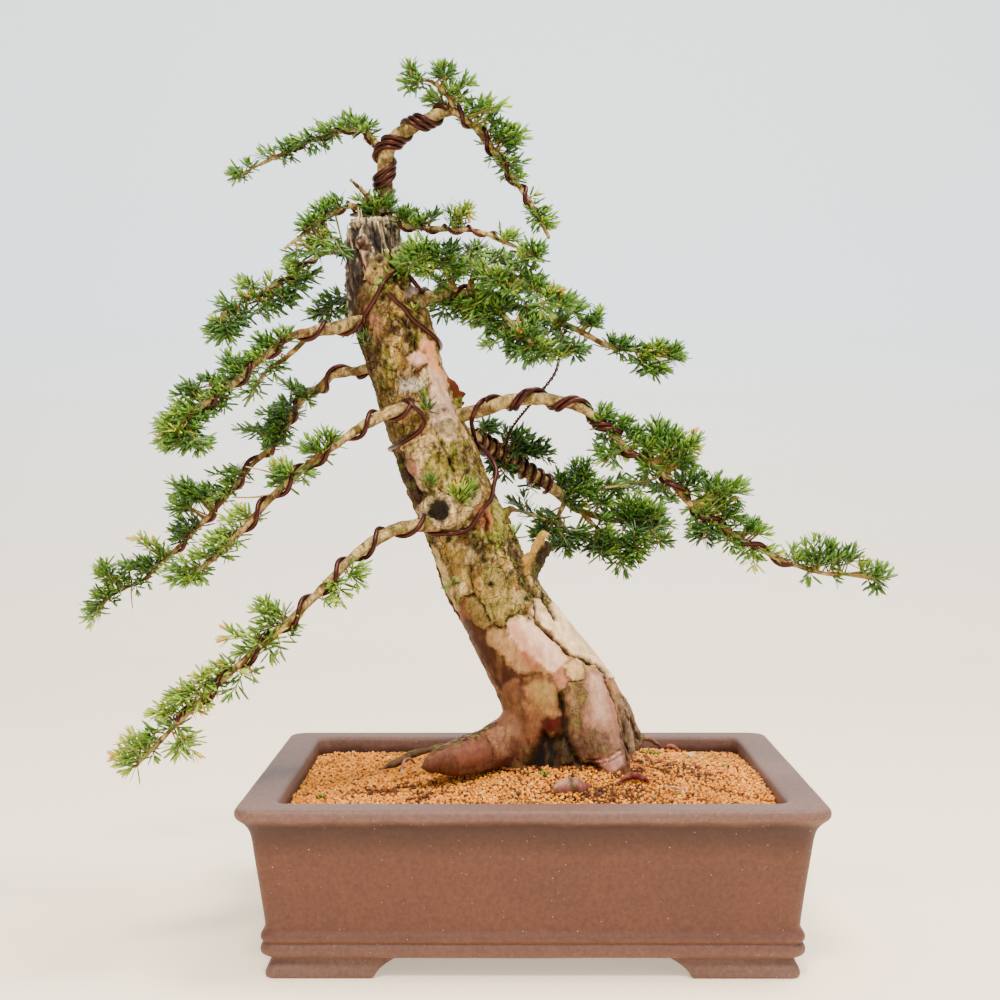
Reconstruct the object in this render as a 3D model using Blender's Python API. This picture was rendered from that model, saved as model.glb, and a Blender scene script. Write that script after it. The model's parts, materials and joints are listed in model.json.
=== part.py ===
# English yew bonsai in a stoneware pot: trunk, leafy sprays, bending wires, soil and pot.
# Lengths are in millimetres and every mesh is scaled to metres when its object is made.
# +X is the tree's right, -Y its front, +Z up. Places are measured from the pot's centre.

import bmesh
import bpy
import math
import numpy as np
import random
from mathutils import Matrix, Vector

for stale in list(bpy.data.objects):
    bpy.data.objects.remove(stale)

MM = 0.001
GAP = 0.3                       # clear space left between neighbouring pieces
POT_PLACE = (67.0, 0.0)         # pot's centre, from the middle of the whole tree's outline

# Pot
RIM_LENGTH = 450.0
RIM_WIDTH = 340.0
POT_HEIGHT = 133.0
FOOT_HEIGHT = 15.5
FLOOR_TOP = 27.0
INNER_FLOOR_HALF = 190.0        # half length of the hollow at the floor
INNER_RIM_HALF = 195.0          # and just below the rim
INNER_RIM_Z = 126.0
LENGTH_OVER_WIDTH = (RIM_LENGTH - RIM_WIDTH) / 2
CORNER_STEPS = 3
DRAIN_X = 95.0
DRAIN_RADIUS = 17.0
SCREEN_SIDE = 52.0
SCREEN_THICK = 1.0

# Soil mound
SOIL_EDGE = 116.0
SOIL_RISE = 28.0
SOIL_PEAK = (40.0, -10.0)
SOIL_SPREAD = (140.0, 120.0)
SOIL_RINGS = (0.86, 0.68, 0.5, 0.3)     # rings of the surface, as shares of the way to the rim
SOIL_RIPPLE = 0.8
WOOD_ROOM = 0.45                # growth of the buried wood that the soil makes room for

# Trunk stations, top to bottom: height, centre x, centre y, half width
TRUNK = [
    (594, -131, 0, 19), (578, -132, 0, 22), (562, -130, 0, 24.5), (545, -126, 0, 27.5),
    (528, -120, 0, 31.5), (511, -115, 0, 34.5), (478, -106, 0, 33.7), (444, -95, 0, 33.3),
    (410, -81, 0, 35), (376, -69, 0, 36.8), (343, -56, 0, 38), (309, -42, -1, 39.3),
    (275, -25, -2, 43.5), (241, -3, -4, 47.5), (207, 16, -6, 49.5), (173, 27, -8, 48),
    (150, 27, -8, 52), (128, 25, -8, 56), (100, 22, -6, 58), (64, 20, -4, 44),
]
TRUNK_SIDES = 12
TRUNK_STEP = 22.0
TRUNK_DEPTH = 0.92              # depth of the trunk over its width
TRUNK_WAVES = ((3, 90, 0.035), (5, -60, 0.02))  # ridges round it, mm of rise a radian, share
DEAD_TOP_Z = 545.0              # above this the wood is bare, grey and splintered
DEAD_RIDGE = 0.05               # share by which its ridges stand out
SPLINTER_LOW, SPLINTER_HIGH = 2.0, 7.0
DEAD_HOLLOW = 9.0               # depth of the rotted middle of the dead top
SPLINTER_SEED = 11

# Roots, dead stubs and knots that are part of the trunk: x, y, z, radius
ROOTS = {
    "left_root": [(8, -12, 206, 26), (-15, -24, 180, 22), (-37, -40, 164, 19),
                  (-55, -52, 152, 15), (-73, -61, 142, 11), (-88, -67, 130, 9), (-98, -72, 112, 7)],
    "thin_root": [(-22, -6, 170, 7), (-51, -10, 158, 5.5), (-72, -17, 150, 5),
                  (-92, -24, 142, 4), (-110, -30, 132, 3.4), (-122, -34, 120, 3)],
    "right_lobe": [(40, -16, 236, 20), (48, -28, 210, 21), (52, -36, 186, 20),
                   (57, -44, 164, 16), (63, -51, 146, 12), (70, -58, 126, 10), (76, -64, 108, 8)],
    "middle_lobe": [(4, -18, 216, 20), (9, -30, 190, 22), (12, -38, 166, 20), (14, -46, 140, 17),
                    (16, -52, 116, 12)],
    "back_root": [(60, 4, 218, 12), (70, 14, 200, 11), (80, 23, 181, 8.5), (88, 33, 163, 7),
                  (95, 44, 144, 6), (102, 56, 126, 5)],
    "surfacing_root": [(40, -40, 116, 9), (36, -70, 116, 8), (20, -88, 124, 7.5),
                       (14, -97, 131, 6.5), (24, -100, 137, 8), (36, -100, 139, 8),
                       (46, -98, 134, 6.5), (52, -92, 124, 5)],
    "side_root": [(74, 10, 128, 8), (98, 34, 146, 4), (110, 46, 148, 3.4), (122, 56, 140, 3),
                  (132, 62, 128, 2.6)],
}
STUBS = {
    "pale_jin": [(-22, -16, 272, 12), (-12, -20, 290, 10), (-5, -20, 303, 7.5),
                 (3, -20, 315, 6), (10, -18, 328, 4.5)],
    "dark_jin": [(-14, -6, 272, 12), (-4, -10, 288, 9), (5, -10, 303, 7), (15, -8, 323, 5.5)],
    "cut_knot": [(-66, -24, 350, 13), (-75, -38, 351, 12), (-77, -43, 351, 10)],
    "grey_knot": [(-104, -14, 530, 9), (-95, -28, 533, 7.5), (-93, -33, 534, 6)],
    "bark_tongue": [(-76, 2, 408, 13), (-66, -4, 424, 9), (-60, -6, 440, 4.5), (-57, -6, 449, 2)],
}
FLAKE = [(-86, 474), (-72, 470), (-66, 460), (-61, 459), (-60, 453), (-55, 451), (-58, 445),
         (-52, 440), (-70, 440), (-80, 444)]
FLAKE_Y = 9.0
FLAKE_THICK = 2.0

# Branches: route x, y, z, radius; leafy_from is the route point where the bare wood ends
BRANCHES = {
    "leader": dict(leafy_from=8, shoots=6, route=[
        (-127, 8, 560, 10), (-125, 13, 594, 8), (-122, 8, 616, 7), (-122, 0, 635, 6.5),
        (-119, -2, 652, 6.2), (-110, -5, 665, 6), (-96, -8, 672, 5.8), (-81, -10, 679, 5.4),
        (-70, -10, 683, 4.9), (-59, -8, 682, 4.2), (-41, 0, 667, 3.6), (-23, 6, 644, 3.2),
        (-8, 0, 622, 2.8), (5, -10, 601, 2.4), (16, -18, 577, 1.8)]),
    "left_1": dict(leafy_from=2, shoots=6, route=[
        (-121, -1, 648, 3.5), (-133, 6, 665, 3), (-150, 14, 674, 2.8), (-188, 32, 668, 2.4),
        (-207, 40, 661, 2.2), (-228, 47, 653, 1.9), (-241, 50, 647, 1.5)]),
    "foot_tuft": dict(leafy_from=1, shoots=2, route=[
        (-124, 4, 604, 3), (-132, -5, 611, 2.6), (-140, -14, 618, 2.2), (-148, -23, 625, 1.8)]),
    "left_2": dict(leafy_from=2, shoots=4, route=[
        (-127, 8, 594, 4), (-138, 8, 602, 3), (-149, 0, 607, 2.8), (-161, -12, 601, 2.6),
        (-174, -24, 591, 2.4), (-186, -34, 579, 2.2), (-200, -44, 566, 1.6)]),
    "left_3": dict(leafy_from=3, shoots=6, route=[
        (-130, 6, 560, 4), (-144, 12, 567, 3), (-155, 20, 572, 2.8), (-175, 22, 570, 2.6),
        (-188, 16, 562, 2.5), (-203, 8, 549, 2.3), (-221, 0, 537, 2.1), (-242, -10, 524, 1.8),
        (-257, -17, 515, 1.5)]),
    "left_4": dict(leafy_from=2, shoots=2, route=[
        (-130, 10, 527, 3), (-152, 18, 530, 2.2), (-163, 24, 530, 2), (-181, 32, 520, 1.3)]),
    "left_5": dict(leafy_from=4, shoots=6, route=[
        (-118, -6, 508, 7.5), (-140, -15, 508, 6), (-150, -24, 506, 5.6), (-164, -34, 501, 5.3),
        (-176, -42, 499, 5), (-197, -56, 492, 4.6), (-219, -70, 472, 4.2), (-238, -82, 453, 3.6),
        (-262, -98, 433, 3), (-286, -112, 412, 2)]),
    "left_6": dict(leafy_from=5, shoots=9, route=[
        (-116, 4, 470, 6), (-134, 14, 472, 4.5), (-147, 26, 470, 4.2), (-171, 42, 467, 4),
        (-183, 49, 456, 3.9), (-203, 60, 443, 3.7), (-222, 72, 411, 3.5), (-248, 84, 389, 3.2),
        (-280, 96, 352, 2.8), (-316, 106, 317, 2.5), (-351, 112, 285, 2.2), (-372, 114, 275, 1.9),
        (-387, 113, 266, 1.5)]),
    "left_7": dict(leafy_from=3, shoots=7, route=[
        (-84, -14, 436, 7), (-92, -32, 436, 5.6), (-113, -48, 433, 5), (-137, -58, 420, 4.7),
        (-169, -70, 397, 4.3), (-198, -80, 372, 4), (-223, -88, 345, 3.5), (-244, -94, 322, 3),
        (-262, -96, 308, 2.3), (-274, -95, 302, 1.7)]),
    "left_8": dict(leafy_from=4, shoots=6, route=[
        (-66, -16, 348, 8), (-79, -36, 346, 6.5), (-96, -52, 342, 5.5), (-113, -62, 336, 5),
        (-142, -80, 316, 4.6), (-169, -95, 288, 4.3), (-197, -108, 261, 3.9),
        (-227, -120, 235, 3.4), (-257, -130, 207, 2.9), (-283, -134, 181, 2.2),
        (-304, -132, 159, 1.5)]),
    "right_1": dict(leafy_from=2, shoots=5, route=[
        (-126, 4, 586, 4), (-111, -8, 595, 3.2), (-103, -16, 588, 3), (-82, -28, 584, 2.8),
        (-66, -38, 582, 2.7), (-41, -54, 578, 2.5), (-18, -64, 567, 2.2), (4, -64, 556, 1.5)]),
    "right_2": dict(leafy_from=2, shoots=7, route=[
        (-118, 2, 518, 9), (-98, 4, 526, 7.5), (-76, 10, 532, 6.5), (-54, 6, 534, 5.5),
        (-32, 0, 530, 4.8), (-8, -4, 521, 4.2), (16, -2, 512, 3.8), (38, 4, 504, 3.4),
        (70, 16, 489, 2.9), (91, 22, 487, 2.4), (107, 27, 484, 1.7)]),
    "right_3": dict(leafy_from=6, shoots=10, route=[
        (-84, 0, 420, 8), (-69, -5, 427, 6.6), (-52, -14, 432, 6), (-33, -22, 437, 5.8),
        (-15, -30, 443, 5.5), (15, -40, 443, 5), (40, -48, 436, 4.5), (58, -54, 423, 4.2),
        (78, -60, 402, 4), (105, -66, 384, 3.7), (130, -72, 356, 3.4), (166, -78, 331, 3),
        (195, -82, 316, 2.6), (230, -84, 304, 2.2), (254, -83, 303, 1.7)]),
    "right_4": dict(leafy_from=5, shoots=3, route=[
        (-74, 4, 426, 8), (-57, 12, 417, 6.5), (-36, 34, 405, 6.2), (-10, 56, 388, 6),
        (17, 72, 371, 5.6), (30, 80, 360, 5.2), (45, 86, 348, 4.6), (73, 94, 339, 3.5),
        (90, 98, 336, 2.2)]),
}

# Side twigs that fork from the leafy part of a branch
TWIGS = [
    dict(of="leader", shoots=3, route=[(-66, -10, 683, 3.4), (-74, 0, 695, 2.4),
                                       (-80, 10, 703, 2), (-84, 16, 710, 1.4)]),
    dict(of="leader", shoots=3, route=[(-61, -9, 683, 3), (-72, -16, 700, 2.2),
                                       (-86, -22, 707, 1.9), (-98, -27, 703, 1.4)]),
    dict(of="left_5", shoots=4, route=[(-180, -44, 497, 3.5), (-188, -36, 489, 3),
                                       (-204, -24, 477, 2.6), (-221, -12, 467, 2.3),
                                       (-242, 8, 439, 1.4)]),
    dict(of="right_2", shoots=3, route=[(-70, 9, 533, 4), (-66, 24, 546, 3.2),
                                        (-51, 42, 560, 2.7), (-29, 60, 567, 2.2),
                                        (-4, 76, 560, 1.8), (21, 88, 547, 1.3)]),
    dict(of="right_2", shoots=2, route=[(-60, 7, 533, 4), (-66, -10, 543, 3),
                                        (-72, -28, 553, 2.2), (-78, -44, 560, 1.4)]),
    dict(of="right_2", shoots=3, route=[(-36, 0, 531, 3.6), (-21, -24, 512, 3),
                                        (-8, -46, 496, 2.5), (8, -62, 484, 2),
                                        (25, -72, 476, 1.3)]),
    dict(of="right_2", shoots=3, route=[(-52, 6, 534, 3.4), (-45, -16, 548, 2.8),
                                        (-25, -38, 549, 2.4), (-4, -56, 536, 2),
                                        (17, -66, 522, 1.3)]),
    dict(of="right_4", shoots=2, route=[(32, 81, 359, 3), (42, 86, 365, 2.6),
                                        (69, 98, 368, 2), (98, 110, 373, 1.3)]),
    dict(of="right_4", shoots=2, route=[(33, 81, 358, 3), (28, 70, 347, 2.5), (21, 58, 338, 2.2),
                                        (8, 50, 343, 1.9), (-18, 40, 352, 1.3)]),
    dict(of="right_4", shoots=3, route=[(46, 86, 348, 3), (57, 78, 336, 2.6), (70, 70, 327, 2.2),
                                        (102, 56, 312, 1.3)]),
]

# Little sprigs that grow straight from the bark: height, angle round the trunk, direction
SPRIGS = [
    (366, -88, (0.1, -0.9, 0.5)),
    (382, -125, (-0.2, -0.9, 0.2)),
    (290, -138, (-0.2, -0.9, 0.3)),
    (482, -118, (-0.2, -0.6, 0.8)),
    (434, -76, (0.1, -0.6, 0.8)),
]

SPRIG_ROOT = 4.5                # depth of a sprig's root below the bark
SPRIG_SEED = 5

# Wires. Each end is wound on a branch from one route share to another, and the points
# between the ends are laid round the trunk as (height, angle in degrees seen from above).
WIRES = {
    "leader_a": dict(radius=2.0, coils=[("leader", 0.20, 0.52, 30, 0)]),
    "leader_b": dict(radius=2.0, coils=[("leader", 0.20, 0.52, 30, 120)]),
    "left_1": dict(radius=1.4, coils=[("left_1", 0.12, 0.80, 26, 60)]),
    "left_2_right_1": dict(radius=1.4, coils=[("left_2", 0.72, 0.16, 24, 200),
                                              ("right_1", 0.16, 0.80, 24, 40)],
                           trunk=[(601, 150, 8), (603, 100, 16), (602, 40, 16), (600, 0, 6)]),
    "left_3": dict(radius=1.4, coils=[("left_3", 0.14, 0.80, 26, 90)]),
    "left_5_right_2": dict(radius=2.0, coils=[("left_5", 0.84, 0.14, 36, 250),
                                              ("right_2", 0.12, 0.46, 34, 100)],
                           trunk=[(505, -150, 0), (515, -125, 0), (529, -100, 0),
                                  (541, -80, 0), (548, -55, 0), (546, -25, 0)]),
    "left_6": dict(radius=2.0, coils=[("left_6", 0.84, 0.10, 42, 70)],
                   trunk=[(478, 128, 0), (483, 90, 0), (486, 45, 0), (489, 5, 0), (496, -30, 0),
                          (510, -58, 0), (527, -78, 0), (538, -92, 0)]),
    "left_7_right_3": dict(radius=2.0, coils=[("left_7", 0.82, 0.10, 38, 230),
                                              ("right_3", 0.10, 0.88, 36, 200)],
                           trunk=[(414, -120, 0), (406, -150, 0), (402, 175, 0), (400, 120, 0),
                                  (404, 70, 0), (408, 30, 0)]),
    "right_3_second": dict(radius=2.0, coils=[("right_3", 0.14, 0.44, 36, 71)]),
    "left_8_right_4": dict(radius=2.0, coils=[("left_8", 0.86, 0.10, 42, 180),
                                              ("right_4", 0.16, 0.60, 11, 250)],
                           trunk=[(336, -128, 0), (334, -96, 0), (341, -72, 0), (356, -58, 0),
                                  (376, -44, 0), (394, -28, 0), (408, -4, 0)]),
}
WIRE_EASE = 1.2                 # room for the flats and corners of wire and wood
LAYING_ROUNDS = 25              # rounds of pressing a wire clear of what it lies on
TRUNK_LEAN = 1.2                # the leaning trunk's side is nearer than its level section says
COIL_STEPS = 6                  # straight pieces in one turn of wire
GUY_RADIUS = 1.0

# Needles, at their true length
NEEDLE_LENGTH = 15.5
NEEDLE_LEAN = 0.75              # how far a needle leans towards its shoot's tip
NEEDLE_STEP = 5.6               # length of one row of needles along the shoot
SHOOT_STALK = 6.0
SHOOT_RADIUS = 1.2
SHOOT_ROWS = 2
TIP_ROWS = 2
LOWEST_LEAF_Z = 142.0
FEWEST_NEEDLES = 6
NEEDLE_ROOT_ROOM = 1.3          # radius kept clear round a needle's wide root
NEEDLE_ROOM = 0.8               # and round the rest of it
LEAF_TURN = 137.5               # degrees from one shoot's side of the branch to the next one's
SHOOT_SEED = 20
SHOOT_TRIES, TIP_TRIES = 14, 8
CORE_STEP = 18.0


def smooth_route(points, step):
    # Catmull-Rom curve through the points, read at even steps; also each point's distance along
    knots = [Vector(p) for p in np.array(points, dtype=float)[:, :3]]
    sizes = [p[3] for p in points] if len(points[0]) > 3 else [0.0] * len(points)
    fine, widths, marks, run = [], [], [], 0.0
    for i in range(len(knots) - 1):
        before = knots[i - 1] if i else knots[0] * 2 - knots[1]
        after = knots[i + 2] if i + 2 < len(knots) else knots[-1] * 2 - knots[-2]
        for j in range(12):
            t = j / 12
            here = 0.5 * (2 * knots[i] + (knots[i + 1] - before) * t
                          + (2 * before - 5 * knots[i] + 4 * knots[i + 1] - after) * t ** 2
                          + (3 * knots[i] - before - 3 * knots[i + 1] + after) * t ** 3)
            if fine:
                run += (here - fine[-1][1]).length
            if j == 0:
                marks.append(run)
            fine.append((run, here))
            widths.append(sizes[i] + (sizes[i + 1] - sizes[i]) * t)
    run += (knots[-1] - fine[-1][1]).length
    marks.append(run)
    fine.append((run, knots[-1]))
    widths.append(sizes[-1])
    runs = np.array([f[0] for f in fine])
    spots = np.array([f[1] for f in fine])
    count = max(2, round(run / step)) + 1
    even = np.linspace(0.0, run, count)
    places = [Vector([np.interp(s, runs, spots[:, k]) for k in range(3)]) for s in even]
    radii = [float(np.interp(s, runs, widths)) for s in even]
    return places, radii, [float(s) for s in even], marks


def carried_frames(places):
    # One frame at each place, turned as little as possible from one to the next
    frames = []
    side = None
    for i, place in enumerate(places):
        ahead = (places[min(i + 1, len(places) - 1)] - places[max(i - 1, 0)]).normalized()
        if side is None:
            side = ahead.orthogonal().normalized()
        side = (side - ahead * side.dot(ahead)).normalized()
        frames.append((ahead, side, ahead.cross(side)))
    return frames


def ring_between(bm, lower, upper):
    count = len(lower)
    for i in range(count):
        bm.faces.new((lower[i], lower[(i + 1) % count], upper[(i + 1) % count], upper[i]))


def closed_tube(bm, places, radii, sides, turn=0.0):
    rings = []
    for place, radius, (ahead, side, across) in zip(places, radii, carried_frames(places)):
        facing = Matrix((side, across, ahead)).transposed().to_4x4()
        made = bmesh.ops.create_circle(bm, segments=sides, radius=radius,
                                       matrix=Matrix.Translation(place) @ facing
                                       @ Matrix.Rotation(turn, 4, "Z"))
        for edge in list({e for v in made["verts"] for e in v.link_edges}):
            bm.edges.remove(edge)
        rings.append(made["verts"])
    for lower, upper in zip(rings, rings[1:]):
        ring_between(bm, lower, upper)
    bm.faces.new(rings[0])
    bm.faces.new(rings[-1])
    return rings


def make_object(name, bm):
    bmesh.ops.recalc_face_normals(bm, faces=bm.faces)
    if bm.calc_volume(signed=True) < 0:
        bmesh.ops.reverse_faces(bm, faces=bm.faces)
    bmesh.ops.scale(bm, vec=(MM, MM, MM), verts=bm.verts)
    mesh = bpy.data.meshes.new(name)
    bm.to_mesh(mesh)
    bm.free()
    made = bpy.data.objects.new(name, mesh)
    bpy.context.scene.collection.objects.link(made)
    return made


def tube_object(name, points, sides, step, grow=0.0):
    places, radii, _, _ = smooth_route(points, step)
    if grow:
        places[0] = places[0] + (places[0] - places[1]).normalized() * grow
        places[-1] = places[-1] + (places[-1] - places[-2]).normalized() * grow
    bm = bmesh.new()
    closed_tube(bm, places, [r + grow for r in radii], sides)
    return make_object(name, bm)


def combine(base, others, operation="UNION", solver="EXACT"):
    # Applies one Boolean between an object and a group of others, which are then removed
    group = bpy.data.collections.new("operands")
    bpy.context.scene.collection.children.link(group)
    for other in others:
        bpy.context.scene.collection.objects.unlink(other)
        group.objects.link(other)
    modifier = base.modifiers.new("combine", "BOOLEAN")
    modifier.operation = operation
    modifier.operand_type = "COLLECTION"
    modifier.collection = group
    modifier.solver = solver
    evaluated = base.evaluated_get(bpy.context.evaluated_depsgraph_get())
    joined = bpy.data.meshes.new_from_object(evaluated)
    base.modifiers.clear()
    base.data = joined
    for other in others:
        bpy.data.objects.remove(other)
    bpy.data.collections.remove(group)
    return base


def give_material(made, name, colour, roughness, metallic=0.0):
    material = bpy.data.materials.new(name)
    material.use_nodes = True
    shader = material.node_tree.nodes["Principled BSDF"]
    shader.inputs["Base Color"].default_value = (*colour, 1.0)
    shader.inputs["Roughness"].default_value = roughness
    shader.inputs["Metallic"].default_value = metallic
    made.data.materials.clear()
    made.data.materials.append(material)
    made.parent = pot_centre


# Pot

def rounded_rectangle(bm, half_length, z, corner, clear=0.0):
    half_width = half_length - LENGTH_OVER_WIDTH
    ring = []
    for quadrant, (sx, sy) in enumerate(((1, 1), (-1, 1), (-1, -1), (1, -1))):
        centre = (sx * (half_length - corner), sy * (half_width - corner))
        for step in range(CORNER_STEPS + 1):
            angle = math.pi / 2 * (quadrant + step / CORNER_STEPS)
            reach = corner - clear
            ring.append(bm.verts.new((centre[0] + reach * math.cos(angle),
                                      centre[1] + reach * math.sin(angle), z)))
    return ring


def hollow_half(z):
    share = (z - FLOOR_TOP) / (INNER_RIM_Z - FLOOR_TOP)
    return INNER_FLOOR_HALF + (INNER_RIM_HALF - INNER_FLOOR_HALF) * share


def build_pot():
    half = RIM_LENGTH / 2
    # half length and corner radius at each height, up the outside and down the inside
    profile = [
        (FOOT_HEIGHT, half - 22, 10), (19, half - 18.8, 11), (21, half - 17.2, 12), (25, half - 17.2, 12),
        (27, half - 19, 11), (29, half - 17.7, 12), (34, half - 17.7, 12),
        (36.5, half - 20.5, 11), (109, half - 11.5, 13),
        (118, half - 8, 14), (124, half - 3, 15), (127, half, 16), (131, half, 16),
        (POT_HEIGHT, half - 2.5, 15), (POT_HEIGHT, INNER_RIM_HALF + 3, 14),
        (131.3, INNER_RIM_HALF + 0.8, 13), (INNER_RIM_Z, INNER_RIM_HALF, 12),
        (FLOOR_TOP, INNER_FLOOR_HALF, 12),
    ]
    bm = bmesh.new()
    rings = [rounded_rectangle(bm, length, z, corner) for z, length, corner in profile]
    for lower, upper in zip(rings, rings[1:]):
        ring_between(bm, lower, upper)
    bm.faces.new(rings[0])
    bm.faces.new(rings[-1])
    pot = make_object("pot", bm)
    combine(pot, [bracket_foot(sx, sy) for sx in (1, -1) for sy in (1, -1)])
    combine(pot, [drain_cutter(side) for side in (1, -1)], operation="DIFFERENCE")
    give_material(pot, "unglazed_stoneware", (0.26, 0.11, 0.08), 0.75)


def bracket_foot(sx, sy):
    # height, reach of the outer corner, length of the arm along the front, thickness
    levels = [(0.0, 203.5, 78, 24), (3.0, 203.8, 82, 24), (8.0, 201.5, 84, 22),
              (13.0, 199.8, 91, 20), (17.0, 199.4, 96, 20)]
    bm = bmesh.new()
    rings = []
    for z, reach, arm, thick in levels:
        x, y, side_arm = reach, reach - LENGTH_OVER_WIDTH, arm * 0.8
        outline = [(x - 7, y), (x, y - 7), (x, y - side_arm), (x - thick, y - side_arm),
                   (x - thick, y - thick), (x - arm, y - thick), (x - arm, y)]
        rings.append([bm.verts.new((sx * px, sy * py, z)) for px, py in outline])
    for lower, upper in zip(rings, rings[1:]):
        ring_between(bm, lower, upper)
    bm.faces.new(rings[0])
    bm.faces.new(rings[-1])
    return make_object("foot", bm)


def drain_cutter(side):
    bm = bmesh.new()
    bmesh.ops.create_cone(bm, cap_ends=True, segments=12, radius1=DRAIN_RADIUS,
                          radius2=DRAIN_RADIUS, depth=2 * FLOOR_TOP,
                          matrix=Matrix.Translation((side * DRAIN_X, 0, FLOOR_TOP)))
    return make_object("drain_cutter", bm)


def screen_plate(name, side, grow=0.0):
    # Lies on the floor over its drain hole; grown, it is the room that the soil leaves for it
    bm = bmesh.new()
    low = FLOOR_TOP + GAP - 3 * grow
    high = FLOOR_TOP + GAP + SCREEN_THICK + grow
    place = Matrix.Translation((side * DRAIN_X, 0, (low + high) / 2))
    size = Matrix.Diagonal((SCREEN_SIDE + 2 * grow, SCREEN_SIDE + 2 * grow, high - low, 1))
    bmesh.ops.create_cube(bm, size=1.0, matrix=place @ size)
    return make_object(name, bm)


def build_screens():
    for name, side in (("drain_screen_left", -1), ("drain_screen_right", 1)):
        give_material(screen_plate(name, side), name, (0.02, 0.02, 0.02), 0.5)


# Soil

def soil_height(x, y):
    dx = (x - SOIL_PEAK[0]) / SOIL_SPREAD[0]
    dy = (y - SOIL_PEAK[1]) / SOIL_SPREAD[1]
    ripple = SOIL_RIPPLE * math.sin(x / 13 + y / 9)
    return SOIL_EDGE + SOIL_RISE * math.exp(-dx * dx - dy * dy) + ripple


def build_soil():
    bm = bmesh.new()
    base = rounded_rectangle(bm, hollow_half(FLOOR_TOP) - GAP, FLOOR_TOP + GAP, 12)
    rim = rounded_rectangle(bm, hollow_half(SOIL_EDGE) - 1.2 * GAP, SOIL_EDGE, 12)
    bm.faces.new(base)
    ring_between(bm, base, rim)
    outer = rim
    for share in SOIL_RINGS:
        inner = [bm.verts.new((SOIL_PEAK[0] * (1 - share) + v.co.x * share,
                               SOIL_PEAK[1] * (1 - share) + v.co.y * share, 0)) for v in rim]
        ring_between(bm, outer, inner)
        outer = inner
    bm.faces.new(outer)
    for vert in bm.verts:
        if vert not in base:
            vert.co.z = soil_height(vert.co.x, vert.co.y)
    soil = make_object("soil", bm)
    holes = buried_wood(WOOD_ROOM)
    holes += [screen_plate("screen_room", side, GAP) for side in (-1, 1)]
    combine(soil, holes, operation="DIFFERENCE")
    give_material(soil, "fired_clay_grain", (0.60, 0.28, 0.09), 0.95)


# Wood

def trunk_station(z):
    rows = sorted(TRUNK)
    heights = [row[0] for row in rows]
    return [float(np.interp(z, heights, [row[k] for row in rows])) for k in (1, 2, 3)]


def trunk_radius(z, angle, half_width):
    flutes = sum(share * math.sin(ridges * angle + z / rise) for ridges, rise, share in TRUNK_WAVES)
    if z > DEAD_TOP_Z:
        flutes += DEAD_RIDGE * math.cos(TRUNK_SIDES / 2 * angle)
    across = math.hypot(math.cos(angle), TRUNK_DEPTH * math.sin(angle))
    return half_width * across * (1 + flutes)


def trunk_object(grow=0.0, top=None):
    bm = bmesh.new()
    rows = [row for row in TRUNK if top is None or row[0] < top]
    places, widths, _, _ = smooth_route([(x, y, z, w) for z, x, y, w in rows], TRUNK_STEP)
    places[-1].z -= grow
    splinters = random.Random(SPLINTER_SEED)
    rings = []
    for place, width in zip(places, widths):
        ring = []
        for k in range(TRUNK_SIDES):
            angle = 2 * math.pi * k / TRUNK_SIDES
            radius = trunk_radius(place.z, angle, width) + grow
            spot = place + Vector((radius * math.cos(angle), radius * math.sin(angle), 0))
            if not rings and top is None:
                spike = splinters.uniform(SPLINTER_LOW, SPLINTER_HIGH)
                spot.z += spike if k % 2 else -spike
            ring.append(bm.verts.new(spot))
        rings.append(ring)
    for lower, upper in zip(rings, rings[1:]):
        ring_between(bm, lower, upper)
    crown = bm.faces.new(rings[0])
    bm.faces.new(rings[-1])
    if top is None:
        centre = bmesh.ops.poke(bm, faces=[crown])["verts"][0]
        centre.co.z -= DEAD_HOLLOW
    return make_object("trunk", bm)


def buried_wood(grow):
    # The trunk's foot and its roots, grown a little: what the soil makes room for
    wood = [trunk_object(grow, top=200)]
    wood += [tube_object(name, route, 7, 18, grow) for name, route in ROOTS.items()]
    return wood


def bark_flake():
    bm = bmesh.new()
    outline = [bm.verts.new((x, FLAKE_Y, z)) for x, z in FLAKE]
    face = bm.faces.new(outline)
    raised = bmesh.ops.extrude_face_region(bm, geom=[face])["geom"]
    moved = [v for v in raised if isinstance(v, bmesh.types.BMVert)]
    bmesh.ops.translate(bm, vec=(0, FLAKE_THICK, 0), verts=moved)
    return make_object("flake", bm)


class Branch:
    # A branch's smooth path, read densely, with its frames and where its bare wood ends
    def __init__(self, name, route, leafy_from=0):
        self.name = name
        self.places, self.radii, self.runs, marks = smooth_route(route, 3.0)
        self.frames = carried_frames(self.places)
        self.length = self.runs[-1]
        self.leafy_run = marks[leafy_from]

    def at(self, run):
        run = min(max(run, 0.0), self.length)
        i = min(int(np.searchsorted(self.runs, run)), len(self.runs) - 1)
        low = max(i - 1, 0)
        span = self.runs[i] - self.runs[low]
        share = (run - self.runs[low]) / span if span else 0.0
        place = self.places[low].lerp(self.places[i], share)
        radius = self.radii[low] + (self.radii[i] - self.radii[low]) * share
        ahead = self.frames[low][0].lerp(self.frames[i][0], share).normalized()
        side = self.frames[low][1].lerp(self.frames[i][1], share)
        side = (side - ahead * side.dot(ahead)).normalized()
        return place, radius, (ahead, side, ahead.cross(side))

    def core(self, start, end, step, sides):
        bm = bmesh.new()
        count = max(1, round((end - start) / step))
        stations = [self.at(start + (end - start) * i / count) for i in range(count + 1)]
        rings = []
        for place, radius, (ahead, side, across) in stations:
            rings.append([bm.verts.new(place + radius * (side * math.cos(a) + across * math.sin(a)))
                          for a in (2 * math.pi * k / sides for k in range(sides))])
        for lower, upper in zip(rings, rings[1:]):
            ring_between(bm, lower, upper)
        bm.faces.new(rings[0])
        bm.faces.new(rings[-1])
        return make_object(self.name, bm)


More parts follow.
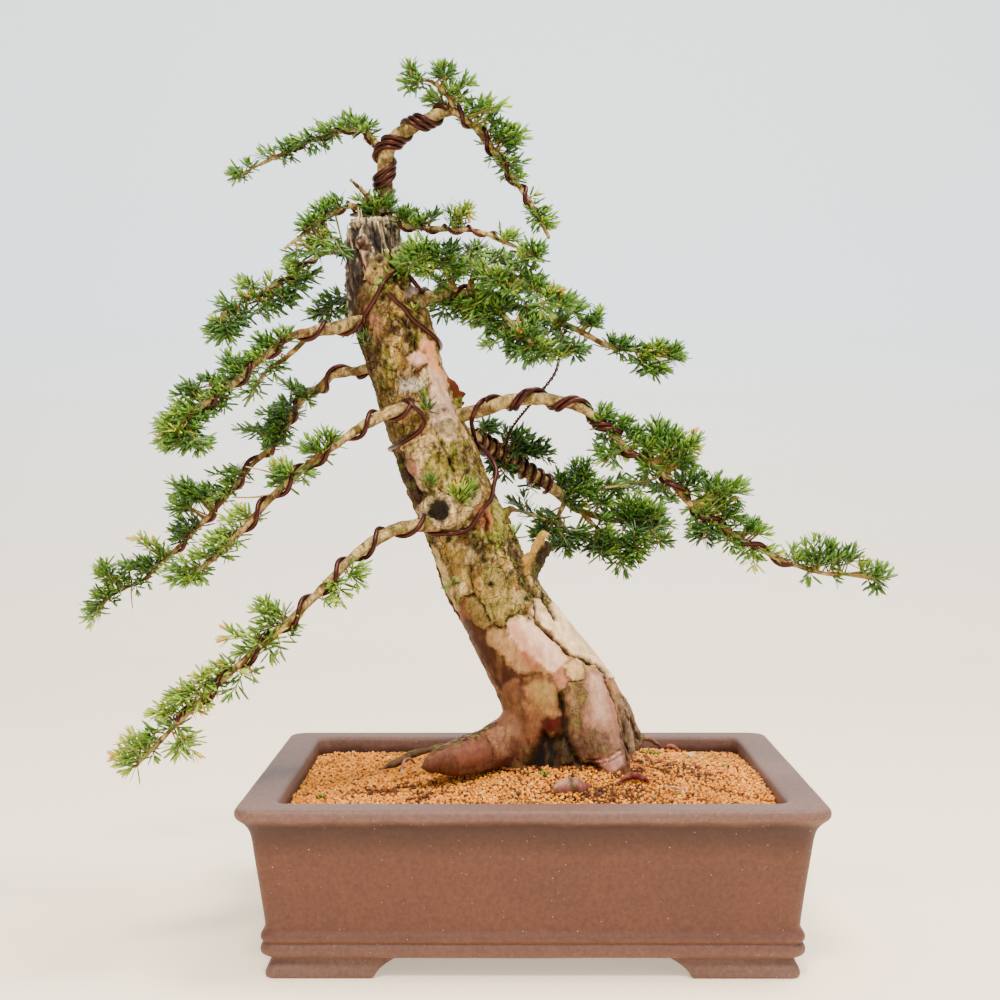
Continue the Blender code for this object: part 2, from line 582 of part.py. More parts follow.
class Crowd:
    # Straight round-ended pieces already in place, for keeping new ones clear of them
    def __init__(self):
        self.starts, self.ends, self.radii, self.owners = [], [], [], []

    def add(self, start, end, radius, owner):
        self.starts.append(tuple(start))
        self.ends.append(tuple(end))
        self.radii.append(radius)
        self.owners.append(owner)

    def add_path(self, places, radii, owner):
        for i in range(len(places) - 1):
            self.add(places[i], places[i + 1], max(radii[i], radii[i + 1]), owner)

    def clearance(self, start, end, radius, skip=()):
        # Smallest space between one straight piece and all the others
        keep = [i for i, owner in enumerate(self.owners) if owner not in skip]
        if not keep:
            return math.inf
        a0, a1 = np.array(self.starts)[keep], np.array(self.ends)[keep]
        width = np.array(self.radii)[keep]
        best = math.inf
        for share in np.linspace(0.0, 1.0, 5):
            spot = np.array(start) + (np.array(end) - np.array(start)) * share
            along = a1 - a0
            t = ((spot - a0) * along).sum(axis=1) / np.maximum((along ** 2).sum(axis=1), 1e-9)
            nearest = a0 + along * np.clip(t, 0, 1)[:, None]
            best = min(best, float((np.linalg.norm(spot - nearest, axis=1) - width).min()))
        return best - radius


def build_trunk(branches):
    trunk = trunk_object()
    pieces = [tube_object(name, route, 7, 18) for name, route in ROOTS.items()]
    pieces += [tube_object(name, route, 6, 14) for name, route in STUBS.items()]
    pieces += [branch.core(0, branch.leafy_run, CORE_STEP, 5) for branch in branches.values()]
    pieces.append(bark_flake())
    combine(trunk, pieces)
    sprigs = []
    dice = random.Random(SPRIG_SEED)
    for z, angle, aim in SPRIGS:
        place = on_trunk(z, angle, -SPRIG_ROOT, 0)
        plan = plan_shoot(place, Vector(aim).normalized(), SHOOT_ROWS, dice)
        sprigs.append(shoot_object(plan, plan["needles"]))
        for start, end in plan["axis_pairs"] + plan["needle_lines"]:
            crowd.add(start, end, SHOOT_RADIUS, "trunk")
    combine(trunk, sprigs)
    give_material(trunk, "yew_bark", (0.42, 0.28, 0.15), 0.85)


# Wires

def on_trunk(z, angle, lift, radius):
    x, y, half = trunk_station(z)
    turn = math.radians(angle)
    reach = trunk_radius(z, turn, half) + (radius + GAP) * TRUNK_LEAN + lift
    return Vector((x + reach * math.cos(turn), y + reach * math.sin(turn), z))


def coil(branch, first, last, pitch, phase, radius):
    # Helix round a branch between two shares of its length; it may run either way
    turns = abs(last - first) * branch.length / pitch
    count = max(2, round(turns * COIL_STEPS))
    bow = math.cos(math.pi / COIL_STEPS)
    spots = []
    for i in range(count + 1):
        share = first + (last - first) * i / count
        place, wood, (_, side, across) = branch.at(share * branch.length)
        angle = math.radians(phase) + 2 * math.pi * abs(share - first) * branch.length / pitch
        reach = (wood + radius + GAP) / bow
        spots.append(place + reach * (side * math.cos(angle) + across * math.sin(angle)))
    return spots


def out_of_trunk(spot, radius):
    # How far a point of wire has to move level to lie on the bark, and which way
    x, y, half = trunk_station(spot.z)
    away = Vector((spot.x - x, spot.y - y, 0))
    turn = math.atan2(away.y, away.x)
    lack = trunk_radius(spot.z, turn, half) + (radius + GAP) * TRUNK_LEAN - away.length
    inside = TRUNK[-1][0] < spot.z < TRUNK[0][0] + radius
    return away.normalized() * max(lack, 0.0) if inside else Vector((0, 0, 0))


def lay_wire(spots, radius):
    # Presses the wire out of the wood and of the wires laid before it, stretch by stretch
    starts, ends = np.array(crowd.starts), np.array(crowd.ends)
    widths, along = np.array(crowd.radii), ends - starts
    squares = np.maximum((along ** 2).sum(axis=1), 1e-9)
    for _ in range(LAYING_ROUNDS):
        for i in range(len(spots) - 1):
            for share in (0.0, 0.25, 0.5, 0.75, 1.0):
                here = spots[i].lerp(spots[i + 1], share)
                t = np.clip(((np.array(here) - starts) * along).sum(axis=1) / squares, 0, 1)
                away = np.array(here) - starts - along * t[:, None]
                distance = np.linalg.norm(away, axis=1)
                lack = widths + radius * WIRE_EASE + GAP - distance
                worst = int(lack.argmax())
                push = out_of_trunk(here, radius)
                if lack[worst] > 0.0:
                    push += Vector(away[worst] / max(distance[worst], 1e-6)) * float(lack[worst])
                spots[i] = spots[i] + push * (1 - share)
                spots[i + 1] = spots[i + 1] + push * share
    return spots


def build_wires(branches):
    for name, wire in WIRES.items():
        radius = wire["radius"]
        first = wire["coils"][0]
        spots = coil(branches[first[0]], *first[1:], radius)
        middle = [on_trunk(z, angle, lift, radius) for z, angle, lift in wire.get("trunk", [])]
        last = []
        if len(wire["coils"]) > 1:
            second = wire["coils"][1]
            last = coil(branches[second[0]], *second[1:], radius)
        if middle:
            bridge = [spots[-1]] + middle + last[:1]
            middle = smooth_route([tuple(p) for p in bridge], 11.0)[0]
            middle = middle[1:-1] if last else middle[1:]
        spots = lay_wire(spots + middle + last, radius)
        bm = bmesh.new()
        closed_tube(bm, spots, [radius] * len(spots), 4)
        made = make_object("wire_" + name, bm)
        give_material(made, "anodised_wire_" + name, (0.14, 0.03, 0.02), 0.35, 0.9)
        crowd.add_path(spots, [radius] * len(spots), "wire_" + name)


# Leaves

def plan_shoot(root, aim, rows, dice):
    # A young shoot: bare stalk, then rows of three needles, each row turned from the last
    bend = Vector((dice.uniform(-0.2, 0.2), dice.uniform(-0.2, 0.2), dice.uniform(0.0, 0.25)))
    axis = [root]
    ahead = aim.copy()
    for step in [SHOOT_STALK] + [NEEDLE_STEP] * rows:
        axis.append(axis[-1] + ahead * step)
        ahead = (ahead + bend * 0.25).normalized()
    plan = dict(axis=axis, tip=axis[-1] + ahead * NEEDLE_LENGTH * 0.6, rings=[], needles=[])
    turn = dice.uniform(0, 2 * math.pi)
    for i, (place, (along, side, across)) in enumerate(zip(axis, carried_frames(axis))):
        radius = SHOOT_RADIUS * (1.0 - 0.25 * i / len(axis))
        angles = [turn + 2 * math.pi * k / 3 + 0.45 * i for k in range(3)]
        plan["rings"].append([place + radius * (side * math.cos(a) + across * math.sin(a))
                              for a in angles])
    for row in range(1, rows + 1):
        low, high = plan["rings"][row], plan["rings"][row + 1]
        along = (axis[row + 1] - axis[row]).normalized()
        for k in range(3):
            near, far = low[(k + 1) % 3], high[k]
            for half, third in enumerate((low[k], high[(k + 1) % 3])):
                base = (near + far + third) / 3
                out = (base - (axis[row] * (2 - half) + axis[row + 1] * (1 + half)) / 3).normalized()
                out = (out + (third - axis[row + half]).normalized() * 0.25).normalized()
                point = (out + along * (NEEDLE_LEAN + dice.uniform(-0.15, 0.2))).normalized()
                length = NEEDLE_LENGTH * dice.uniform(0.88, 1.08)
                plan["needles"].append(((row, k, half), base, base + point * length))
    plan["axis_pairs"] = list(zip(axis, axis[1:] + [plan["tip"]]))
    plan["needle_lines"] = [(base, tip) for _, base, tip in plan["needles"]]
    return plan


def shoot_object(plan, needles):
    bm = bmesh.new()
    rings = [[bm.verts.new(p) for p in ring] for ring in plan["rings"]]
    tips = {panel: tip for panel, _, tip in needles}
    for row, (low, high) in enumerate(zip(rings, rings[1:])):
        for k in range(3):
            near, far = low[(k + 1) % 3], high[k]
            for half, corners in enumerate(((low[k], near, far), (near, high[(k + 1) % 3], far))):
                face = bm.faces.new(corners)
                if (row, k, half) in tips:
                    bmesh.ops.poke(bm, faces=[face])["verts"][0].co = tips[(row, k, half)]
    bm.faces.new(rings[0])
    end = bm.faces.new(rings[-1])
    bmesh.ops.poke(bm, faces=[end])["verts"][0].co = plan["tip"]
    return make_object("shoot", bm)


def clear_shoot(plan, core_owner):
    # True if the shoot's stalk is clear, with only those needles that are clear too
    for i, (start, end) in enumerate(plan["axis_pairs"]):
        skip = (core_owner,) if i < 2 else ()
        if crowd.clearance(start, end, SHOOT_RADIUS + 0.6, skip) < GAP:
            return None
    low = min(p.z for p in plan["axis"] + [plan["tip"]])
    if low < LOWEST_LEAF_Z:
        return None
    kept = []
    for panel, base, tip in plan["needles"]:
        root, middle = base.lerp(tip, 0.1), base.lerp(tip, 0.4)
        room = min(crowd.clearance(root, middle, NEEDLE_ROOT_ROOM),
                   crowd.clearance(middle, tip, NEEDLE_ROOM))
        if tip.z > LOWEST_LEAF_Z and room > GAP:
            kept.append((panel, base, tip))
    return kept


def place_shoot(plan, owner):
    # The shoot's object, once it is known to be clear, or None
    needles = clear_shoot(plan, owner + "_core")
    if needles is None or len(needles) < FEWEST_NEEDLES:
        return None
    for pair in plan["axis_pairs"]:
        crowd.add(*pair, SHOOT_RADIUS, owner)
    for _, base, tip in needles:
        crowd.add(base.lerp(tip, 0.12), tip, NEEDLE_ROOM, owner)
    return shoot_object(plan, needles)


def grow_shoots(branch, count, start, owner, dice):
    shoots = []
    for i in range(count):
        for attempt in range(SHOOT_TRIES):
            share = (i + 0.5 + dice.uniform(-0.3, 0.3)) / count
            run = start + 4 + (branch.length - start - 6) * share
            place, radius, (ahead, side, across) = branch.at(run)
            angle = math.radians(LEAF_TURN * i + 50 * attempt)
            out = side * math.cos(angle) + across * math.sin(angle)
            aim = (out + ahead * (0.7 + 0.9 * share ** 2) + Vector((0, 0, 0.25))).normalized()
            shoot = place_shoot(plan_shoot(place + out * radius * 0.35, aim, SHOOT_ROWS, dice),
                                owner)
            if shoot:
                shoots.append(shoot)
                break
    place, _, (ahead, side, across) = branch.at(branch.length - 3.0)
    for attempt in range(TIP_TRIES):
        aim = ahead + side * dice.uniform(-0.3, 0.3) + across * dice.uniform(-0.3, 0.3)
        shoot = place_shoot(plan_shoot(place, aim.normalized(), TIP_ROWS, dice), owner)
        if shoot:
            return shoots + [shoot]
    return shoots


def build_sprays(branches, twigs):
    dice = random.Random(SHOOT_SEED)
    for name, branch in branches.items():
        owner = "spray_" + name
        start = branch.leafy_run + GAP
        spray = branch.core(start, branch.length, CORE_STEP, 4)
        parts = []
        for twig, spec in twigs:
            if spec["of"] == name:
                parts.append(twig.core(0, twig.length, CORE_STEP, 4))
                parts += grow_shoots(twig, spec["shoots"], 12, owner, dice)
        parts += grow_shoots(branch, BRANCHES[name]["shoots"], start, owner, dice)
        combine(spray, parts, solver="MANIFOLD")
        spray.name = owner
        give_material(spray, "yew_leaf_" + name, (0.10, 0.24, 0.06), 0.55)


def build_guy(branches):
    # Twisted thin wire from the second right branch, past the third, to the fourth
    top, _, _ = branches["right_2"].at(0.66 * branches["right_2"].length)
    foot, _, _ = branches["right_4"].at(0.34 * branches["right_4"].length)
    route = [top + Vector((0, -6.5, -1)), top + Vector((-6, -14, -14)),
             Vector((22, -28, 468)), Vector((12, -34, 453)), Vector((4, -28, 444)),
             foot + Vector((8, -24, 24)), foot + Vector((2, -9.5, 4))]
    places, _, _, _ = smooth_route([tuple(p) for p in route], 10.0)
    places = lay_wire(places, GUY_RADIUS)
    bm = bmesh.new()
    closed_tube(bm, places, [GUY_RADIUS] * len(places), 4)
    give_material(make_object("guy_wire", bm), "twisted_wire", (0.10, 0.05, 0.04), 0.4, 0.9)
    crowd.add_path(places, [GUY_RADIUS] * len(places), "guy_wire")


pot_centre = bpy.data.objects.new("pot_centre", None)
bpy.context.scene.collection.objects.link(pot_centre)
pot_centre.location = (POT_PLACE[0] * MM, POT_PLACE[1] * MM, 0)

all_branches = {name: Branch(name, spec["route"], spec["leafy_from"])
                for name, spec in BRANCHES.items()}
all_twigs = [(Branch("twig", spec["route"]), spec) for spec in TWIGS]
crowd = Crowd()
for label, limb in all_branches.items():
    crowd.add_path(limb.places, limb.radii, "spray_" + label + "_core")
for limb, spec in all_twigs:
    crowd.add_path(limb.places, limb.radii, "spray_" + spec["of"] + "_core")
for label, route in list(ROOTS.items()) + list(STUBS.items()):
    spots, widths, _, _ = smooth_route(route, 8.0)
    crowd.add_path(spots, widths, "trunk")
for height in range(130, 594, 12):
    centre_x, centre_y, half_width = trunk_station(height)
    above = trunk_station(height + 12)
    crowd.add((centre_x, centre_y, height), (above[0], above[1], height + 12),
              half_width * 0.9, "trunk")

build_pot()
build_screens()
build_soil()
build_trunk(all_branches)
build_wires(all_branches)
build_guy(all_branches)
build_sprays(all_branches, all_twigs)
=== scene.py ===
# English yew bonsai, wired and potted: bark, needles, wire, clay grain and stoneware.
# Tables are in millimetres from the pot's centre: x to the tree's right, y to the back, z up.
import json
import math
import random
from functools import partial

import bmesh
import bpy
import numpy as np
from mathutils import Matrix, Vector, noise
from mathutils.bvhtree import BVHTree

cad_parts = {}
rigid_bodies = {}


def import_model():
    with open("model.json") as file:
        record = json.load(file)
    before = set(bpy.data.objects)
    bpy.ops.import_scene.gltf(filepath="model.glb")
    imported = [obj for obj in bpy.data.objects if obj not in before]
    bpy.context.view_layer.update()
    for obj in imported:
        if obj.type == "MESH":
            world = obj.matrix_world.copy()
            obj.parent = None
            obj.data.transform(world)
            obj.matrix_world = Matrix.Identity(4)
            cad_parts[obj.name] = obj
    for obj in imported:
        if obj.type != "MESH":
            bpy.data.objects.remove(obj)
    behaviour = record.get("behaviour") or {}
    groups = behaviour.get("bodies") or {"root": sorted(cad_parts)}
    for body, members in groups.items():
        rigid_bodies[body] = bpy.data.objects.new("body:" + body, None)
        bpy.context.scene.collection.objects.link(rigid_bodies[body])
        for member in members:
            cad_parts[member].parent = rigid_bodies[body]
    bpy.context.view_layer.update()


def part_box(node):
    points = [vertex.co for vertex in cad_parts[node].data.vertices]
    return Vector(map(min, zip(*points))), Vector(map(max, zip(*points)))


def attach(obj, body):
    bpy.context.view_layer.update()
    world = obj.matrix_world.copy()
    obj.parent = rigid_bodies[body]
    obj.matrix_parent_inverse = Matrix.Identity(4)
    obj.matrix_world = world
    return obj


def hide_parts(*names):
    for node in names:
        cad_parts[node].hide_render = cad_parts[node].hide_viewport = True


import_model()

potLow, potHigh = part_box("pot")
potCentre = Vector(((potLow.x + potHigh.x) / 2, (potLow.y + potHigh.y) / 2, 0.0))
metresPerMm = 0.001
toRow = Matrix.Translation(potCentre) @ Matrix.Scale(metresPerMm, 4)


# Small helpers

def hexColour(code):
    values = [int(code[i:i + 2], 16) / 255 for i in (1, 3, 5)]
    linear = [v / 12.92 if v <= 0.04045 else ((v + 0.055) / 1.055) ** 2.4 for v in values]
    return (*linear, 1.0)


def setUpNode(material, node, settings):
    # A key is a property or a socket; a value is plain, a hex colour or (node, output) to link
    for name, value in settings.items():
        if name == "stops":
            for _ in value[2:]:
                node.color_ramp.elements.new(0.5)
            for stop, (place, code) in zip(node.color_ramp.elements, value):
                stop.position = place
                stop.color = hexColour(code)
        elif isinstance(value, tuple) and isinstance(value[0], bpy.types.Node):
            material.node_tree.links.new(value[0].outputs[value[1]], node.inputs[name])
        elif isinstance(name, str) and hasattr(node, name):
            setattr(node, name, value)
        else:
            node.inputs[name].default_value = hexColour(value) if isinstance(value, str) else value
    return node


def addNode(material, kind, settings=None):
    node = material.node_tree.nodes.new("ShaderNode" + kind)
    usual = {"data_type": "RGBA"} if kind == "Mix" else {}
    return setUpNode(material, node, {**usual, **(settings or {})})


def newMaterial(name):
    # The material, and addNode for it
    material = bpy.data.materials.new(name)
    material.use_nodes = True
    return material, partial(addNode, material)


def surfaced(material, sockets):
    setUpNode(material, material.node_tree.nodes["Principled BSDF"], sockets)
    return material


def addObject(name, data):
    made = bpy.data.objects.new(name, data)
    bpy.context.scene.collection.objects.link(made)
    return made


def finishPiece(name, mesh, materials, nodes=(), smooth=True):
    # mesh is in millimetres from the pot's centre; the finished piece is in the frame's metres
    mesh.transform(toRow)
    mesh.polygons.foreach_set("use_smooth", [smooth] * len(mesh.polygons))
    mesh.materials.clear()
    for material in materials:
        mesh.materials.append(material)
    mesh.update()
    piece = addObject(name, mesh)
    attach(piece, "root")
    if nodes:
        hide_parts(*nodes)
    return piece


def meshOf(bm, name="shape"):
    mesh = bpy.data.meshes.new(name)
    bm.to_mesh(mesh)
    bm.free()
    return mesh


def evaluatedMesh(data, setUp=None):
    # The mesh of a curve or mesh once the modifiers that setUp adds are applied
    passing = addObject("passing", data)
    if setUp:
        setUp(passing)
    graph = bpy.context.evaluated_depsgraph_get()
    made = bpy.data.meshes.new_from_object(passing.evaluated_get(graph))
    bpy.data.objects.remove(passing)
    return made


def pointsOf(mesh):
    flat = np.empty(len(mesh.vertices) * 3, np.float32)
    mesh.vertices.foreach_get("co", flat)
    return flat.reshape(-1, 3).astype(float)


def normalsOf(mesh):
    flat = np.empty(len(mesh.vertices) * 3, np.float32)
    mesh.vertex_normals.foreach_get("vector", flat)
    return flat.reshape(-1, 3).astype(float)


def setPoints(mesh, points):
    mesh.vertices.foreach_set("co", points.astype(np.float32).ravel())
    mesh.update()


def setTint(mesh, colours):
    layer = mesh.attributes.new("tint", "FLOAT_COLOR", "POINT")
    rgba = np.ones((len(mesh.vertices), 4), np.float32)
    rgba[:, :3] = colours
    layer.data.foreach_set("color", rgba.ravel())


def setNumber(mesh, name, values):
    layer = mesh.attributes.new(name, "FLOAT", "POINT")
    layer.data.foreach_set("value", np.asarray(values, np.float32))


def field(points, size, seed=0.0, stretch=(1, 1, 1)):
    # A smooth random number, about -1 to 1, at every point; size is its wavelength in mm
    scaled = points / (np.array(stretch) * size) + np.array((seed * 7.31, -seed * 3.17, seed * 5.7))
    return np.array([noise.noise(Vector(p)) for p in scaled]) * 1.6


def ridged(points, size, seed=0.0, stretch=(1, 1, 1)):
    return 1.0 - 2.0 * np.abs(field(points, size, seed, stretch))


def ease(values, low, high):
    t = np.clip((values - low) / (high - low), 0.0, 1.0)
    return t * t * (3 - 2 * t)


def tinted(colours, share, code):
    target = np.array(hexColour(code)[:3])
    return colours + (target - colours) * np.clip(share, 0, 1)[:, None]


def plain(points, code):
    return np.tile(np.array(hexColour(code)[:3]), (len(points), 1))


def layered(colours, layers):
    # Each layer's colour over the ones before it, by its share at every point
    for share, code in layers:
        colours = tinted(colours, share, code)
    return colours


def smoothRoute(points, step):
    # Catmull-Rom curve through the points at even steps, with the size at each, and marks
    rows = np.array(points, dtype=float)
    knots, sizes = rows[:, :3], rows[:, 3] if rows.shape[1] > 3 else np.zeros(len(rows))
    padded = np.vstack([2 * knots[0] - knots[1], knots, 2 * knots[-1] - knots[-2]])
    fine, widths = [], []
    for i in range(len(knots) - 1):
        a, b, c, d = padded[i:i + 4]
        for j in range(12):
            t = j / 12
            fine.append(0.5 * (2 * b + (c - a) * t + (2 * a - 5 * b + 4 * c - d) * t ** 2
                               + (3 * b - a - 3 * c + d) * t ** 3))
            widths.append(sizes[i] + (sizes[i + 1] - sizes[i]) * t)
    fine.append(knots[-1])
    widths.append(sizes[-1])
    fine = np.array(fine)
    runs = np.concatenate([[0], np.cumsum(np.linalg.norm(np.diff(fine, axis=0), axis=1))])
    count = max(2, round(runs[-1] / step)) + 1
    even = np.linspace(0.0, runs[-1], count)
    places = np.stack([np.interp(even, runs, fine[:, k]) for k in range(3)], axis=1)
    return places, np.interp(even, runs, widths), even, runs[::12]


def carriedFrames(places):
    # A frame at each place, turned as little as possible from one to the next
    frames, side = [], None
    for i in range(len(places)):
        ahead = Vector(places[min(i + 1, len(places) - 1)] - places[max(i - 1, 0)]).normalized()
        if side is None:
            side = ahead.orthogonal().normalized()
        side = (side - ahead * side.dot(ahead)).normalized()
        frames.append((ahead, side, ahead.cross(side)))
    return frames


def sweptMesh(strands, sides):
    # One closed round tube for each (places, radii)
    curve = bpy.data.curves.new("strand", "CURVE")
    curve.dimensions = "3D"
    curve.bevel_depth = 1.0
    curve.bevel_resolution = sides // 2 - 2
    curve.use_fill_caps = True
    for places, radii in strands:
        spline = curve.splines.new("POLY")
        spline.points.add(len(places) - 1)
        spline.points.foreach_set("co", np.column_stack([places, np.ones(len(places))]).ravel())
        spline.points.foreach_set("radius", np.array(radii, dtype=float))
    made = evaluatedMesh(curve)
    bm = bmesh.new()
    bm.from_mesh(made)
    bmesh.ops.remove_doubles(bm, verts=bm.verts, dist=1e-4)
    bmesh.ops.recalc_face_normals(bm, faces=bm.faces)
    bm.to_mesh(made)
    bm.free()
    return made


def wrappedGrid(columns, rows, placeOf):
    # A closed skin: u runs once round it and v from its first ring to its last, both 0 to 1
    bm = bmesh.new()
    bmesh.ops.create_grid(bm, x_segments=columns, y_segments=rows, size=0.5)
    for vert in bm.verts:
        vert.co = placeOf(vert.co.x + 0.5, vert.co.y + 0.5)
    bmesh.ops.remove_doubles(bm, verts=bm.verts, dist=1e-3)
    bmesh.ops.holes_fill(bm, edges=[e for e in bm.edges if e.is_boundary], sides=0)
    bmesh.ops.recalc_face_normals(bm, faces=bm.faces)
    return bm


# Tree tables: the same routes as the frame's solids

trunkRows = [(594, -131, 0, 19), (578, -132, 0, 22), (562, -130, 0, 24.5), (545, -126, 0, 27.5),
             (528, -120, 0, 31.5), (511, -115, 0, 34.5), (478, -106, 0, 33.7),
             (444, -95, 0, 33.3), (410, -81, 0, 35), (376, -69, 0, 36.8), (343, -56, 0, 38),
             (309, -42, -1, 39.3), (275, -25, -2, 43.5), (241, -3, -4, 47.5),
             (207, 16, -6, 49.5), (173, 27, -8, 48), (150, 27, -8, 52), (128, 25, -8, 56),
             (100, 22, -6, 58), (64, 20, -4, 44)]
trunkDepth = 0.92

roots = {
    "leftRoot": [(8, -14, 176, 26), (-14, -24, 163, 21), (-26, -30, 158, 18.5), (-38, -40, 154, 17),
        (-50, -48, 152.5, 16.5), (-63, -56, 150.5, 15.5), (-73, -60, 150, 12.5), (-80, -63, 148, 8.5),
        (-84, -66, 142, 6)],
    "thinRoot": [(-30, -8, 164, 6.5), (-51, -9, 158, 5.5), (-66, -12, 154, 5), (-82, -18, 151.5, 4.2),
        (-96, -25, 149, 4), (-112, -32, 142.5, 3.2), (-126, -40, 137.5, 2)],
    "rightLobe": [(42, -20, 224, 15), (48, -28, 208, 19), (52, -34, 190, 20), (55, -39, 174, 20.5),
        (61, -45, 157, 17.5), (69, -50, 146, 13), (73, -56, 128, 9)],
    "rightFlank": [(-22, -2, 296, 14), (-12, -2, 284, 17), (-3, -2, 271, 18), (6, -3, 258, 18),
        (21, -3, 244, 18), (32, -4, 231, 18), (43, -4, 217, 18), (51, -4, 204, 18), (51, -4, 180, 17),
        (52, -4, 150, 18)],
    "middleLobe": [(4, -18, 216, 20), (9, -28, 194, 20), (13, -30, 176, 15), (18, -32, 158, 12),
        (22, -36, 140, 10), (24, -40, 120, 8)],
    "smallRoot": [(34, -32, 178, 8), (38, -40, 162, 8), (41, -45, 148, 7.5), (43, -48, 130, 6)],
    "backRoot": [(54, 4, 214, 8), (64, 10, 203, 8), (74, 15, 191, 6.5), (82, 22, 178, 7),
        (88, 30, 165, 5.5), (92, 38, 153, 7), (93, 44, 138, 6)],
    "knottyRoot": [(62, -8, 214, 5), (69, -6, 202, 6.2), (74, -3, 190, 5), (78, 1, 178, 6.4),
        (81, 5, 165, 5.2), (83, 8, 152, 6.5), (84, 9, 138, 6)],
    "sideRoot": [(84, 34, 158, 5), (92, 41, 155, 4), (100, 46, 150, 3.2), (109, 50, 145.5, 2.4),
        (117, 54, 139, 1.8)]}
stubs = {
    "paleJin": [(-15, -14, 278, 9), (-9, -17, 295, 6.2), (-2, -19, 309, 4.6), (5, -19, 321, 4.4),
        (10, -18, 330, 5), (13, -18, 334, 4.4)],
    "darkJin": [(-9, -5, 266, 10), (-3, -9, 284, 7.6), (3, -10, 300, 6.6), (11, -9, 315, 6),
        (17, -8, 326, 5)],
    "cutKnot": [(-66, -24, 350, 13), (-75, -38, 351, 12), (-77, -43, 351, 10)],
    "greyKnot": [(-104, -14, 530, 6.5), (-96, -27, 533, 4.8), (-93, -32, 534, 4)],
    "sideStub": [(-38, -8, 340, 5), (-28, -10, 345, 4.5), (-18, -9, 350, 3.8), (-12, -8, 354, 2.8)],
    "barkTongue": [(-76, 2, 408, 13), (-66, -4, 424, 9), (-60, -6, 440, 4.5), (-57, -6, 449, 2)]}

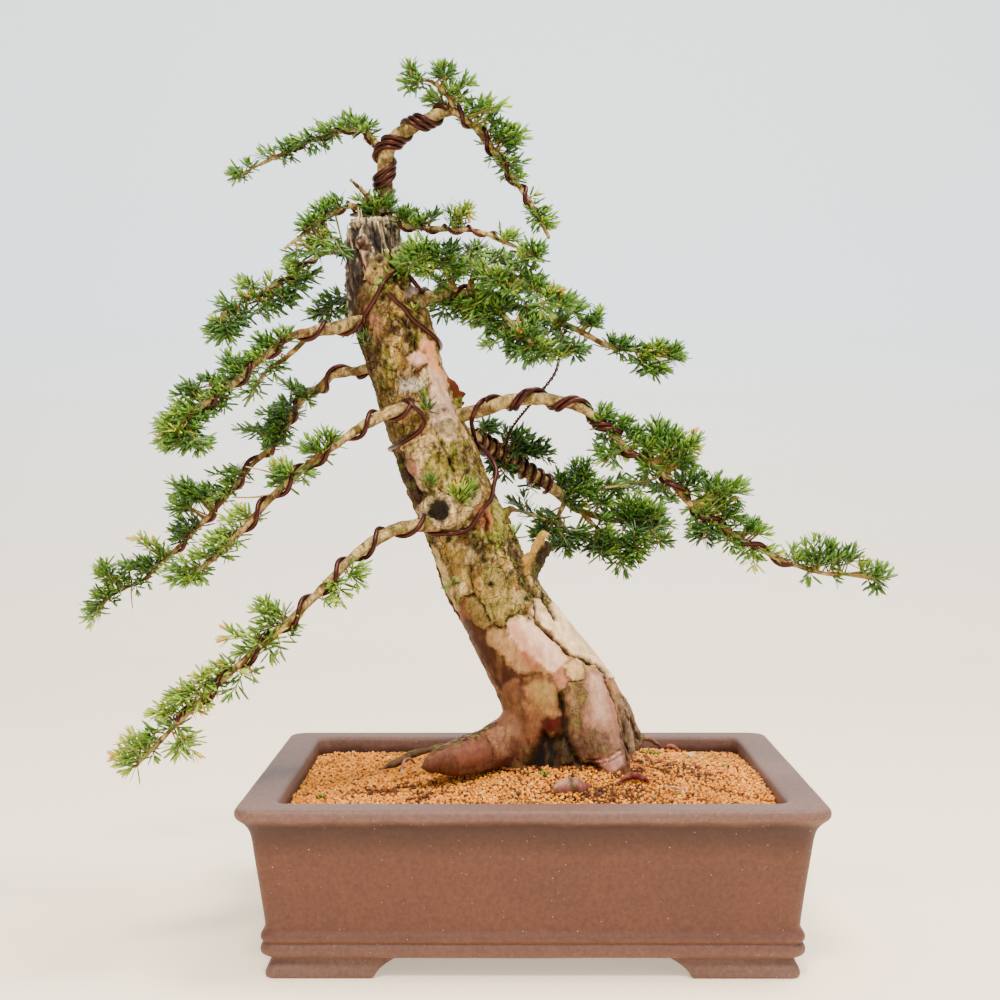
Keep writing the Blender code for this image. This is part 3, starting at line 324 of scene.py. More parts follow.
branches = {
    "leader": dict(leafyFrom=8, route=[
        (-127, 8, 560, 10), (-125, 13, 594, 8), (-122, 8, 616, 7), (-122, 0, 635, 6.5),
        (-119, -2, 652, 6.2), (-110, -5, 665, 6), (-96, -8, 672, 5.8), (-81, -10, 679, 5.4),
        (-70, -10, 683, 4.9), (-59, -8, 682, 4.2), (-41, 0, 667, 3.6), (-23, 6, 644, 3.2),
        (-8, 0, 622, 2.8), (5, -10, 601, 2.4), (16, -18, 577, 1.8)]),
    "left_1": dict(leafyFrom=2, route=[
        (-121, -1, 648, 3.5), (-133, 6, 665, 3), (-150, 14, 674, 2.8), (-188, 32, 668, 2.4),
        (-207, 40, 661, 2.2), (-228, 47, 653, 1.9), (-241, 50, 647, 1.5)]),
    "foot_tuft": dict(leafyFrom=1, route=[
        (-124, 4, 604, 3), (-132, -5, 611, 2.6), (-140, -14, 618, 2.2), (-148, -23, 625, 1.8)]),
    "left_2": dict(leafyFrom=2, route=[
        (-127, 8, 594, 4), (-138, 8, 602, 3), (-149, 0, 607, 2.8), (-161, -12, 601, 2.6),
        (-174, -24, 591, 2.4), (-186, -34, 579, 2.2), (-200, -44, 566, 1.6)]),
    "left_3": dict(leafyFrom=3, route=[
        (-130, 6, 560, 4), (-144, 12, 567, 3), (-155, 20, 572, 2.8), (-175, 22, 570, 2.6),
        (-188, 16, 562, 2.5), (-203, 8, 549, 2.3), (-221, 0, 537, 2.1), (-242, -10, 524, 1.8),
        (-257, -17, 515, 1.5)]),
    "left_4": dict(leafyFrom=2, route=[
        (-130, 10, 527, 3), (-152, 18, 530, 2.2), (-163, 24, 530, 2), (-181, 32, 520, 1.3)]),
    "left_5": dict(leafyFrom=4, route=[
        (-118, -6, 508, 7.5), (-140, -15, 508, 6), (-150, -24, 506, 5.6), (-164, -34, 501, 5.3),
        (-176, -42, 499, 5), (-197, -56, 492, 4.6), (-219, -70, 472, 4.2), (-238, -82, 453, 3.6),
        (-262, -98, 433, 3), (-286, -112, 412, 2)]),
    "left_6": dict(leafyFrom=5, route=[
        (-116, 4, 470, 6), (-134, 14, 472, 4.5), (-147, 26, 470, 4.2), (-171, 42, 467, 4),
        (-183, 49, 456, 3.9), (-203, 60, 443, 3.7), (-222, 72, 411, 3.5), (-248, 84, 389, 3.2),
        (-280, 96, 352, 2.8), (-316, 106, 317, 2.5), (-351, 112, 285, 2.2), (-372, 114, 275, 1.9),
        (-387, 113, 266, 1.5)]),
    "left_7": dict(leafyFrom=3, route=[
        (-84, -14, 436, 7), (-92, -32, 436, 5.6), (-113, -48, 433, 5), (-137, -58, 420, 4.7),
        (-169, -70, 397, 4.3), (-198, -80, 372, 4), (-223, -88, 345, 3.5), (-244, -94, 322, 3),
        (-262, -96, 308, 2.3), (-274, -95, 302, 1.7)]),
    "left_8": dict(leafyFrom=4, route=[
        (-66, -14, 340, 7.5), (-77, -34, 340.5, 6.2), (-94, -51, 340, 5.5), (-113, -62, 336, 5),
        (-142, -80, 316, 4.6), (-169, -95, 288, 4.3), (-197, -108, 261, 3.9),
        (-227, -120, 235, 3.4), (-257, -130, 207, 2.9), (-283, -134, 181, 2.2),
        (-304, -132, 159, 1.5)]),
    "right_1": dict(leafyFrom=2, route=[
        (-126, 4, 586, 4), (-111, -8, 595, 3.2), (-103, -16, 588, 3), (-82, -28, 584, 2.8),
        (-66, -38, 582, 2.7), (-41, -54, 578, 2.5), (-18, -64, 567, 2.2), (4, -64, 556, 1.5)]),
    "right_2": dict(leafyFrom=2, route=[
        (-118, 2, 518, 9), (-98, 4, 526, 7.5), (-76, 10, 532, 6.5), (-54, 6, 534, 5.5),
        (-32, 0, 530, 4.8), (-8, -4, 521, 4.2), (16, -2, 512, 3.8), (38, 4, 504, 3.4),
        (70, 16, 489, 2.9), (91, 22, 487, 2.4), (107, 27, 484, 1.7)]),
    "right_3": dict(leafyFrom=6, route=[
        (-84, 0, 420, 8), (-69, -5, 427, 6.6), (-52, -14, 432, 6), (-33, -22, 437, 5.8),
        (-15, -30, 443, 5.5), (15, -40, 443, 5), (40, -48, 436, 4.5), (58, -54, 423, 4.2),
        (78, -60, 402, 4), (105, -66, 384, 3.7), (130, -72, 356, 3.4), (166, -78, 331, 3),
        (195, -82, 316, 2.6), (230, -84, 304, 2.2), (254, -83, 303, 1.7)]),
    "right_4": dict(leafyFrom=5, route=[
        (-74, 4, 426, 8), (-57, 12, 417, 6.5), (-36, 34, 405, 6.2), (-10, 56, 388, 6),
        (17, 72, 371, 5.6), (30, 80, 360, 5.2), (45, 86, 348, 4.6), (73, 94, 339, 3.5),
        (90, 98, 336, 2.2)]),
}

twigs = [
    ("leader", [(-66, -10, 683, 3.4), (-74, 0, 695, 2.4), (-80, 10, 703, 2), (-84, 16, 710, 1.4)]),
    ("leader", [(-61, -9, 683, 3), (-72, -16, 700, 2.2), (-86, -22, 707, 1.9),
                (-98, -27, 703, 1.4)]),
    ("left_5", [(-180, -44, 497, 3.5), (-188, -36, 489, 3), (-204, -24, 477, 2.6),
                (-221, -12, 467, 2.3), (-242, 8, 439, 1.4)]),
    ("right_2", [(-70, 9, 533, 4), (-66, 24, 546, 3.2), (-51, 42, 560, 2.7), (-29, 60, 567, 2.2),
                 (-4, 76, 560, 1.8), (21, 88, 547, 1.3)]),
    ("right_2", [(-60, 7, 533, 4), (-66, -10, 543, 3), (-72, -28, 553, 2.2), (-78, -44, 560, 1.4)]),
    ("right_2", [(-36, 0, 531, 3.6), (-21, -24, 512, 3), (-8, -46, 496, 2.5), (8, -62, 484, 2),
                 (25, -72, 476, 1.3)]),
    ("right_2", [(-52, 6, 534, 3.4), (-45, -16, 548, 2.8), (-25, -38, 549, 2.4),
                 (-4, -56, 536, 2), (17, -66, 522, 1.3)]),
    ("right_4", [(32, 81, 359, 3), (42, 86, 365, 2.6), (69, 98, 368, 2), (98, 110, 373, 1.3)]),
    ("right_4", [(33, 81, 358, 3), (28, 70, 347, 2.5), (21, 58, 338, 2.2), (8, 50, 343, 1.9),
                 (-18, 40, 352, 1.3)]),
    ("right_4", [(46, 86, 348, 3), (57, 78, 336, 2.6), (70, 70, 327, 2.2), (102, 56, 312, 1.3)]),
]


leafyThinning = 0.22


class Limb:
    # A branch's or twig's smooth path with its frames
    def __init__(self, route, leafyFrom=0):
        self.places, self.radii, self.runs, marks = smoothRoute(route, 2.2)
        self.frames = carriedFrames(self.places)
        self.length = float(self.runs[-1])
        self.leafyRun = float(marks[leafyFrom])
        self.radii = self.radii * (1 - leafyThinning * ease(self.runs - self.leafyRun, -15, 15))

    def at(self, run):
        run = min(max(run, 0.0), self.length)
        i = min(int(np.searchsorted(self.runs, run)), len(self.runs) - 1)
        low = max(i - 1, 0)
        span = self.runs[i] - self.runs[low]
        share = (run - self.runs[low]) / span if span else 0.0
        place = Vector(self.places[low]).lerp(Vector(self.places[i]), share)
        radius = float(self.radii[low] + (self.radii[i] - self.radii[low]) * share)
        return place, radius, self.frames[low]

    def stretch(self, start, end):
        keep = (self.runs >= start - 1e-6) & (self.runs <= end + 1e-6)
        return self.places[keep], self.radii[keep]


limbs = {name: Limb(spec["route"], spec["leafyFrom"]) for name, spec in branches.items()}
twigLimbs = [(name, Limb(route)) for name, route in twigs]

trunkPlaces, trunkWidths = smoothRoute([(x, y, z, w) for z, x, y, w in trunkRows], 4)[:2]


def trunkStation(z):
    # Centre x, centre y and half width of the trunk at a height; z may be an array
    heights = trunkPlaces[::-1, 2]
    return [np.interp(z, heights, values[::-1]) for values in
            (trunkPlaces[:, 0], trunkPlaces[:, 1], trunkWidths)]


def trunkReach(z, angle, half):
    waves = 0.035 * np.sin(3 * angle + z / 90) + 0.02 * np.sin(5 * angle - z / 60)
    return half * np.hypot(np.cos(angle), trunkDepth * np.sin(angle)) * (1 + waves)


print("step 1: frame read, routes laid")


# Materials

def objectPoints(add, scale=(1, 1, 1)):
    return add("Mapping", {"Vector": (add("TexCoord"), "Object"), "Scale": scale}), "Vector"


def lumps(sizeMm, detail=3.0, roughness=0.55):
    # Noise settings: one lump is about sizeMm across
    return {"Scale": 1000 / sizeMm / 1.6, "Detail": detail, "Roughness": roughness}


def limits(fromLow, fromHigh, toLow=0.0, toHigh=1.0):
    return {"From Min": fromLow, "From Max": fromHigh, "To Min": toLow, "To Max": toHigh}


def shaded(add, colour, number, span):
    # The colour made darker or lighter by a number, once it is brought within the span's limits
    shade = add("MapRange", {"Value": number, **limits(*span)})
    return add("Mix", {"blend_type": "MULTIPLY", 0: 1.0, 6: colour, 7: (shade, "Result")}), 2


def stoneware():
    # Unglazed reduction-fired stoneware: a dry matte skin with white grog specks, a painted shade band under
    # the flaring lip, and lime with a painted sheen at the rim and the foot's beads
    look = dict(body="#4c2a1e", warm="#5d3526", underLipShade="#27130d", limeAndSheen="#66493f", speck="#ad978a",
                speckSpacing=4.6, speckShare=0.085, cloud=38, smear=18, smearHeight=0.008,
                grain=2.2, grainHeight=0.0005, potHeight=0.137)
    material, add = newMaterial("unglazedStoneware")
    where = objectPoints(add)
    cloud = add("TexNoise", {"Vector": where, **lumps(look["cloud"])})
    body = add("Mix", {0: (cloud, "Fac"), 6: look["body"], 7: look["warm"]})
    height = add("SeparateXYZ", {"Vector": where})
    smear = add("TexNoise", {"Vector": where, **lumps(look["smear"])})
    level = add("Math", {"operation": "MULTIPLY_ADD", 0: (smear, "Fac"), 1: look["smearHeight"],
                         2: (height, "Z")})
    share = add("Math", {"operation": "MULTIPLY", 0: (level, 0), 1: 1 / look["potHeight"]})
    # Lighter at the foot's beads and at the rim: lime on the clay, and a painted sheen where the top light
    # falls
    limeAndSheenZone = add("ValToRGB", {"Fac": (share, 0), "stops": [
        (0.10, "#ffffff"), (0.19, "#c0c0c0"), (0.29, "#000000"), (0.89, "#000000"), (0.95, "#ffffff"),
        (1.0, "#ffffff")]})
    limeAndSheened = add("Mix", {0: (limeAndSheenZone, "Color"), 6: (body, 2), 7: look["limeAndSheen"]})
    # Painted shade: a dark band on the wall under the flaring lip
    underLipShadeZone = add("ValToRGB", {"Fac": (share, 0), "stops": [
        (0.72, "#000000"), (0.80, "#b0b0b0"), (0.90, "#e8e8e8"), (0.945, "#000000")]})
    underLipShaded = add("Mix", {0: (underLipShadeZone, "Color"), 6: (limeAndSheened, 2), 7: look["underLipShade"]})
    grog = add("TexVoronoi", {"Vector": where, "Scale": 1000 / look["speckSpacing"]})
    chosen = add("SeparateColor", {"Color": (grog, "Color")})
    few = add("Math", {"operation": "MULTIPLY", 0: (chosen, "Red"), 1: look["speckShare"]})
    speck = add("Math", {"operation": "LESS_THAN", 0: (grog, "Distance"), 1: (few, 0)})
    specked = add("Mix", {0: (speck, 0), 6: (underLipShaded, 2), 7: look["speck"]})
    fine = add("TexNoise", {"Vector": where, **lumps(look["grain"], 4.0, 0.7)})
    bump = add("Bump", {"Strength": 0.5, "Distance": look["grainHeight"], "Height": (fine, "Fac")})
    return surfaced(material, {
        "Base Color": shaded(add, (specked, 2), (fine, "Fac"), (0.3, 0.7, 0.74, 1.26)),
        "Normal": (bump, "Normal"), "Roughness": 0.62, "Specular IOR Level": 0.4})


def firedClayGrain():
    # Hard-fired clay granules, damp: dusty matte orange with darker grains among them
    look = dict(patch=22, pit=0.9, pitDepth=0.0003)
    material, add = newMaterial("firedClayGrain")
    where = objectPoints(add)
    tone = add("Attribute", {"attribute_name": "tone"})
    ramp = add("ValToRGB", {"Fac": (tone, "Fac"), "stops": [
        (0.0, "#3a1e0c"), (0.09, "#743f12"), (0.18, "#b8640f"), (0.45, "#e28c1c"), (0.75, "#f6a830"),
        (0.97, "#fac05c"), (1.0, "#f8d094")]})
    patch = add("TexNoise", {"Vector": where, **lumps(look["patch"])})
    pits = add("TexNoise", {"Vector": where, **lumps(look["pit"], 3.0, 0.7)})
    bump = add("Bump", {"Strength": 0.5, "Distance": look["pitDepth"], "Height": (pits, "Fac")})
    return surfaced(material, {
        "Base Color": shaded(add, (ramp, "Color"), (patch, "Fac"), (0.3, 0.7, 0.72, 1.12)),
        "Normal": (bump, "Normal"), "Roughness": 0.85})


def packedBed():
    # The clay under the loose top grains, darkened as painted shade in the gaps between them
    material, add = newMaterial("packedClayBed")
    clods = add("TexNoise", {"Vector": objectPoints(add), **lumps(3)})
    colour = add("Mix", {0: (clods, "Fac"), 6: "#4a2f18", 7: "#a0672e"})
    return surfaced(material, {"Base Color": (colour, 2), "Roughness": 0.95})


def yewBark():
    # Old yew bark: rough flaking plates, mossy in places, over smooth satin under-bark
    look = dict(grain=2.7, fleck=1.5, moss=7.0, bendSize=7, bend=0.006, mossColour="#6c7020",
                rough=(0.42, 0.88), bumpHeight=0.0016,
                splits=((15.0, 0.038, 0.49), (6.5, 0.048, 0.52)))   # plate size, line width, share
    material, add = newMaterial("yewBark")
    where = objectPoints(add)
    tint = (add("Attribute", {"attribute_name": "tint"}), "Color")
    flaky = (add("Attribute", {"attribute_name": "flaky"}), "Fac")
    grain = (add("TexNoise", {"Vector": objectPoints(add, (1, 1, 0.5)),
                              **lumps(look["grain"], 6.0, 0.72)}), "Fac")
    smooth = shaded(add, tint, grain, (0.3, 0.7, 0.74, 1.22))
    mossField = add("TexNoise", {"Vector": where, **lumps(look["moss"], 5.0, 0.65)})
    mossShare = add("MapRange", {"Value": (mossField, "Fac"), **limits(0.52, 0.64, 0, 0.62)})
    mossy = add("Mix", {0: (mossShare, "Result"), 6: tint, 7: look["mossColour"]})
    cracked = shaded(add, (mossy, 2), grain, (0.38, 0.62, 0.3, 1.8))
    flecks = (add("TexNoise", {"Vector": where, **lumps(look["fleck"], 3.0, 0.6)}), "Fac")
    cracked = shaded(add, cracked, flecks, (0.33, 0.45, 0.22))
    bend = add("TexNoise", {"Vector": where, **lumps(look["bendSize"])})
    warped = add("VectorMath", {"operation": "MULTIPLY_ADD", 0: (bend, "Color"),
                                1: (look["bend"],) * 3, 2: where})
    for size, width, level in look["splits"]:
        plates = add("TexVoronoi", {"feature": "DISTANCE_TO_EDGE", "Vector": (warped, 0),
                                    "Scale": 1000 / size})
        split = add("MapRange", {"Value": (plates, "Distance"), **limits(0, width, 0.14)})
        some = add("TexNoise", {"Vector": where, **lumps(size * 2.2)})
        share = add("MapRange", {"Value": (some, "Fac"), **limits(level - 0.03, level + 0.03)})
        splitHere = add("Mix", {0: (share, "Result"), 6: "#ffffff", 7: (split, "Result")})
        cracked = (add("Mix", {"blend_type": "MULTIPLY", 0: 1.0, 6: cracked, 7: (splitHere, 2)}), 2)
    done = add("Mix", {0: flaky, 6: smooth, 7: cracked})
    height = add("Math", {"operation": "MULTIPLY_ADD", 0: flecks, 1: 0.6, 2: grain})
    depth = add("MapRange", {"Value": flaky, **limits(0, 1, 0.12, 0.85)})
    bump = add("Bump", {"Distance": look["bumpHeight"], "Height": (height, 0),
                        "Strength": (depth, "Result")})
    gloss = add("MapRange", {"Value": flaky, **limits(0, 1, *look["rough"])})
    return surfaced(material, {"Base Color": (done, 2), "Normal": (bump, "Normal"),
                               "Roughness": (gloss, "Result"), "Specular IOR Level": 0.12})


def weatheredDeadwood():
    # Sun-bleached bare yew: dry grey-brown fibres with dark gaps between them
    look = dict(fibre=1.9, lengthwise=0.09, depth=0.0016)
    material, add = newMaterial("weatheredDeadwood")
    tint = (add("Attribute", {"attribute_name": "tint"}), "Color")
    fibres = add("TexNoise", {"Vector": objectPoints(add, (1, 1, look["lengthwise"])),
                              **lumps(look["fibre"], 5.0, 0.7)})
    bump = add("Bump", {"Strength": 0.9, "Distance": look["depth"], "Height": (fibres, "Fac")})
    return surfaced(material, {
        "Base Color": shaded(add, tint, (fibres, "Fac"), (0.38, 0.62, 0.2, 1.7)),
        "Normal": (bump, "Normal"), "Roughness": 0.9})


def smudged(name, size, low, high, sockets):
    # A plain finish whose colour drifts between two tones, and its gloss with it
    material, add = newMaterial(name)
    smudge = add("TexNoise", {"Vector": objectPoints(add), **lumps(size)})
    colour = add("Mix", {0: (smudge, "Fac"), 6: low, 7: high})
    rough = sockets["Roughness"]
    if isinstance(rough, tuple):
        gloss = add("MapRange", {"Value": (smudge, "Fac"), **limits(0, 1, *rough)})
        rough = (gloss, "Result")
    return surfaced(material, {"Base Color": (colour, 2), **sockets, "Roughness": rough})


def yewNeedle():
    # Waxy yew leaf: dark and glossy when old, soft yellow-green when young
    material, add = newMaterial("yewNeedle")
    age = add("Attribute", {"attribute_name": "young"})
    along = add("Attribute", {"attribute_name": "along"})
    ramp = add("ValToRGB", {"Fac": (age, "Fac"), "stops": [
        (0.0, "#26451a"), (0.25, "#3f6a22"), (0.5, "#648f2c"), (0.72, "#93b83c"), (0.9, "#c2d04a"),
        (1.0, "#e0a030")]})
    tip = add("ValToRGB", {"Fac": (along, "Fac"), "stops": [
        (0.0, "#d8d890"), (0.12, "#f0f0f0"), (0.8, "#ffffff"), (1.0, "#e8e0b0")]})
    colour = add("Mix", {"blend_type": "MULTIPLY", 0: 1.0, 6: (ramp, "Color"), 7: (tip, "Color")})
    return surfaced(material, {"Base Color": (colour, 2), "Roughness": 0.36, "Specular IOR Level": 0.5})


potStone = stoneware()
clayGrain = firedClayGrain()
clayBed = packedBed()
bark = yewBark()
deadwood = weatheredDeadwood()
needleFinish = yewNeedle()
# Soft annealed aluminium wire, anodised copper brown: a satin metal, cloudy where it was handled
wireFinish = smudged("anodisedBendingWire", 14, "#2c120d", "#54281f",
                     {"Roughness": (0.24, 0.5), "Metallic": 0.75})
# Thin annealed tie wire, nearly black brown, with a dull sheen
tieFinish = smudged("darkTieWire", 9, "#2a1512", "#4c2a22", {"Roughness": 0.45, "Metallic": 0.6})
# Moulded polyethylene drain mesh, black and slightly waxy
screenFinish = smudged("mouldedDrainMesh", 4, "#141414", "#2c2824", {"Roughness": 0.5})
print("step 2: materials mixed")


# Pot

def buildPot():
    pot = dict(halfLength=225.0, lengthOverWidth=55.0, cornerSteps=8, sideSteps=22, unevenness=0.35,
               profile=[
                   (15.5, -60, 6), (15.5, -24, 9), (15.6, -22.2, 10), (16.4, -20.6, 10.5),
                   (18.2, -18.0, 11), (20.3, -16.9, 12), (23.0, -16.8, 12), (25.2, -17.6, 12),
                   (26.6, -19.2, 11), (27.3, -19.4, 11), (28.2, -18.0, 12), (30.2, -16.9, 12),
                   (33.0, -17.1, 12), (35.2, -18.4, 12), (36.6, -20.4, 11), (38.2, -20.7, 11),
                   (60, -18.1, 11.5), (85, -14.8, 12.5), (103, -12.3, 13), (110, -11.3, 13),
                   (115, -9.6, 13.5), (119, -7.0, 14), (122.4, -3.4, 15), (124.6, -0.8, 15.5),
                   (126.8, 0, 16), (129.6, 0, 16), (131.8, -0.8, 15.6), (132.8, -2.4, 15),
                   (133.0, -4.6, 14.6), (133.0, -15, 13.5), (133.0, -25.5, 13), (132.6, -27.6, 12.6),
                   (131.3, -29.1, 12.2), (129, -29.8, 12), (124, -30.1, 12), (100, -31, 12),
                   (60, -32.9, 12), (30, -34.6, 11.5), (27.6, -35.2, 11), (27, -37, 10),
                   (27, -70, 6)])
    corner, straight = pot["cornerSteps"], pot["sideSteps"]
    around = []                       # corner's centre signs, direction, share along a side
    for quadrant, (sx, sy) in enumerate(((1, 1), (-1, 1), (-1, -1), (1, -1))):
        for step in range(corner + 1):
            angle = math.pi / 2 * (quadrant + step / corner)
            around.append((sx, sy, math.cos(angle), math.sin(angle), 0.0))
        nextSigns = ((1, 1), (-1, 1), (-1, -1), (1, -1))[(quadrant + 1) % 4]
        angle = math.pi / 2 * (quadrant + 1)
        for step in range(1, straight):
            share = step / straight
            around.append(((sx, sy), nextSigns, math.cos(angle), math.sin(angle), share))
    columns = len(around)
    profile = pot["profile"]

    def placeOf(u, v):
        signX, signY, dirX, dirY, share = around[round(u * columns) % columns]
        z, inset, radius = profile[min(round(v * (len(profile) - 1)), len(profile) - 1)]
        half = pot["halfLength"] + inset
        cx, cy = half - radius, half - pot["lengthOverWidth"] - radius
        if isinstance(signX, tuple):
            (ax, ay), (bx, by) = signX, signY
            x, y = cx * (ax + (bx - ax) * share), cy * (ay + (by - ay) * share)
        else:
            x, y = cx * signX, cy * signY
        return Vector((x + radius * dirX, y + radius * dirY, z))

    bm = wrappedGrid(columns, len(profile) - 1, placeOf)
    mesh = meshOf(bm, "potShell")
    mesh = evaluatedMesh(mesh, lambda passing: passing.modifiers.new("soften", "SUBSURF"))
    cutters = [potCutter(side) for side in (-1, 1)]
    feet = [bracketFoot(sx, sy) for sx in (1, -1) for sy in (1, -1)]
    mesh = booleanMesh(mesh, cutters, "DIFFERENCE")
    mesh = booleanMesh(mesh, feet, "UNION")
    points, normals = pointsOf(mesh), normalsOf(mesh)
    wave = field(points, 60, 3) * pot["unevenness"] + field(points, 14, 4) * 0.12
    wave *= ease(points[:, 2], 0.2, 6) * ease(133.2 - points[:, 2], -0.1, 3)
    setPoints(mesh, points + normals * wave[:, None])
    finishPiece("potBody", mesh, [potStone], ["pot"])


def booleanMesh(base, others, operation):
    group = bpy.data.collections.new("operands")
    for mesh in others:
        group.objects.link(bpy.data.objects.new("operand", mesh))

    def setUp(passing):
        modifier = passing.modifiers.new("combine", "BOOLEAN")
        modifier.operation = operation
        modifier.operand_type = "COLLECTION"
        modifier.collection = group
        modifier.solver = "EXACT"

    made = evaluatedMesh(base, setUp)
    for operand in list(group.objects):
        bpy.data.objects.remove(operand)
    bpy.data.collections.remove(group)
    return made


def potCutter(side):
    hole = dict(x=95.0, radius=17.0)
    bm = bmesh.new()
    bmesh.ops.create_cone(bm, cap_ends=True, segments=48, radius1=hole["radius"],
                          radius2=hole["radius"], depth=60,
                          matrix=Matrix.Translation((side * hole["x"], 0, 27)))
    return meshOf(bm, "drainHole")


def bracketFoot(sx, sy):
    # L-shaped foot: height, corner's reach, front arm, thickness; the inner ends splay upwards
    foot = dict(sideShare=0.8, round=7.0, levels=[
        (0.0, 202.4, 79.5, 23), (0.5, 203.2, 80.5, 23.6), (2.0, 203.9, 82.5, 24),
        (4.5, 204.0, 84.0, 24), (7.5, 202.9, 85.6, 23), (10.5, 201.2, 88.2, 21.5),
        (13.0, 200.1, 91.4, 20.4), (15.0, 199.6, 94.6, 20), (18.5, 199.4, 97, 20)])
    bm = bmesh.new()
    outlines = []
    for z, reach, arm, thick in foot["levels"]:
        x, y, sideArm, soft = reach, reach - 55, arm * foot["sideShare"], foot["round"]
        corner = [(x - soft + soft * math.sin(a), y - soft + soft * math.cos(a), z)
                  for a in (math.pi / 16 * k for k in range(9))]
        outlines.append([(x - arm, y, z)] + corner + [
            (x, y - sideArm, z), (x - 1.6, y - sideArm - 1.2, z), (x - thick + 1.6, y - sideArm - 1.2, z),
            (x - thick, y - sideArm, z), (x - thick, y - thick - 3, z), (x - thick - 3, y - thick, z),
            (x - arm, y - thick, z), (x - arm - 1.2, y - thick + 1.6, z), (x - arm - 1.2, y - 1.6, z)])
    face = bm.faces.new([bm.verts.new((sx * a, sy * b, c)) for a, b, c in outlines[0]])
    ring = list(face.verts)
    edges = list(face.edges)
    for outline in outlines[1:]:
        made = bmesh.ops.extrude_edge_only(bm, edges=edges)["geom"]
        fresh = [v for v in made if isinstance(v, bmesh.types.BMVert)]
        edges = [e for e in made if isinstance(e, bmesh.types.BMEdge)]
        partner = {}
        for edge in {e for v in fresh for e in v.link_edges} - set(edges):
            for vert in edge.verts:
                if vert in fresh:
                    partner[edge.other_vert(vert)] = vert
        ring = [partner[v] for v in ring]
        for vert, (a, b, c) in zip(ring, outline):
            vert.co = (sx * a, sy * b, c)
    bmesh.ops.contextual_create(bm, geom=edges)
    bmesh.ops.recalc_face_normals(bm, faces=bm.faces)
    return meshOf(bm, "foot")


def buildScreens():
    screen = dict(x=95.0, side=52.0, z=27.8, cells=18, strand=1.0)
    for name, side in (("left", -1), ("right", 1)):
        bm = bmesh.new()
        bmesh.ops.create_grid(bm, x_segments=screen["cells"], y_segments=screen["cells"],
                              size=screen["side"] / 2 - 0.5,
                              matrix=Matrix.Translation((side * screen["x"], 0, screen["z"])))
        bmesh.ops.wireframe(bm, faces=bm.faces, thickness=screen["strand"], use_replace=True,
                            use_boundary=True, use_even_offset=True)
        mesh = meshOf(bm, "screen")
        points = pointsOf(mesh)
        points[:, 2] = np.clip(points[:, 2], 27.35, 28.25)
        setPoints(mesh, points)
        finishPiece("drainMesh_" + name, mesh, [screenFinish],
                    ["drain_screen_" + name], smooth=False)


buildPot()
buildScreens()
print("step 3: pot and drain meshes")


# Features on the trunk's front are tables of (x, z) as seen from in front, on the plane y = -40

camera = dict(place=(-17.2, -1354.9, 399.7), yaw=0.0058, pitch=0.0297, roll=-0.0013, lens=57.75,
              sensor=36.0)
frontEye = np.array(camera["place"])
frontPlane = -40.0
sharpEdge = 1.2   # a plate whose edge is no softer than this, in mm, gets a painted shade line round it


def cameraAxes():
    # The camera's directions to the right, upwards and ahead
    yaw, pitch, roll = camera["yaw"], camera["pitch"], camera["roll"]
    ahead = Vector((-math.sin(yaw) * math.cos(pitch), math.cos(yaw) * math.cos(pitch), -math.sin(pitch)))
    side = Vector((math.cos(yaw), math.sin(yaw), 0))
    above = side.cross(ahead)
    right = side * math.cos(roll) + above * math.sin(roll)
    upward = above * math.cos(roll) - side * math.sin(roll)
    return right, upward, ahead


# Enlarged views of the 1000 px picture: left, top, and steps of the rows below to a pixel
enlarged = dict(crown=(380, 40, 0.784), crownLeft=(205, 40, 0.784), leftUpper=(170, 190, 0.784),
                leftMiddle=(140, 320, 0.784), leftLower=(60, 430, 0.784),
                leftFoot=(100, 560, 0.5227), rightUpper=(395, 205, 0.784),
                rightTip=(540, 280, 0.98), rightMiddle=(480, 390, 0.7127),
                rightArm=(580, 390, 0.8711), rightEnd=(700, 440, 0.784),
                trunkFoot=(430, 580, 0.4329), trunkMiddle=(380, 460, 0.553),
                deadTop=(340, 200, 0.7143), picture=(0, 0, 0.1))


def pictureFlat(view, x, y):
    # Where the line of sight through a point of an enlarged view crosses the front plane
    left, top, scale = enlarged[view]
    right, upward, ahead = cameraAxes()
    sight = (ahead * (camera["lens"] / camera["sensor"]) + right * ((left + x / scale) / 1000 - 0.5)
             - upward * ((top + y / scale) / 1000 - 0.5))
    eye = Vector(camera["place"])
    spot = eye + sight * ((frontPlane - eye.y) / sight.y)
    return spot.x, spot.z


def frontView(points):
    t = (frontPlane - frontEye[1]) / (points[:, 1] - frontEye[1])
    return frontEye[[0, 2]] + (points[:, [0, 2]] - frontEye[[0, 2]]) * t[:, None]


def lineDistance(flat, line):
    # Distance of every flat point from a line of (x, z) points
    best = np.full(len(flat), 1e6)
    rows = np.array(line, dtype=float)
    for a, b in zip(rows, rows[1:]):
        t = np.clip(((flat - a) @ (b - a)) / max((b - a) @ (b - a), 1e-9), 0, 1)
        best = np.minimum(best, np.linalg.norm(flat - a - t[:, None] * (b - a), axis=1))
    return best


def insideShare(flat, outline, soft):
    # 1 inside the outline, 0 outside, eased over the soft width
    inside = np.zeros(len(flat), bool)
    rows = np.array(outline, dtype=float)
    for a, b in zip(rows, np.roll(rows, -1, axis=0)):
        crosses = (a[1] > flat[:, 1]) != (b[1] > flat[:, 1])
        rise = b[1] - a[1] if abs(b[1] - a[1]) > 1e-9 else 1e-9
        inside ^= crosses & (flat[:, 0] < (b[0] - a[0]) * (flat[:, 1] - a[1]) / rise + a[0])
    edge = lineDistance(flat, list(outline) + [outline[0]])
    return ease(np.where(inside, edge, -edge), -soft / 2, soft / 2)


def cells(points, size, seed, stretch=(1, 1, 1)):
    # Irregular plates: a random number for each plate and the width to its nearest neighbour
    scaled = points / (np.array(stretch) * size) + seed * 13.7
    tone, rim = np.empty(len(points)), np.empty(len(points))
    for i, place in enumerate(scaled):
        distances, centres = noise.voronoi(Vector(place))
        tone[i] = noise.cell(centres[0] * 3.1)
        rim[i] = distances[1] - distances[0]
    return tone, rim


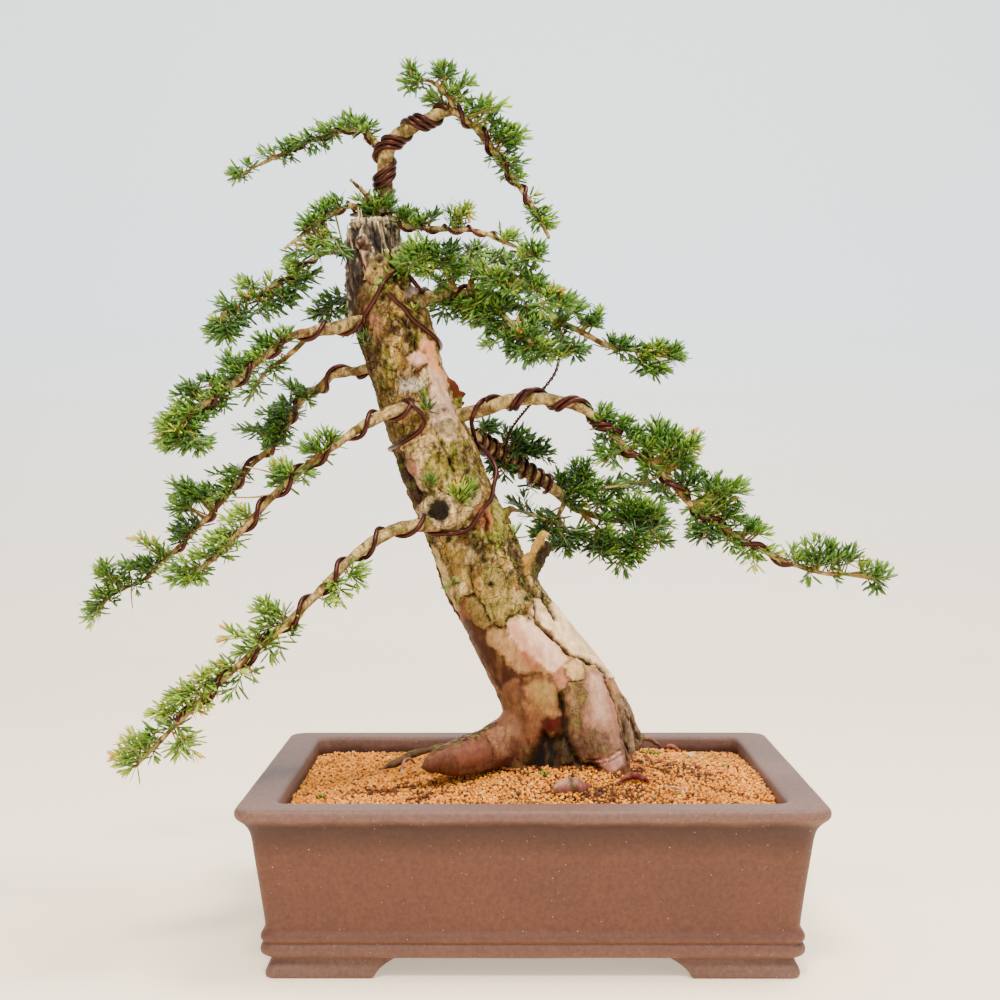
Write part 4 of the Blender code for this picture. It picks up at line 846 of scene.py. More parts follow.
cracks = dict(   # name: (half width, depth, line)
    upperDiagonal=(0.9, 2.6, [(-109.8, 513.5), (-102.3, 507.2), (-97.3, 499.7), (-93.0, 491.0),
        (-92.6, 482.9)]),
    wiggle=(0.6, 1.2, [(-117.4, 486.0), (-108.7, 484.8), (-103.7, 479.8), (-101.2, 478.5), (-93.6, 483.5)]),
    slit=(0.7, 1.5, [(-121.9, 451.0), (-118.8, 449.8), (-114.4, 452.3)]),
    midRight=(1.0, 2.8, [(-72.5, 406.7), (-69.1, 398.7), (-65.6, 390.6), (-63.3, 383.7)]),
    midLeft=(0.7, 1.3, [(-103.6, 404.5), (-95.5, 407.3), (-85.1, 411.9)]),
    leftEdge=(1.6, 2.2, [(-109.3, 397.6), (-103.6, 387.2), (-96.7, 376.8), (-91.0, 366.5)]),
    rightSlit=(0.9, 2.2, [(-34.1, 345.7), (-34.7, 334.1), (-31.2, 324.9)]),
    upright=(0.8, 2.0, [(-49.1, 306.5), (-48.5, 296.1), (-47.4, 283.4)]),
    leftFlake=(1.0, 1.8, [(-68.2, 281.2), (-63.4, 270.3), (-58.0, 255.3)]),
    topSplitA=(1.6, 4.5, [(-122, 592), (-118, 575), (-112, 556), (-108, 545)]),
    topSplitB=(1.2, 3.5, [(-131, 596), (-127, 578), (-124, 566)]),
    topSplitC=(1.3, 3.5, [(-147, 590), (-143, 570), (-137, 553), (-136, 540)]))
smoothPatches = ("orangeKnotPlate", "pinkPlate", "paleStrip", "pinkShield", "redScrap")
patches = dict(   # name: (height, softness, colour, strength, outline)
    orangeKnotPlate=(0.8, 1.2, "#dd9468", 0.9, [(-86.6, 492.9), (-78.6, 489.3), (-74.9, 470), (-66, 455),
        (-70, 451), (-83.6, 472.2), (-90.9, 481)]),
    pinkPlate=(0.6, 1.2, "#d6a48c", 0.85, [(-101.9, 478.3), (-90.6, 484.2), (-82.4, 473.5), (-92, 469),
        (-99.7, 472.5)]),
    paleStrip=(0.3, 2.0, "#d3ac94", 0.85, [(-84, 474), (-74, 462), (-66.7, 448), (-58, 424.9), (-61, 410),
        (-74, 412), (-83, 430), (-84, 440.5), (-79.4, 455.0), (-83, 466)]),
    whiteSmear=(0.0, 7.0, "#d9cfb8", 0.6, [(-108.7, 458.5), (-93.7, 459.8), (-83.7, 457.2), (-88.7, 451.0),
        (-106.3, 449.8)]),
    tanShield=(0.9, 1.0, "#c4a471", 0.75, [(-108.2, 407.9), (-97.8, 412.5), (-85.1, 414.6), (-80, 403.3),
        (-84, 391.8), (-93, 384), (-99.3, 392.1)]),
    pinkShield=(0.5, 1.2, "#b98a72", 0.7, [(-104, 398), (-97, 394), (-91, 385), (-87, 366), (-93, 372),
        (-101, 386)]),
    redScrap=(-0.6, 2.0, "#a8583c", 0.8, [(-38.1, 350.0), (-31.2, 348.8), (-31.3, 333.9), (-37.1, 334.8)]),
    collarScale=(1.5, 1.0, "#6f6a38", 0.75, [(-78, 424), (-70, 427), (-60, 425), (-60, 416), (-68, 413),
        (-77, 415)]))
# Seen at the trunk's foot: height, softness, colour, strength, flakiness, outline in that view
footPatches = dict(
    # leftEdge: a lighter strip down the trunk foot's left rim, a painted reflection of the pale backdrop
    leftEdge=(0.0, 4.0, "#9a6a4c", 0.8, 0.3, [(9, 10), (14, 12), (22, 28), (31, 42), (33, 48), (29, 50),
        (20, 36), (10, 20)]),
    stripe=(-0.8, 2.0, "#3a170a", 0.95, 0.2, [(13, 9), (19, 16), (25, 23), (30, 33), (36, 40), (40, 43),
        (41, 52), (36, 55), (30, 48), (23, 37), (16, 26), (13, 16)]),
    oliveTongue=(0.9, 0.8, "#7a6230", 0.85, 0.5, [(15, 7), (19, 6), (23, 10), (27, 16), (33, 19), (32, 21),
        (28, 19), (23, 22), (18, 18)]),
    tanPlates=(0.5, 1.5, "#a98056", 0.8, 0.3, [(24, 23), (32, 21), (36, 26), (42, 31), (46, 36), (42, 41),
        (37, 41), (31, 33), (25, 27)]),
    column=(0.3, 3.0, "#7c5236", 0.85, 0.15, [(31, 46), (36, 43), (40, 45), (41, 55), (41, 64), (37, 70),
        (32, 66), (30, 58)]),
    # bulge: olive bark with a soft painted highlight on its rounded face
    bulge=(0.6, 7.0, "#89723a", 0.55, 0.1, [(44, 45), (47, 43), (51, 44), (54, 48), (55, 52), (53, 55),
        (49, 56), (45, 54), (43, 50)]),
    seamShade=(-0.6, 2.5, "#51270f", 0.8, 0.2, [(38, 41), (43, 40), (48, 40), (53, 42), (54, 46), (50, 44),
        (45, 43), (41, 46), (38, 46)]),
    bulgeRust=(0.0, 6.0, "#7c4c32", 0.85, 0.25, [(41, 56), (46, 57), (51, 59), (56, 58), (56, 61), (49, 60),
        (47, 66), (44, 73), (41, 70), (40, 62)]),
    pinkBare=(-1.2, 1.3, "#e6b494", 0.92, 0.06, [(33, 17), (38, 15), (45, 17), (50, 21), (56, 30), (60, 34),
        (56, 38), (54, 40), (48, 36), (43, 33), (39, 29), (35, 24)]),
    pinkShine=(0.0, 6.0, "#e8c3a4", 0.7, 0.0, [(38, 17), (44, 18), (50, 24), (56, 32), (56, 36), (50, 33),
        (44, 27), (39, 22)]),
    pinkHaze=(0.0, 5.0, "#b76e58", 0.55, 0.0, [(34, 19), (37, 18), (42, 25), (47, 33), (43, 33), (37, 26)]),
    redBlush=(0.0, 4.0, "#8c4a36", 0.65, 0.1, [(37, 31), (42, 30), (47, 35), (49, 39), (43, 39), (38, 36)]),
    scarlet=(-0.6, 3.5, "#a4684e", 0.65, 0.1, [(51, 40), (56, 39), (60, 40), (59, 46), (56, 48), (53, 44)]),
    smallPlate=(0.9, 0.7, "#cda56e", 0.9, 0.25, [(58, 37), (63, 34), (67, 36), (67, 43), (62, 44),
        (59, 42)]),
    rightPlate=(1.6, 0.9, "#f2d09c", 0.95, 0.12, [(45, 8), (50, 12), (54, 9), (64, 14), (76, 24), (88, 36),
        (90, 44), (77, 42), (73, 38), (68, 35), (61, 33), (57, 29), (53, 24), (47, 18)]),
    plateTan=(0.0, 5.0, "#b08a56", 0.55, 0.3, [(60, 17), (66, 21), (74, 30), (79, 38), (74, 36), (67, 29),
        (60, 22)]),
    plateEdge=(0.4, 2.0, "#d8b48c", 0.8, 0.3, [(44, 6), (50, 9), (48, 18), (44, 17)]),
    lobe=(0.0, 6.0, "#986c56", 0.9, 0.22, [(68, 38), (76, 40), (80, 52), (83, 66), (84, 78), (78, 84),
        (70, 78), (62, 70), (60, 50)]),
    # lobeHighlight: a painted highlight on the lobe's left centre
    lobeHighlight=(0.0, 5.0, "#c29c84", 0.7, 0.15, [(69, 40), (75, 43), (77, 54), (76, 64), (71, 58), (69, 48)]),
    lobeFlaky=(0.9, 2.5, "#604a2a", 0.85, 0.6, [(57, 47), (62, 44), (67, 44), (69, 50), (66, 57), (67, 64),
        (63, 71), (61, 66), (59, 57)]),
    lobeBand=(0.3, 3.0, "#5c4634", 0.8, 0.6, [(63, 68), (70, 63), (76, 66), (80, 73), (74, 76), (66, 76)]),
    lobeTip=(0.0, 2.0, "#c08c7c", 0.85, 0.1, [(73, 78), (83, 74), (84, 80), (80, 83), (75, 82)]),
    darkRed=(-2.0, 3.0, "#3a0a05", 0.95, 0.15, [(48, 61), (51, 59), (54, 60), (57, 59), (58, 64), (56, 69),
        (53, 66), (50, 69), (47, 66)]),
    bloodRed=(0.0, 2.5, "#4a0a04", 0.8, 0.2, [(50, 61), (54, 60), (56, 63), (53, 65), (51, 65)]),
    # hollow: its near-black colour is painted shade in the recess under the bulge
    hollow=(-10.0, 4.0, "#0b0503", 0.97, 0.1, [(47, 66), (52, 68), (58, 67), (60, 74), (64, 80), (62, 88),
        (40, 88), (40, 80), (43, 74)]),
    smallRoot=(0.0, 2.5, "#43301c", 0.85, 0.5, [(57, 70), (61, 70), (64, 76), (64, 80), (58, 80), (56, 75)]),
    rootSkin=(0.0, 3.0, "#5f3828", 0.9, 0.32, [(1, 77), (8, 72), (15, 69), (23, 66), (29, 63), (36, 67),
        (42, 73), (37, 78), (28, 82), (18, 88), (4, 88), (-6, 84), (-4, 78)]),
    rootCrust=(0.6, 2.0, "#4a3824", 0.85, 1.0, [(-2, 73), (6, 71), (14, 67), (22, 65), (29, 61), (28, 64),
        (20, 68), (10, 71), (0, 76)]),
    rootBlush=(0.2, 2.5, "#74402e", 0.7, 0.1, [(9, 74), (17, 71), (25, 71), (27, 77), (22, 80), (13, 81)]),
    rootPeelA=(0.7, 1.6, "#96694a", 0.6, 0.35, [(24, 66), (30, 63), (35, 66), (34, 72), (36, 76), (30, 78),
        (28, 73)]),
    rootPeelB=(0.6, 1.8, "#8d6448", 0.5, 0.5, [(14, 82), (22, 81), (28, 79), (27, 81), (20, 84), (12, 84)]))
footCracks = dict(   # half width, depth, line in the same view
    lobeSide=(0.9, 3.0, [(76, 42), (80, 52), (83, 62), (85, 71), (86, 78)]),
    backSide=(0.6, 2.0, [(83, 49), (85, 57), (88, 65), (91, 70)]),
    columnGroove=(1.1, 0.6, [(39, 43), (39, 52), (40, 58), (41, 66), (43, 74)]),
    plateLine=(0.4, 1.2, [(49, 12), (52, 15), (55, 18)]),
    topSplit=(1.6, 5.0, [(50, 8), (52, 12), (54, 16)]),
    plateTop=(0.7, 2.0, [(33, 18), (34, 16), (38, 14.5), (44, 15), (46, 17)]),
    long=(0.6, 4.0, [(45, 9), (46, 18), (50, 22), (54, 26), (59, 32), (62, 33), (66, 34), (68, 35)]),
    longEnd=(1.0, 5.0, [(68, 35), (72, 36.5), (76, 40), (77, 42)]),
    upper=(0.8, 4.0, [(49, 9), (51, 12), (54, 17)]),
    seam=(0.5, 1.5, [(66, 35), (67, 39), (67, 43), (63, 44), (60, 44), (59, 47), (56, 49), (54, 44),
        (52, 41), (47, 40), (44, 41), (41, 42), (38, 41)]),
    tongue=(0.5, 1.8, [(14, 10), (15, 7), (19, 6.5), (23, 11), (26, 17), (30, 21), (32.5, 20)]),
    leftEdge=(0.9, 2.0, [(9, 10), (10, 16), (13, 20), (17, 25)]),
    groove=(2.2, 7.0, [(57, 50), (58, 58), (59, 66), (62, 74), (66, 80), (70, 83)]),
    ringLow=(0.5, 1.3, [(65, 77), (70, 78.5), (77, 77), (83, 73)]),
    ringLower=(0.4, 1.0, [(67, 79.5), (72, 80), (79, 78), (84, 75)]),
    peel=(0.4, 1.0, [(24, 66), (26, 71), (28, 77), (27, 80)]),
    peelTwo=(0.35, 0.8, [(33, 65), (32, 70), (34, 75), (38, 78)]))
# Seen at the middle of the trunk
middlePatches = dict(
    darkEdge=(-0.4, 3.0, "#33211a", 0.85, 0.9, [(9, 0), (14, 0), (16, 9), (20, 17), (23, 23), (20, 26),
        (15, 17), (11, 8)]),
    brownPlate=(0.5, 1.0, "#7b4c38", 0.8, 0.4, [(14, 0), (20, 0), (21, 6), (19, 9), (16, 5)]),
    leftLight=(0.3, 3.0, "#cdab74", 0.8, 0.3, [(28, 47), (33, 52), (37, 62), (40, 72), (44, 84), (40, 84),
        (35, 72), (31, 60), (27, 50)]),
    leftDark=(-0.3, 1.5, "#452518", 0.85, 0.7, [(26, 47), (28, 52), (30, 60), (33, 66), (31, 66), (28, 58),
        (26, 54)]),
    darkBand=(-1.2, 2.5, "#2b240e", 0.88, 1.0, [(50, 37), (54, 38), (58, 45), (62, 51), (61, 59), (58, 62),
        (54, 58), (51, 51), (49, 44)]),
    rightDark=(-1.0, 2.5, "#2b2116", 0.88, 1.0, [(70, 44), (76, 43), (78, 50), (79, 58), (83, 68), (88, 76),
        (84, 77), (79, 70), (75, 60), (71, 52)]),
    rustScrap=(-0.4, 1.2, "#a66a40", 0.85, 0.3, [(52, 26), (56, 23), (61, 24), (62, 30), (60, 38), (57, 38),
        (54, 32)]),
    rustCore=(-0.3, 1.5, "#80321c", 0.85, 0.2, [(56, 30), (60, 29), (61, 36), (60, 42), (57, 37)]),
    greenStrip=(0.0, 5.0, "#77792a", 0.6, 0.9, [(60, 20), (67, 22), (70, 32), (68, 44), (64, 52), (61, 42),
        (62, 30)]),
    orangeStrip=(0.0, 2.0, "#74462a", 0.75, 0.2, [(45, 76), (49, 76), (48, 82), (50, 89), (45, 89),
        (44, 82)]),
    knotStreak=(0.0, 1.5, "#a4481f", 0.85, 0.2, [(36, 30), (39, 29), (42, 30), (39, 34), (33, 36)]),
    knotCollar=(1.6, 2.0, "#c9ab78", 0.75, 1.0, [(20, 26), (27, 20), (33, 18), (40, 19), (48, 22), (53, 26),
        (47, 33), (40, 37), (30, 38), (22, 36)]),
    topOlive=(0.0, 6.0, "#7d7832", 0.55, 0.9, [(24, 0), (50, 0), (56, 10), (40, 14), (26, 12)]),
    basin=(0.0, 3.0, "#8a7a3e", 0.75, 0.9, [(60, 56), (70, 62), (74, 72), (80, 82), (76, 89), (62, 89),
        (56, 78), (55, 66)]))
middleCracks = dict(
    top=(0.8, 2.0, [(38.5, 0), (40, 3), (41, 6)]),
    rust=(0.9, 2.5, [(58, 29), (60, 34), (59, 39), (61, 44), (62.5, 46.5)]),
    tee=(0.5, 1.5, [(58.5, 20), (60, 23.5), (63, 23)]),
    upright=(0.6, 1.8, [(50, 57), (49.5, 62), (51, 69), (51.5, 75)]),
    tongueTop=(0.5, 1.8, [(44, 77), (46, 75.5), (50, 75), (54, 76), (57, 81), (60, 87), (61, 89)]),
    leftEdge=(0.9, 2.0, [(26, 48), (29, 57), (33, 66), (37, 76), (40, 84), (41, 89)]),
    smallRight=(0.6, 2.0, [(84, 76), (86, 81), (86, 88)]),
    farRight=(0.9, 3.0, [(91, 73), (93, 79), (96, 86)]),
    left=(0.8, 2.0, [(20, 16), (22, 20), (21, 25)]))
deadPatches = dict(
    # shadedLeftFace: painted shade down the dead top's left face
    shadedLeftFace=(-0.6, 2.5, "#261a17", 0.85, 0.9, [(6, 27), (11, 29), (13, 37), (17, 45), (18, 56), (15, 62),
        (12, 72), (8, 68), (6, 50)]),
    tornPink=(1.2, 1.2, "#b98a72", 0.85, 0.2, [(12, 31), (14, 28), (18, 27), (21, 30), (22, 35), (19, 39),
        (15, 37), (13, 34)]),
    tornHole=(-3.5, 1.5, "#2c130d", 0.9, 0.5, [(14, 32), (18, 31), (21, 33), (20, 37), (17, 36), (14, 35)]),
    tanStreak=(0.3, 1.2, "#b27a50", 0.85, 0.3, [(13, 36), (16, 38), (19, 43), (20, 51), (19, 56), (17, 52),
        (15, 45)]),
    paleHeart=(0.3, 3.0, "#a98e58", 0.8, 0.9, [(21, 41), (27, 36), (34, 39), (39, 46), (38, 55), (30, 60),
        (21, 60), (19, 50)]),
    scraps=(0.6, 1.5, "#97604e", 0.55, 0.6, [(17, 74), (22, 73), (24, 80), (21, 87), (17, 86)]),
    blush=(0.0, 4.0, "#a26f58", 0.5, 0.6, [(20, 80), (28, 82), (30, 94), (24, 96), (20, 90)]))
deadCracks = dict(
    splitA=(1.2, 4.0, [(24, 21), (26, 28), (30, 37)]),
    splitB=(0.9, 3.5, [(20, 19), (22, 26), (24, 33)]),
    splitC=(1.0, 4.0, [(29, 16), (33, 25), (38, 34)]),
    splitD=(0.8, 3.0, [(13, 20), (12, 27)]),
    splitE=(0.8, 3.0, [(34, 18), (37, 26), (40, 33)]),
    flap=(0.8, 2.5, [(38, 82), (46, 90), (52, 98), (55, 104)]))
eyes = [   # view, x, y, radius in mm
    ("deadTop", 28, 44, 3.4), ("deadTop", 25, 49, 2.4), ("deadTop", 33, 49, 2.6),
    ("deadTop", 30, 70, 4.0), ("deadTop", 22, 93, 2.4), ("trunkMiddle", 52, 42.5, 3.2),
    ("trunkMiddle", 57.5, 55, 4.4), ("trunkMiddle", 54, 46.5, 2.4), ("trunkMiddle", 61.5, 68.5, 3.4),
    ("trunkMiddle", 73, 63, 3.2), ("trunkMiddle", 81, 76.5, 3.8), ("trunkMiddle", 38, 43.5, 4.0),
    ("trunkMiddle", 67, 59, 2.4), ("trunkMiddle", 43, 16, 3.0), ("trunkFoot", 26, 2, 3.2),
    ("trunkFoot", 43, 16.5, 2.4)]
cutFace = dict(view="picture", x=43.9, y=51.0, radius=9.4)
viewPatches = dict(deadTop=deadPatches, trunkFoot=footPatches, trunkMiddle=middlePatches)
viewCracks = dict(deadTop=deadCracks, trunkFoot=footCracks, trunkMiddle=middleCracks)
knots = [   # x, z, radius, how far it stands out
    (-101.1, 491.6, 4.5, 1.0), (-85.9, 482.2, 2.6, -2.0), (-98.1, 469.1, 4.5, 1.4),
    (-71.2, 434.7, 4.2, 1.0), (-113.6, 499.1, 4, 0.8), (-123.4, 559.6, 9, 3.0),
    (-119.8, 531.0, 8, 2.6), (-137.3, 571.2, 7, 3.4), (-109, 543, 7, 2.4), (-46.2, 333.0, 5, 1.6),
    (-43.9, 318.0, 4, 1.5), (-38.1, 311.1, 4.5, 1.8), (-32.4, 291.4, 4.5, 1.6),
    (-16.3, 299.5, 4.5, 1.6), (-64.6, 330.7, 6, 2.0), (-3.0, 280.4, 4.5, 1.6),
    (-54.1, 395.2, 5.5, 1.8), (-79.4, 407.9, 3.6, 1.0), (-52, 384, 4.5, 1.5), (-1.4, 263.4, 3, 1.0),
    (-41, 342, 4.5, 2.0), (-40, 326, 4.5, 2.0)]


def trunkCore():
    # The leaning trunk's body: level rings from the broken top down into the soil
    core = dict(columns=96, rows=150, topJag=13.0)
    last = len(trunkPlaces) - 1

    def placeOf(u, v):
        i = (1 - v) * last
        low = min(int(i), last - 1)
        share = i - low
        x, y, z = trunkPlaces[low] * (1 - share) + trunkPlaces[low + 1] * share
        half = trunkWidths[low] * (1 - share) + trunkWidths[low + 1] * share
        angle = 2 * math.pi * u
        reach = trunkReach(z, angle, half)
        top = max(0.0, (z - 560) / 34)
        z += top * core["topJag"] * noise.noise(Vector((3 * math.cos(angle), 3 * math.sin(angle), 1)))
        return Vector((x + reach * math.cos(angle), y + reach * math.sin(angle), z))

    return meshOf(wrappedGrid(core["columns"], core["rows"], placeOf), "trunkCore")


def joined(meshes, name):
    bm = bmesh.new()
    for mesh in meshes:
        bm.from_mesh(mesh)
    return meshOf(bm, name)


def fusedTrunk():
    # Trunk, roots, stubs and branch collars grown together into one skin
    fuse = dict(voxel=2.12, rootSides=16, collar=26.0, collarFlare=1.7, smoothing=5)
    strands = []
    for route in list(roots.values()) + list(stubs.values()):
        places, radii, _, _ = smoothRoute(route, 3)
        strands.append((places, radii))
    for limb in limbs.values():
        places, radii = limb.stretch(0, min(fuse["collar"], limb.leafyRun))
        flare = np.linspace(fuse["collarFlare"], 0.98, len(places)) ** 1.5
        strands.append((places, radii * flare))
    mesh = joined([trunkCore(), sweptMesh(strands, fuse["rootSides"])], "trunk")

    def setUp(passing):
        remesh = passing.modifiers.new("fuse", "REMESH")
        remesh.mode = "VOXEL"
        remesh.voxel_size = fuse["voxel"]
        smooth = passing.modifiers.new("settle", "SMOOTH")
        smooth.factor = 0.5
        smooth.iterations = fuse["smoothing"]

    return evaluatedMesh(mesh, setUp)


def nearRoute(points, route):
    # Distance of points from a route's surface, below 0 inside it
    places, radii, _, _ = smoothRoute(route, 6)
    best = np.full(len(points), 1e6)
    for place, radius in zip(places, radii):
        best = np.minimum(best, np.linalg.norm(points - place, axis=1) - radius)
    return best


def onPlane(view, line):
    return [pictureFlat(view, x, y) for x, y in line]


def crackLines():
    # Every crack as (half width, depth, line on the front plane)
    return list(cracks.values()) + [(halfWidth, depth, onPlane(view, line))
                                    for view, found in viewCracks.items()
                                    for halfWidth, depth, line in found.values()]


def sharpLines():
    # Every line on the trunk's front that a crack or a plate's edge follows
    edges = [row[-1] for row in patches.values() if row[1] <= sharpEdge]
    edges += [onPlane(view, row[-1]) for view, found in viewPatches.items()
              for row in found.values() if row[1] <= sharpEdge]
    return [line for _, _, line in crackLines()] + [outline + outline[:1] for outline in edges]


def refined(mesh, lines, reach, fibresFrom=1000):
    # Finer faces within reach of the lines, on the front only, and in the dead top
    points, normals = pointsOf(mesh), normalsOf(mesh)
    flat = frontView(points)
    near = np.zeros(len(points), bool)
    for line in lines:
        near |= lineDistance(flat, line) < reach
    near &= normals[:, 1] < 0.25
    near |= points[:, 2] > fibresFrom
    bm = bmesh.new()
    bm.from_mesh(mesh)
    chosen = [e for e in bm.edges if near[e.verts[0].index] and near[e.verts[1].index]]
    bmesh.ops.subdivide_edges(bm, edges=chosen, cuts=1, use_grid_fill=True)
    bmesh.ops.triangulate(bm, faces=[f for f in bm.faces if len(f.verts) > 4])
    return meshOf(bm, "trunk")


def skinShare(routes, name, points, spread):
    # 1 on a root's or stub's own surface, 0 beyond the spread
    return 1 - ease(nearRoute(points, routes[name]), 0, spread)


def carveTrunk(mesh):
    # Moves the skin in and out along its normals, and paints it at the same places
    points, normals = pointsOf(mesh), normalsOf(mesh)
    relief = dict(lump=1.5, plate=1.0, plateCrack=1.2, scale=0.8, curl=0.9, speck=0.5, deadFibre=1.9,
                  rootRipple=0.5)
    flat = frontView(points)
    toEye = frontEye - points
    facing = (normals * toEye).sum(axis=1) / np.linalg.norm(toEye, axis=1)
    front = ease(facing, 0.0, 0.25)
    z = points[:, 2]
    lean = z - 0.35 * (flat[:, 0] + 125)
    dead = ease(lean + field(points, 14, 12) * 5, 548, 562) * (1 - ease(z, 603, 608))
    leftDead = ease(-flat[:, 0] - 0.12 * (560 - z), 138, 143) * ease(z, 500, 520) * (1 - ease(z, 560, 575))
    dead = np.maximum(dead, leftDead)
    rootZone = 1 - ease(z, 205, 255)
    lower = 1 - ease(z + field(points, 30, 12) * 10, 236, 262)

    plateTone, plateRim = cells(points, 22, 1, (1, 1, 1.9))
    scaleTone, scaleRim = cells(points, 8, 2, (1, 1, 1.5))
    flaky = np.clip(1.0 + field(points, 45, 9) * 0.5, 0.45, 1) * (1 - 0.65 * lower)
    rise = relief["lump"] * field(points, 34, 5, (1, 1, 1.7)) * (1 - 0.4 * lower)
    rise += relief["plate"] * (plateTone - 0.4) * flaky * ease(plateRim, 0.02, 0.10)
    rise -= relief["plateCrack"] * flaky * (1 - ease(plateRim, 0.0, 0.09))
    rise += relief["scale"] * (scaleTone - 0.5) * flaky * ease(scaleRim, 0.0, 0.15)
    knotty = ease(z, 490, 515) * (1 - dead)
    rise += (1.6 * field(points, 8, 21) + 1.0 * field(points, 4.5, 22)) * knotty
    sheared = points + np.column_stack([0.26 * (z - 560), z * 0, z * 0])
    fibre = ridged(sheared, 4.4, 6, (1, 1, 9)) + 0.8 * ridged(sheared, 2.4, 7, (1, 1, 8))
    rise += relief["deadFibre"] * fibre * dead
    rise += relief["rootRipple"] * field(points, 7, 8, (1.6, 1.6, 1)) * rootZone
    rise += relief["speck"] * field(points, 3.6, 15) * flaky
    curls = ridged(points, 7.5, 25, (1, 1, 1.5))
    rise += relief["curl"] * (curls - 0.5) * flaky

    colours = layered(plain(points, "#8a6c32"), [
        (ease(field(points, 26, 10), 0.0, 0.6) * 0.8, "#66611f"),
        (ease(field(points, 10, 11, (1, 1, 1.6)), 0.15, 0.6) * 0.75, "#452a10"),
        (ease(field(points, 5, 23, (1, 1, 1.8)), 0.3, 0.6) * 0.65, "#cfae72"),
        (ease(plateTone, 0.72, 0.78) * 0.4, "#8a5a34"),
        ((1 - ease(plateTone, 0.12, 0.18)) * 0.6, "#452810"),
        (ease(scaleTone, 0.8, 0.9) * 0.55, "#d8bb84"),
        ((1 - ease(scaleRim, 0.0, 0.08)) * 0.6, "#26180a"),
        (ease(curls, 0.6, 0.95) * 0.4 * flaky, "#dcc08a"),
        (lower * 0.9, "#9f7444"),
        (lower * ease(field(points, 22, 13), -0.1, 0.5) * 0.7, "#a96e50"),
        (lower * ease(field(points, 16, 14), 0.2, 0.7) * 0.5, "#7a4a22"),
        (ease(-normals[:, 0], 0.2, 0.85) * 0.75, "#38200f"),     # shaded left flank
        ((1 - ease(z, 160, 195)) * 0.85, "#4a2a16")])            # darker foot: painted shade where it meets the soil, and damp bark
    deadTone = ease(fibre, 0.25, 1.5)
    deadColour = tinted(plain(points, "#241a14"), deadTone, "#a8937a")
    rim = ease(z + 6 * field(points, 5, 24), 582, 596)
    deadColour = tinted(deadColour, np.maximum(rim * 0.6, ease(deadTone, 0.6, 0.95) * 0.75), "#e2cda2")
    colours = colours + (deadColour - colours) * (dead * 0.96)[:, None]
    flaky *= 1 - dead

    foot = (1 - ease(z, 178, 215)) * 0.9
    aboveBark = ease(z, 268, 288) * 0.92
    for routes, name, code, spread, rough, reach in (
            (roots, "leftRoot", "#74462f", 5, 0.1, foot), (roots, "knottyRoot", "#8c745c", 5, 0.5, foot),
            (roots, "thinRoot", "#59412e", 3, 0.6, foot), (roots, "backRoot", "#86705a", 5, 0.6, foot),
            (roots, "sideRoot", "#6d523e", 3, 0.8, foot), (stubs, "paleJin", "#ab843f", 2, 0.35, aboveBark),
            (stubs, "darkJin", "#20140e", 3, 0.45, aboveBark),
            (stubs, "barkTongue", "#6d6a22", 3, 1.0, 0.92), (stubs, "greyKnot", "#80706c", 1, 0.3, 0.92),
            (stubs, "sideStub", "#3a2612", 2, 0.8, 0.92)):
        share = skinShare(routes, name, points, spread) * reach
        colours = tinted(colours, share, code)
        flaky = flaky + (rough - flaky) * share

    plane = np.column_stack([flat, flat[:, 0] * 0])
    wobble = (field(plane, 8, 19)[:, None] * 1.1
              + np.column_stack([field(plane, 3, 32), field(plane, 3, 33)]) * 0.8)
    edgeHere = ease(field(plane, 11, 34), -0.25, 0.35)
    crackSway = 1.2 + 0.5 * field(np.column_stack([flat, flat[:, 0]]), 9, 18)
    mottle = 1 - 0.35 * ease(field(points, 6, 35, (1, 1, 1.5)), 0.1, 0.6)

    def paint(outline, height, soft, code, strength, rough):
        nonlocal rise, colours, flaky
        share = insideShare(flat + wobble, outline, soft) * front
        rise = rise * (1 - share * (1 - rough) * 0.7) + height * share
        colours = tinted(colours, share * strength * mottle, code)
        flaky = flaky + (rough - flaky) * share * strength
        if soft <= sharpEdge:
            # Painted shade: a dark line round a sharp plate's edge, where its lip casts a shadow
            edge = np.exp(-(lineDistance(flat + wobble, list(outline) + [outline[0]]) / 0.6) ** 2)
            colours = tinted(colours, edge * edgeHere * front * 0.75, "#2c190d")

    for name, (height, soft, code, strength, outline) in patches.items():
        paint(outline, height, soft, code, strength, 0.15 if name in smoothPatches else 0.75)
    for view, found in viewPatches.items():
        for height, soft, code, strength, rough, outline in found.values():
            paint(onPlane(view, outline), height, soft, code, strength, rough)
    for halfWidth, depth, line in crackLines():
        width = np.maximum(halfWidth * crackSway, 0.35)
        cut = np.exp(-(lineDistance(flat + wobble * 0.6, line) / width) ** 2) * front
        rise -= depth * cut
